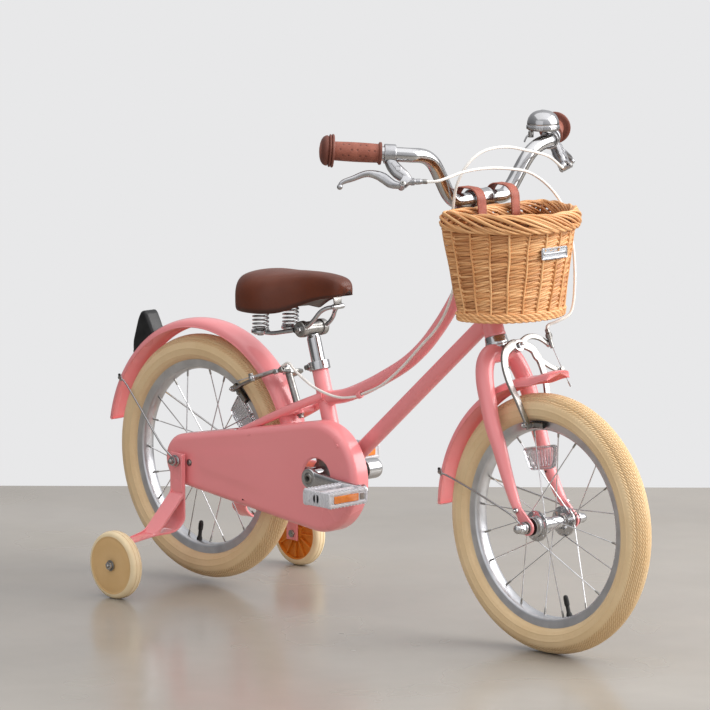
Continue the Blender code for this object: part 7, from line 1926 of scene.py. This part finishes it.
def straps():
    for side, word in SIDES:
        form = Form()
        y = side * 0.0366
        loop = hull([(0.6190, 0.6860, 0.0195), (0.6355, 0.6860, 0.0190), (0.6400, 0.6640, 0.0165)], 72)
        line = spaced(np.vstack([loop, loop[:1]]), 130)[:-1]
        normal = offset(line, -1.0) - line
        normal /= np.linalg.norm(normal, axis=1)[:, None]
        rings = []
        half, thick = 0.0090, 0.0010
        for (x, z), (nx, nz) in zip(line, normal):
            ring = []
            for a, h in ((-1, -1), (-0.97, -1), (0.97, -1), (1, -1), (1.0, 0.2), (0.97, 0.8), (0.90, 1.0), (0.80, 0.72), (0.74, 1.0), (0, 1.06), (-0.74, 1.0), (-0.80, 0.72), (-0.90, 1.0), (-0.97, 0.8),
                         (-1.0, 0.2)):
                ring.append((x + nx * h * thick, y + a * half, z + nz * h * thick))
            rings.append(ring)
        rings = np.array(rings)
        tint = np.zeros(rings.shape[:2])
        # painted shade: the inner face and the two creases are painted darker
        tint[:, 0:5] = 0.6
        tint[:, [7, 11]] = 0.5
        length = np.arange(len(line)) * 0.0012
        loft(form, rings, True, None, "strap", tint, np.repeat(np.stack([length, length * 0, length * 0], 1)[:, None], rings.shape[1], 1))
        # stitches along both edges
        out_line = line + normal * (thick * 0.92)
        for k in range(0, len(line) - 1, 3):
            for a in (-0.80, 0.80):
                p0 = vec(out_line[k][0], y + a * half, out_line[k][1])
                p1 = vec(out_line[(k + 1) % len(line)][0], y + a * half, out_line[(k + 1) % len(line)][1])
                p2 = vec(out_line[(k + 2) % len(line)][0], y + a * half, out_line[(k + 2) % len(line)][1])
                tube(form, [p0, p1, p2 * 0.4 + p1 * 0.6], 0.00034, 6, "stitch", ends="round")
        # the buckle inside the basket, on the strap's lower run
        foot = vec(0.6420, y, 0.6478)
        for a in (-1, 1):
            tube(form, [foot + vec(-0.007, a * 0.0096, -0.0020), foot + vec(0.006, a * 0.0096, -0.0016)], 0.0011, 10, "steel", ends="round")
        for b_x in (-0.007, 0.006):
            tube(form, [foot + vec(b_x, -0.0096, -0.0018), foot + vec(b_x, 0.0096, -0.0018)], 0.0011, 10, "steel", ends="round")
        make(form, "leather_strap_" + word, "steering", "basket_strap_" + word, sharp=50)


straps()


# ====================================================================== drive
def chain_and_sprockets():
    pitch = 0.0127
    form = Form()
    centre_f, centre_r = BB, REAR_AXLE
    rf, rr = 0.05671, 0.03255
    dist = np.linalg.norm(centre_f - centre_r)
    lean = atan2(BB[2] - REAR_AXLE[2], BB[0] - REAR_AXLE[0])
    spread = acos((rr - rf) / dist)
    back = [(REAR_AXLE[0] + rr * cos(a), REAR_AXLE[2] + rr * sin(a)) for a in np.linspace(lean + spread, lean + 2 * pi - spread, 90)]
    front = [(BB[0] + rf * cos(a), BB[2] + rf * sin(a)) for a in np.linspace(lean - spread, lean + spread, 130)]
    path = np.array(back + front + back[:1])
    total = np.sum(np.hypot(*np.diff(path, axis=0).T))
    links = int(round(total / pitch / 2)) * 2
    pins = spaced(path, links + 1)[:-1]
    for k in range(links):
        a, b = pins[k], pins[(k + 1) % links]
        outer = k % 2 == 0
        d = unit(b - a)
        nrm = vec(-d[1], d[0])
        shape = []
        for s in np.linspace(-pi / 2, pi / 2, 8):
            shape.append(b + 0.0040 * (d * cos(s) + nrm * sin(s)))
        shape.append((a + b) / 2 + nrm * 0.0029)
        for s in np.linspace(pi / 2, 3 * pi / 2, 8):
            shape.append(a + 0.0040 * (d * cos(s) + nrm * sin(s)))
        shape.append((a + b) / 2 - nrm * 0.0029)
        for side in (-1, 1):
            y0 = -0.0400 + side * (0.0026 if outer else 0.0016)
            slab(form, np.array(shape), y0 - 0.0005, y0 + 0.0005, on_y, [], 0.0002, 1, "dark_steel")
        p = vec(a[0], 0, a[1])
        tube(form, [p + Y * -0.0435, p + Y * -0.0365], 0.0018, 10, "steel", ends="round")
        lathe(form, [(-0.0414, 0.0018), (-0.0414, 0.0037), (-0.0386, 0.0037), (-0.0386, 0.0018)], p, Y, 14, "steel")
    make(form, "roller_chain", "frame", "chain", sharp=40)

    def toothed(teeth, pitch_r):
        pts = []
        for k in range(teeth):
            base = 2 * pi * k / teeth
            for share, r in ((-0.50, -0.0036), (-0.34, -0.0030), (-0.20, 0.0004), (-0.06, 0.0024), (0.06, 0.0024), (0.20, 0.0004), (0.34, -0.0030)):
                w = base + share * 2 * pi / teeth
                pts.append(((pitch_r + r) * cos(w), (pitch_r + r) * sin(w)))
        return np.array(pts)

    cog = Form()
    shape = toothed(16, 0.03255) + vec(REAR_AXLE[0], REAR_AXLE[2])
    slab(cog, shape, -0.0414, -0.0386, on_y, [circle(REAR_AXLE[0], REAR_AXLE[2], 0.0156, 40)], 0.0004, 1, "steel")
    lathe(cog, [(-0.0424, 0.0153), (-0.0424, 0.0218), (-0.0418, 0.0225), (-0.0331, 0.0225), (-0.0325, 0.0218), (-0.0325, 0.0153)], REAR_AXLE, Y, 48, "dark_steel", round_off=0.0004)
    make(cog, "rear_cog", "freewheel", "rear_sprocket", sharp=40)

    # cranks, with the chainring on the right one
    for side, word, end in ((-1, "right", vec(0.42794, 0, 0.2135)), (1, "left", vec(0.20006, 0, 0.2255))):
        form = Form()
        s = Y * side
        way = unit(end - BB)
        mid = 0.0695
        line = np.array([BB + way * t + s * mid for t in np.linspace(0, CRANK_LENGTH, 30)])
        widths = np.interp(np.linspace(0, 1, 30), [0, 0.15, 0.5, 0.9, 1], [0.0300, 0.0235, 0.0190, 0.0175, 0.0205])
        thick = np.interp(np.linspace(0, 1, 30), [0, 0.2, 1], [0.0110, 0.0105, 0.0100])
        bar(form, line, widths, thick, Y, "chrome", corner=0.75, per=5)
        lo = 0.0385 if side < 0 else 0.0450
        lathe(form, [(lo, 0.0092), (lo, 0.0155), (lo + 0.0010, 0.0165), (0.0700, 0.0165), (0.0738, 0.0160), (0.0752, 0.0148), (0.0752, 0.0092)], BB, s, 56, "chrome", round_off=0.0006)
        lathe(form, [(0.0640, 0.0), (0.0640, 0.0104), (0.0650, 0.0112), (0.0744, 0.0112), (0.0752, 0.0104), (0.0752, 0.0054), (0.0730, 0.0050), (0.0730, 0.0)], BB + way * CRANK_LENGTH, s, 44, "chrome", round_off=0.0005)
        if side < 0:
            ring = toothed(28, 0.05671) + vec(BB[0], BB[2])
            windows = []
            for k in range(5):
                base = 2 * pi * k / 5
                arc = [(0.0465 * cos(base + w), 0.0465 * sin(base + w)) for w in np.linspace(-0.42, 0.42, 10)]
                arc += [(0.0260 * cos(base + w), 0.0260 * sin(base + w)) for w in np.linspace(0.30, -0.30, 6)]
                windows.append(fillet(np.array(arc) + vec(BB[0], BB[2]), 0.003, 3))
            slab(form, ring, -0.0414, -0.0386, on_y, windows + [circle(BB[0], BB[2], 0.0100, 40)], 0.0004, 1, "steel")
        make(form, "crank_arm_" + word, "crankset", "crank_" + word, sharp=38)
    form = Form()
    lathe(form, [(-0.0690, 0.0), (-0.0690, 0.0088), (0.0690, 0.0088), (0.0690, 0.0)], BB, Y, 32, "steel", round_off=0.0005)
    for side in (-1, 1):
        # the bolt in a pale cap, with a hexagon socket drawn as a dark hexagon: painted shade in the socket
        lathe(form, [(0.0688, 0.0), (0.0688, 0.0088), (0.0745, 0.0088), (0.0765, 0.0080), (0.0770, 0.0062), (0.0770, 0.0048), (0.0742, 0.0046), (0.0742, 0.0)], BB, Y * side, 44, "steel", round_off=0.0003)
        nut(form, BB + Y * side * 0.0738, Y * side, 0.0085, 0.0012, 0, "dark_steel")
    make(form, "crank_spindle", "crankset", "bottom_bracket_spindle")


def pedals():
    for side, word, at in ((-1, "right", vec(0.42794, 0, 0.2135)), (1, "left", vec(0.20006, 0, 0.2255))):
        form = Form()
        s = Y * side
        lathe(form, [(0.0740, 0.0), (0.0740, 0.0078), (0.0800, 0.0080), (0.0822, 0.0070), (0.0826, 0.0)], at, s, 28, "steel", round_off=0.0004)
        nut(form, at + s * 0.0755, s, 0.0158, 0.0046, 0, "steel")
        lathe(form, [(0.0824, 0.0), (0.0824, 0.0050), (0.1600, 0.0046), (0.1640, 0.0)], at, s, 24, "steel")
        # body: two end plates, a centre barrel and two toothed tread bars
        barrel = [(0.0842, 0.0), (0.0842, 0.0094), (0.0860, 0.0104), (0.1640, 0.0098), (0.1668, 0.0080), (0.1668, 0.0)]
        lathe(form, barrel, at, s, 36, "pedal", round_off=0.0012)
        end_shape = fillet([(-0.0290, -0.0118), (0.0290, -0.0118), (0.0300, -0.0040), (0.0300, 0.0040), (0.0290, 0.0118), (-0.0290, 0.0118), (-0.0300, 0.0040), (-0.0300, -0.0040)], 0.0030, 4) + vec(at[0], at[2])
        for lo, hi in ((0.0842, 0.0885), (0.1625, 0.1668)):
            slab(form, end_shape, *sorted((side * lo, side * hi)), on_y, [], 0.0010, 3, "pedal")
        # ribs on the outer end
        for k in range(-3, 4):
            x = 0.0078 * k
            c = at + s * 0.1671 + vec(x, 0, 0)
            bar(form, [c - Z * 0.0100, c, c + Z * 0.0100], [0.0026] * 3, [0.0016] * 3, Y, "pedal", per=2)
        for front in (-1, 1):
            x0 = at[0] + front * 0.0262
            # a frame of two bars with a reflector between them
            for lift in (-1, 1):
                line = np.array([vec(x0, 0, at[2] + lift * 0.0092) + s * y for y in np.linspace(0.0860, 0.1650, 20)])
                bar(form, line, np.full(20, 0.0072), np.full(20, 0.0052), Z, "pedal", corner=0.4)
                for k in range(11):
                    y = 0.0905 + 0.0072 * k
                    c = vec(x0, 0, at[2] + lift * 0.0118) + s * y
                    bar(form, [c - vec(0.0034, 0, 0), c, c + vec(0.0034, 0, 0)], [0.0034, 0.0034, 0.0034], [0.0028] * 3, Z, "pedal", per=2)
            c = vec(x0 + front * 0.0020, 0, at[2])
            box = on_plane(c, s, Z, vec(front, 0, 0))
            shape = fillet([(0.0880, -0.0070), (0.1640, -0.0070), (0.1640, 0.0070), (0.0880, 0.0070)], 0.002, 3)
            slab(form, shape, -0.0040, 0.0006, box, [], 0.0008, 2, "pedal")
            lens = fillet([(0.1040, -0.0058), (0.1560, -0.0058), (0.1560, 0.0058), (0.1040, 0.0058)], 0.0016, 3)
            slab(form, lens, 0.0004, 0.0022, box, [], 0.0005, 2, "amber")
            square = fillet([(0.0905, -0.0050), (0.1005, -0.0050), (0.1005, 0.0050), (0.0905, 0.0050)], 0.0016, 3)
            slab(form, square, 0.0004, 0.0014, box, [], 0.0004, 2, "steel")
            for lift in (-1, 1):
                line = np.array([vec(at[0] + front * t, 0, at[2]) + s * (0.125 + lift * 0.018) for t in np.linspace(0.006, 0.0255, 6)])
                bar(form, line, np.full(6, 0.0050), np.full(6, 0.0100), Z, "pedal", corner=0.3)
        make(form, "pedal_body_" + word, "pedal_r" if side < 0 else "pedal_l", "pedal_" + word, sharp=38)


chain_and_sprockets()
pedals()


# ====================================================================== training wheels
def training_wheels():
    for side, word in SIDES:
        s = Y * side
        form = Form()
        outline = fillet([(0.0695, 0.2210), (0.0695, 0.1570), (0.1270, 0.0995), (0.1770, 0.0905), (0.1880, 0.0840), (0.1895, 0.0800), (0.1895, 0.0436), (0.1862, 0.0436), (0.1862, 0.0790), (0.1755, 0.0872),
                          (0.1300, 0.0935), (0.1000, 0.0935), (0.0880, 0.0950), (0.0790, 0.0995), (0.0695, 0.1085), (0.0665, 0.1140), (0.0665, 0.2210)],
                         [0.001, 0.008, 0.012, 0.012, 0.004, 0.003, 0.001, 0.001, 0.004, 0.004, 0.010, 0.008, 0.006, 0.006, 0.005, 0.003, 0.001], 4)
        window = fillet([(0.0698, 0.1500), (0.0698, 0.1155), (0.0720, 0.1110), (0.0810, 0.1025), (0.0895, 0.0982), (0.1000, 0.0967), (0.1190, 0.0968), (0.1225, 0.0980)], 0.004, 4)

        def place(p, h, side=side):
            y, z = p[:, 0], p[:, 1]
            h = np.broadcast_to(h, len(p))
            taper = np.interp(y, [0.120, 0.150, 0.190], [1.0, 0.80, 0.74])
            # a pressed web: the middle of the leg is drawn in a little
            return np.stack([0.0015 + h * taper, side * y, z], axis=1)

        # the pressed leg as two thin walls joined by its edge flange
        slab(form, outline, 0.0130, 0.0163, place, [window], 0.0006, 2, "pink")
        slab(form, outline, -0.0165, -0.0132, place, [window], 0.0006, 2, "pink")
        web = [(0.0681, 0.2190), (0.0681, 0.1560), (0.0690, 0.1120), (0.0800, 0.1005), (0.0890, 0.0966), (0.1000, 0.0951), (0.1300, 0.0951), (0.1760, 0.0889), (0.1871, 0.0815), (0.1879, 0.0440)]
        line = smooth([vec(0.0, side * y, z) for y, z in fillet(web, 0.006, 3, cyclic=False)], 70)
        bar(form, line, np.interp(line[:, 2], [0.08, 0.09, 0.12], [0.0230, 0.0270, 0.0310]), np.full(70, 0.0024), np.array([unit(np.cross(q, (1, 0, 0))) for q in frames(line)[0]]), "pink", corner=0.3)
        high = [(0.0690, 0.1540), (0.0760, 0.1490), (0.1245, 0.1005), (0.1330, 0.0960)]
        line = smooth([vec(0.0, side * y, z) for y, z in high], 26)
        bar(form, line, np.full(26, 0.0300), np.full(26, 0.0022), np.array([unit(np.cross(q, (1, 0, 0))) for q in frames(line)[0]]), "pink", corner=0.3)
        # the slotted face behind the axle nut, with a turned-in edge in front
        slab(form, fillet([(-0.0160, 0.1560), (0.0160, 0.1560), (0.0160, 0.2206), (-0.0160, 0.2206)], 0.004, 4), *sorted((side * 0.0664, side * 0.0694)), on_y,
             [fillet([(-0.0034, 0.1770), (0.0034, 0.1770), (0.0034, 0.2010), (-0.0034, 0.2010)], 0.0033, 4)], 0.0006, 2, "pink")
        slab(form, fillet([(0.0680, 0.1560), (0.0735, 0.1590), (0.0735, 0.2180), (0.0680, 0.2206)], 0.0012, 3), 0.0138, 0.0165, lambda p, h, side=side: np.stack([np.broadcast_to(h, len(p)), side * p[:, 0], p[:, 1]], 1),
             [], 0.0005, 2, "pink")
        # wheel bolt, washers and nuts
        at = flip(TRAINER, side)
        tube(form, [vec(at[0], side * 0.184, at[2]), vec(at[0], side * 0.2200, at[2])], 0.0046, 20, "steel")
        nut(form, vec(at[0], side * 0.1835, at[2]), s, 0.0135, 0.0045, 0, "steel")
        lathe(form, [(0.1896, 0.0), (0.1896, 0.0076), (0.1906, 0.0076), (0.1908, 0.0)], vec(at[0], 0, at[2]), s, 28, "steel")
        lathe(form, [(0.2150, 0.0), (0.2150, 0.0086), (0.2162, 0.0088), (0.2166, 0.0)], vec(at[0], 0, at[2]), s, 36, "steel", round_off=0.0002)
        nut(form, vec(at[0], side * 0.2164, at[2]), s, 0.0142, 0.0040, 0, "chrome")
        tube(form, [vec(at[0], side * 0.2195, at[2]), vec(at[0], side * 0.2215, at[2])], 0.0030, 18, "steel", ends="round")
        make(form, "training_bracket_" + word, "frame", "training_wheel_bracket_" + word, sharp=34)

        wheel = Form()
        R, half = 0.0546, 0.01125
        y0 = 0.2033
        outer = [(y0 + 0.0100, 0.0060), (y0 + 0.0100, 0.0100), (y0 + 0.0104, 0.0112), (y0 + 0.0106, 0.0200), (y0 + 0.0108, 0.0330), (y0 + 0.0109, 0.0420), (y0 + 0.0106, 0.0436), (y0 + 0.0106, 0.0444), (y0 + 0.0110, 0.0452)]
        tread = [(y0 + 0.0112, 0.0470), (y0 + 0.0104, 0.0505), (y0 + 0.0086, 0.0530), (y0 + 0.0050, 0.0543), (y0, 0.0546), (y0 - 0.0050, 0.0543), (y0 - 0.0086, 0.0530), (y0 - 0.0104, 0.0505), (y0 - 0.0112, 0.0470)]
        inner = [(y0 - 0.0112, 0.0445), (y0 - 0.0110, 0.0425), (y0 - 0.0052, 0.0412), (y0 - 0.0050, 0.0385), (y0 - 0.0050, 0.0170), (y0 - 0.0056, 0.0150), (y0 - 0.0108, 0.0130), (y0 - 0.0112, 0.0110), (y0 - 0.0112, 0.0060)]
        profile = outer + tread + inner
        mats = ["trainer_face"] * (len(outer) - 0) + ["trainer_tread"] * (len(tread)) + ["orange"] * (len(inner) - 1) + ["orange"]
        steps = 96
        lathe(wheel, profile, vec(at[0], 0, at[2]), s, steps, mats[: len(profile)])
        # ribs on the hollow inner side and shallow ones outside
        for k in range(12):
            w = 2 * pi * k / 12
            out = vec(cos(w), 0, sin(w))
            c0 = vec(at[0], 0, at[2]) + s * (y0 - 0.0062)
            line = np.array([c0 + out * r for r in np.linspace(0.0140, 0.0420, 8)])
            bar(wheel, line, np.full(8, 0.0024), np.full(8, 0.0080), Y, "orange", corner=0.3, per=3)
        for k in range(2):
            y = y0 + (0.0036 if k else -0.0036)
            lathe(wheel, [(y - 0.0007, 0.0538), (y - 0.0004, 0.0548), (y + 0.0004, 0.0548), (y + 0.0007, 0.0538)], vec(at[0], 0, at[2]), s, 96, "trainer_tread", tint=0.5)
        make(wheel, "training_wheel_" + word + "_moulding", "trainer_r" if side < 0 else "trainer_l", "training_wheel_" + word, sharp=36)


training_wheels()


def rear_axle_fittings():
    form = Form()
    tube(form, [REAR_AXLE - Y * 0.0830, REAR_AXLE + Y * 0.0830], 0.0046, 20, "steel", ends="round")
    for side in (-1, 1):
        s = Y * side
        lathe(form, [(0.0440, 0.0046), (0.0440, 0.0074), (0.0494, 0.0072), (0.0496, 0.0046)], REAR_AXLE, s, 28, "dark_steel", round_off=0.0003)
        lathe(form, [(0.0543, 0.0), (0.0543, 0.0092), (0.0553, 0.0094), (0.0557, 0.0082), (0.0563, 0.0)], REAR_AXLE, s, 32, "steel", round_off=0.0002)
        nut(form, REAR_AXLE + s * 0.0556, s, 0.0168, 0.0104, 0, "steel")
        lathe(form, [(0.0723, 0.0), (0.0723, 0.0094), (0.0733, 0.0096), (0.0739, 0.0084), (0.0743, 0.0)], REAR_AXLE, s, 36, "chrome", round_off=0.0002)
        nut(form, REAR_AXLE + s * 0.0736, s, 0.0172, 0.0068, 0, "chrome")
    make(form, "rear_axle_and_nuts", "frame", "rear_axle")


rear_axle_fittings()

# ====================================================================== the look of every CAD node that no piece replaces
DEFAULT = {"paint": "pink", "chrome": "chrome", "alloy": "alloy", "steel": "steel", "tyre": "tyre", "trainer": "trainer_tread", "saddle": "leather", "grip": "grip", "strap": "strap",
           "wicker": "wicker", "pad": "rubber", "reflector_housing": "black", "pedal_plastic": "pedal", "cable": "housing"}
NODE_LOOK = {}
for row in frame["record"].get("materials", []):
    for n in row.get("nodes", []) or []:
        NODE_LOOK[n] = DEFAULT.get(row.get("slot"), "steel")
for name, node in frame["nodes"].items():
    if not node.hide_render:
        for s in node.material_slots:
            s.material = LOOKS[NODE_LOOK.get(name, "steel")]
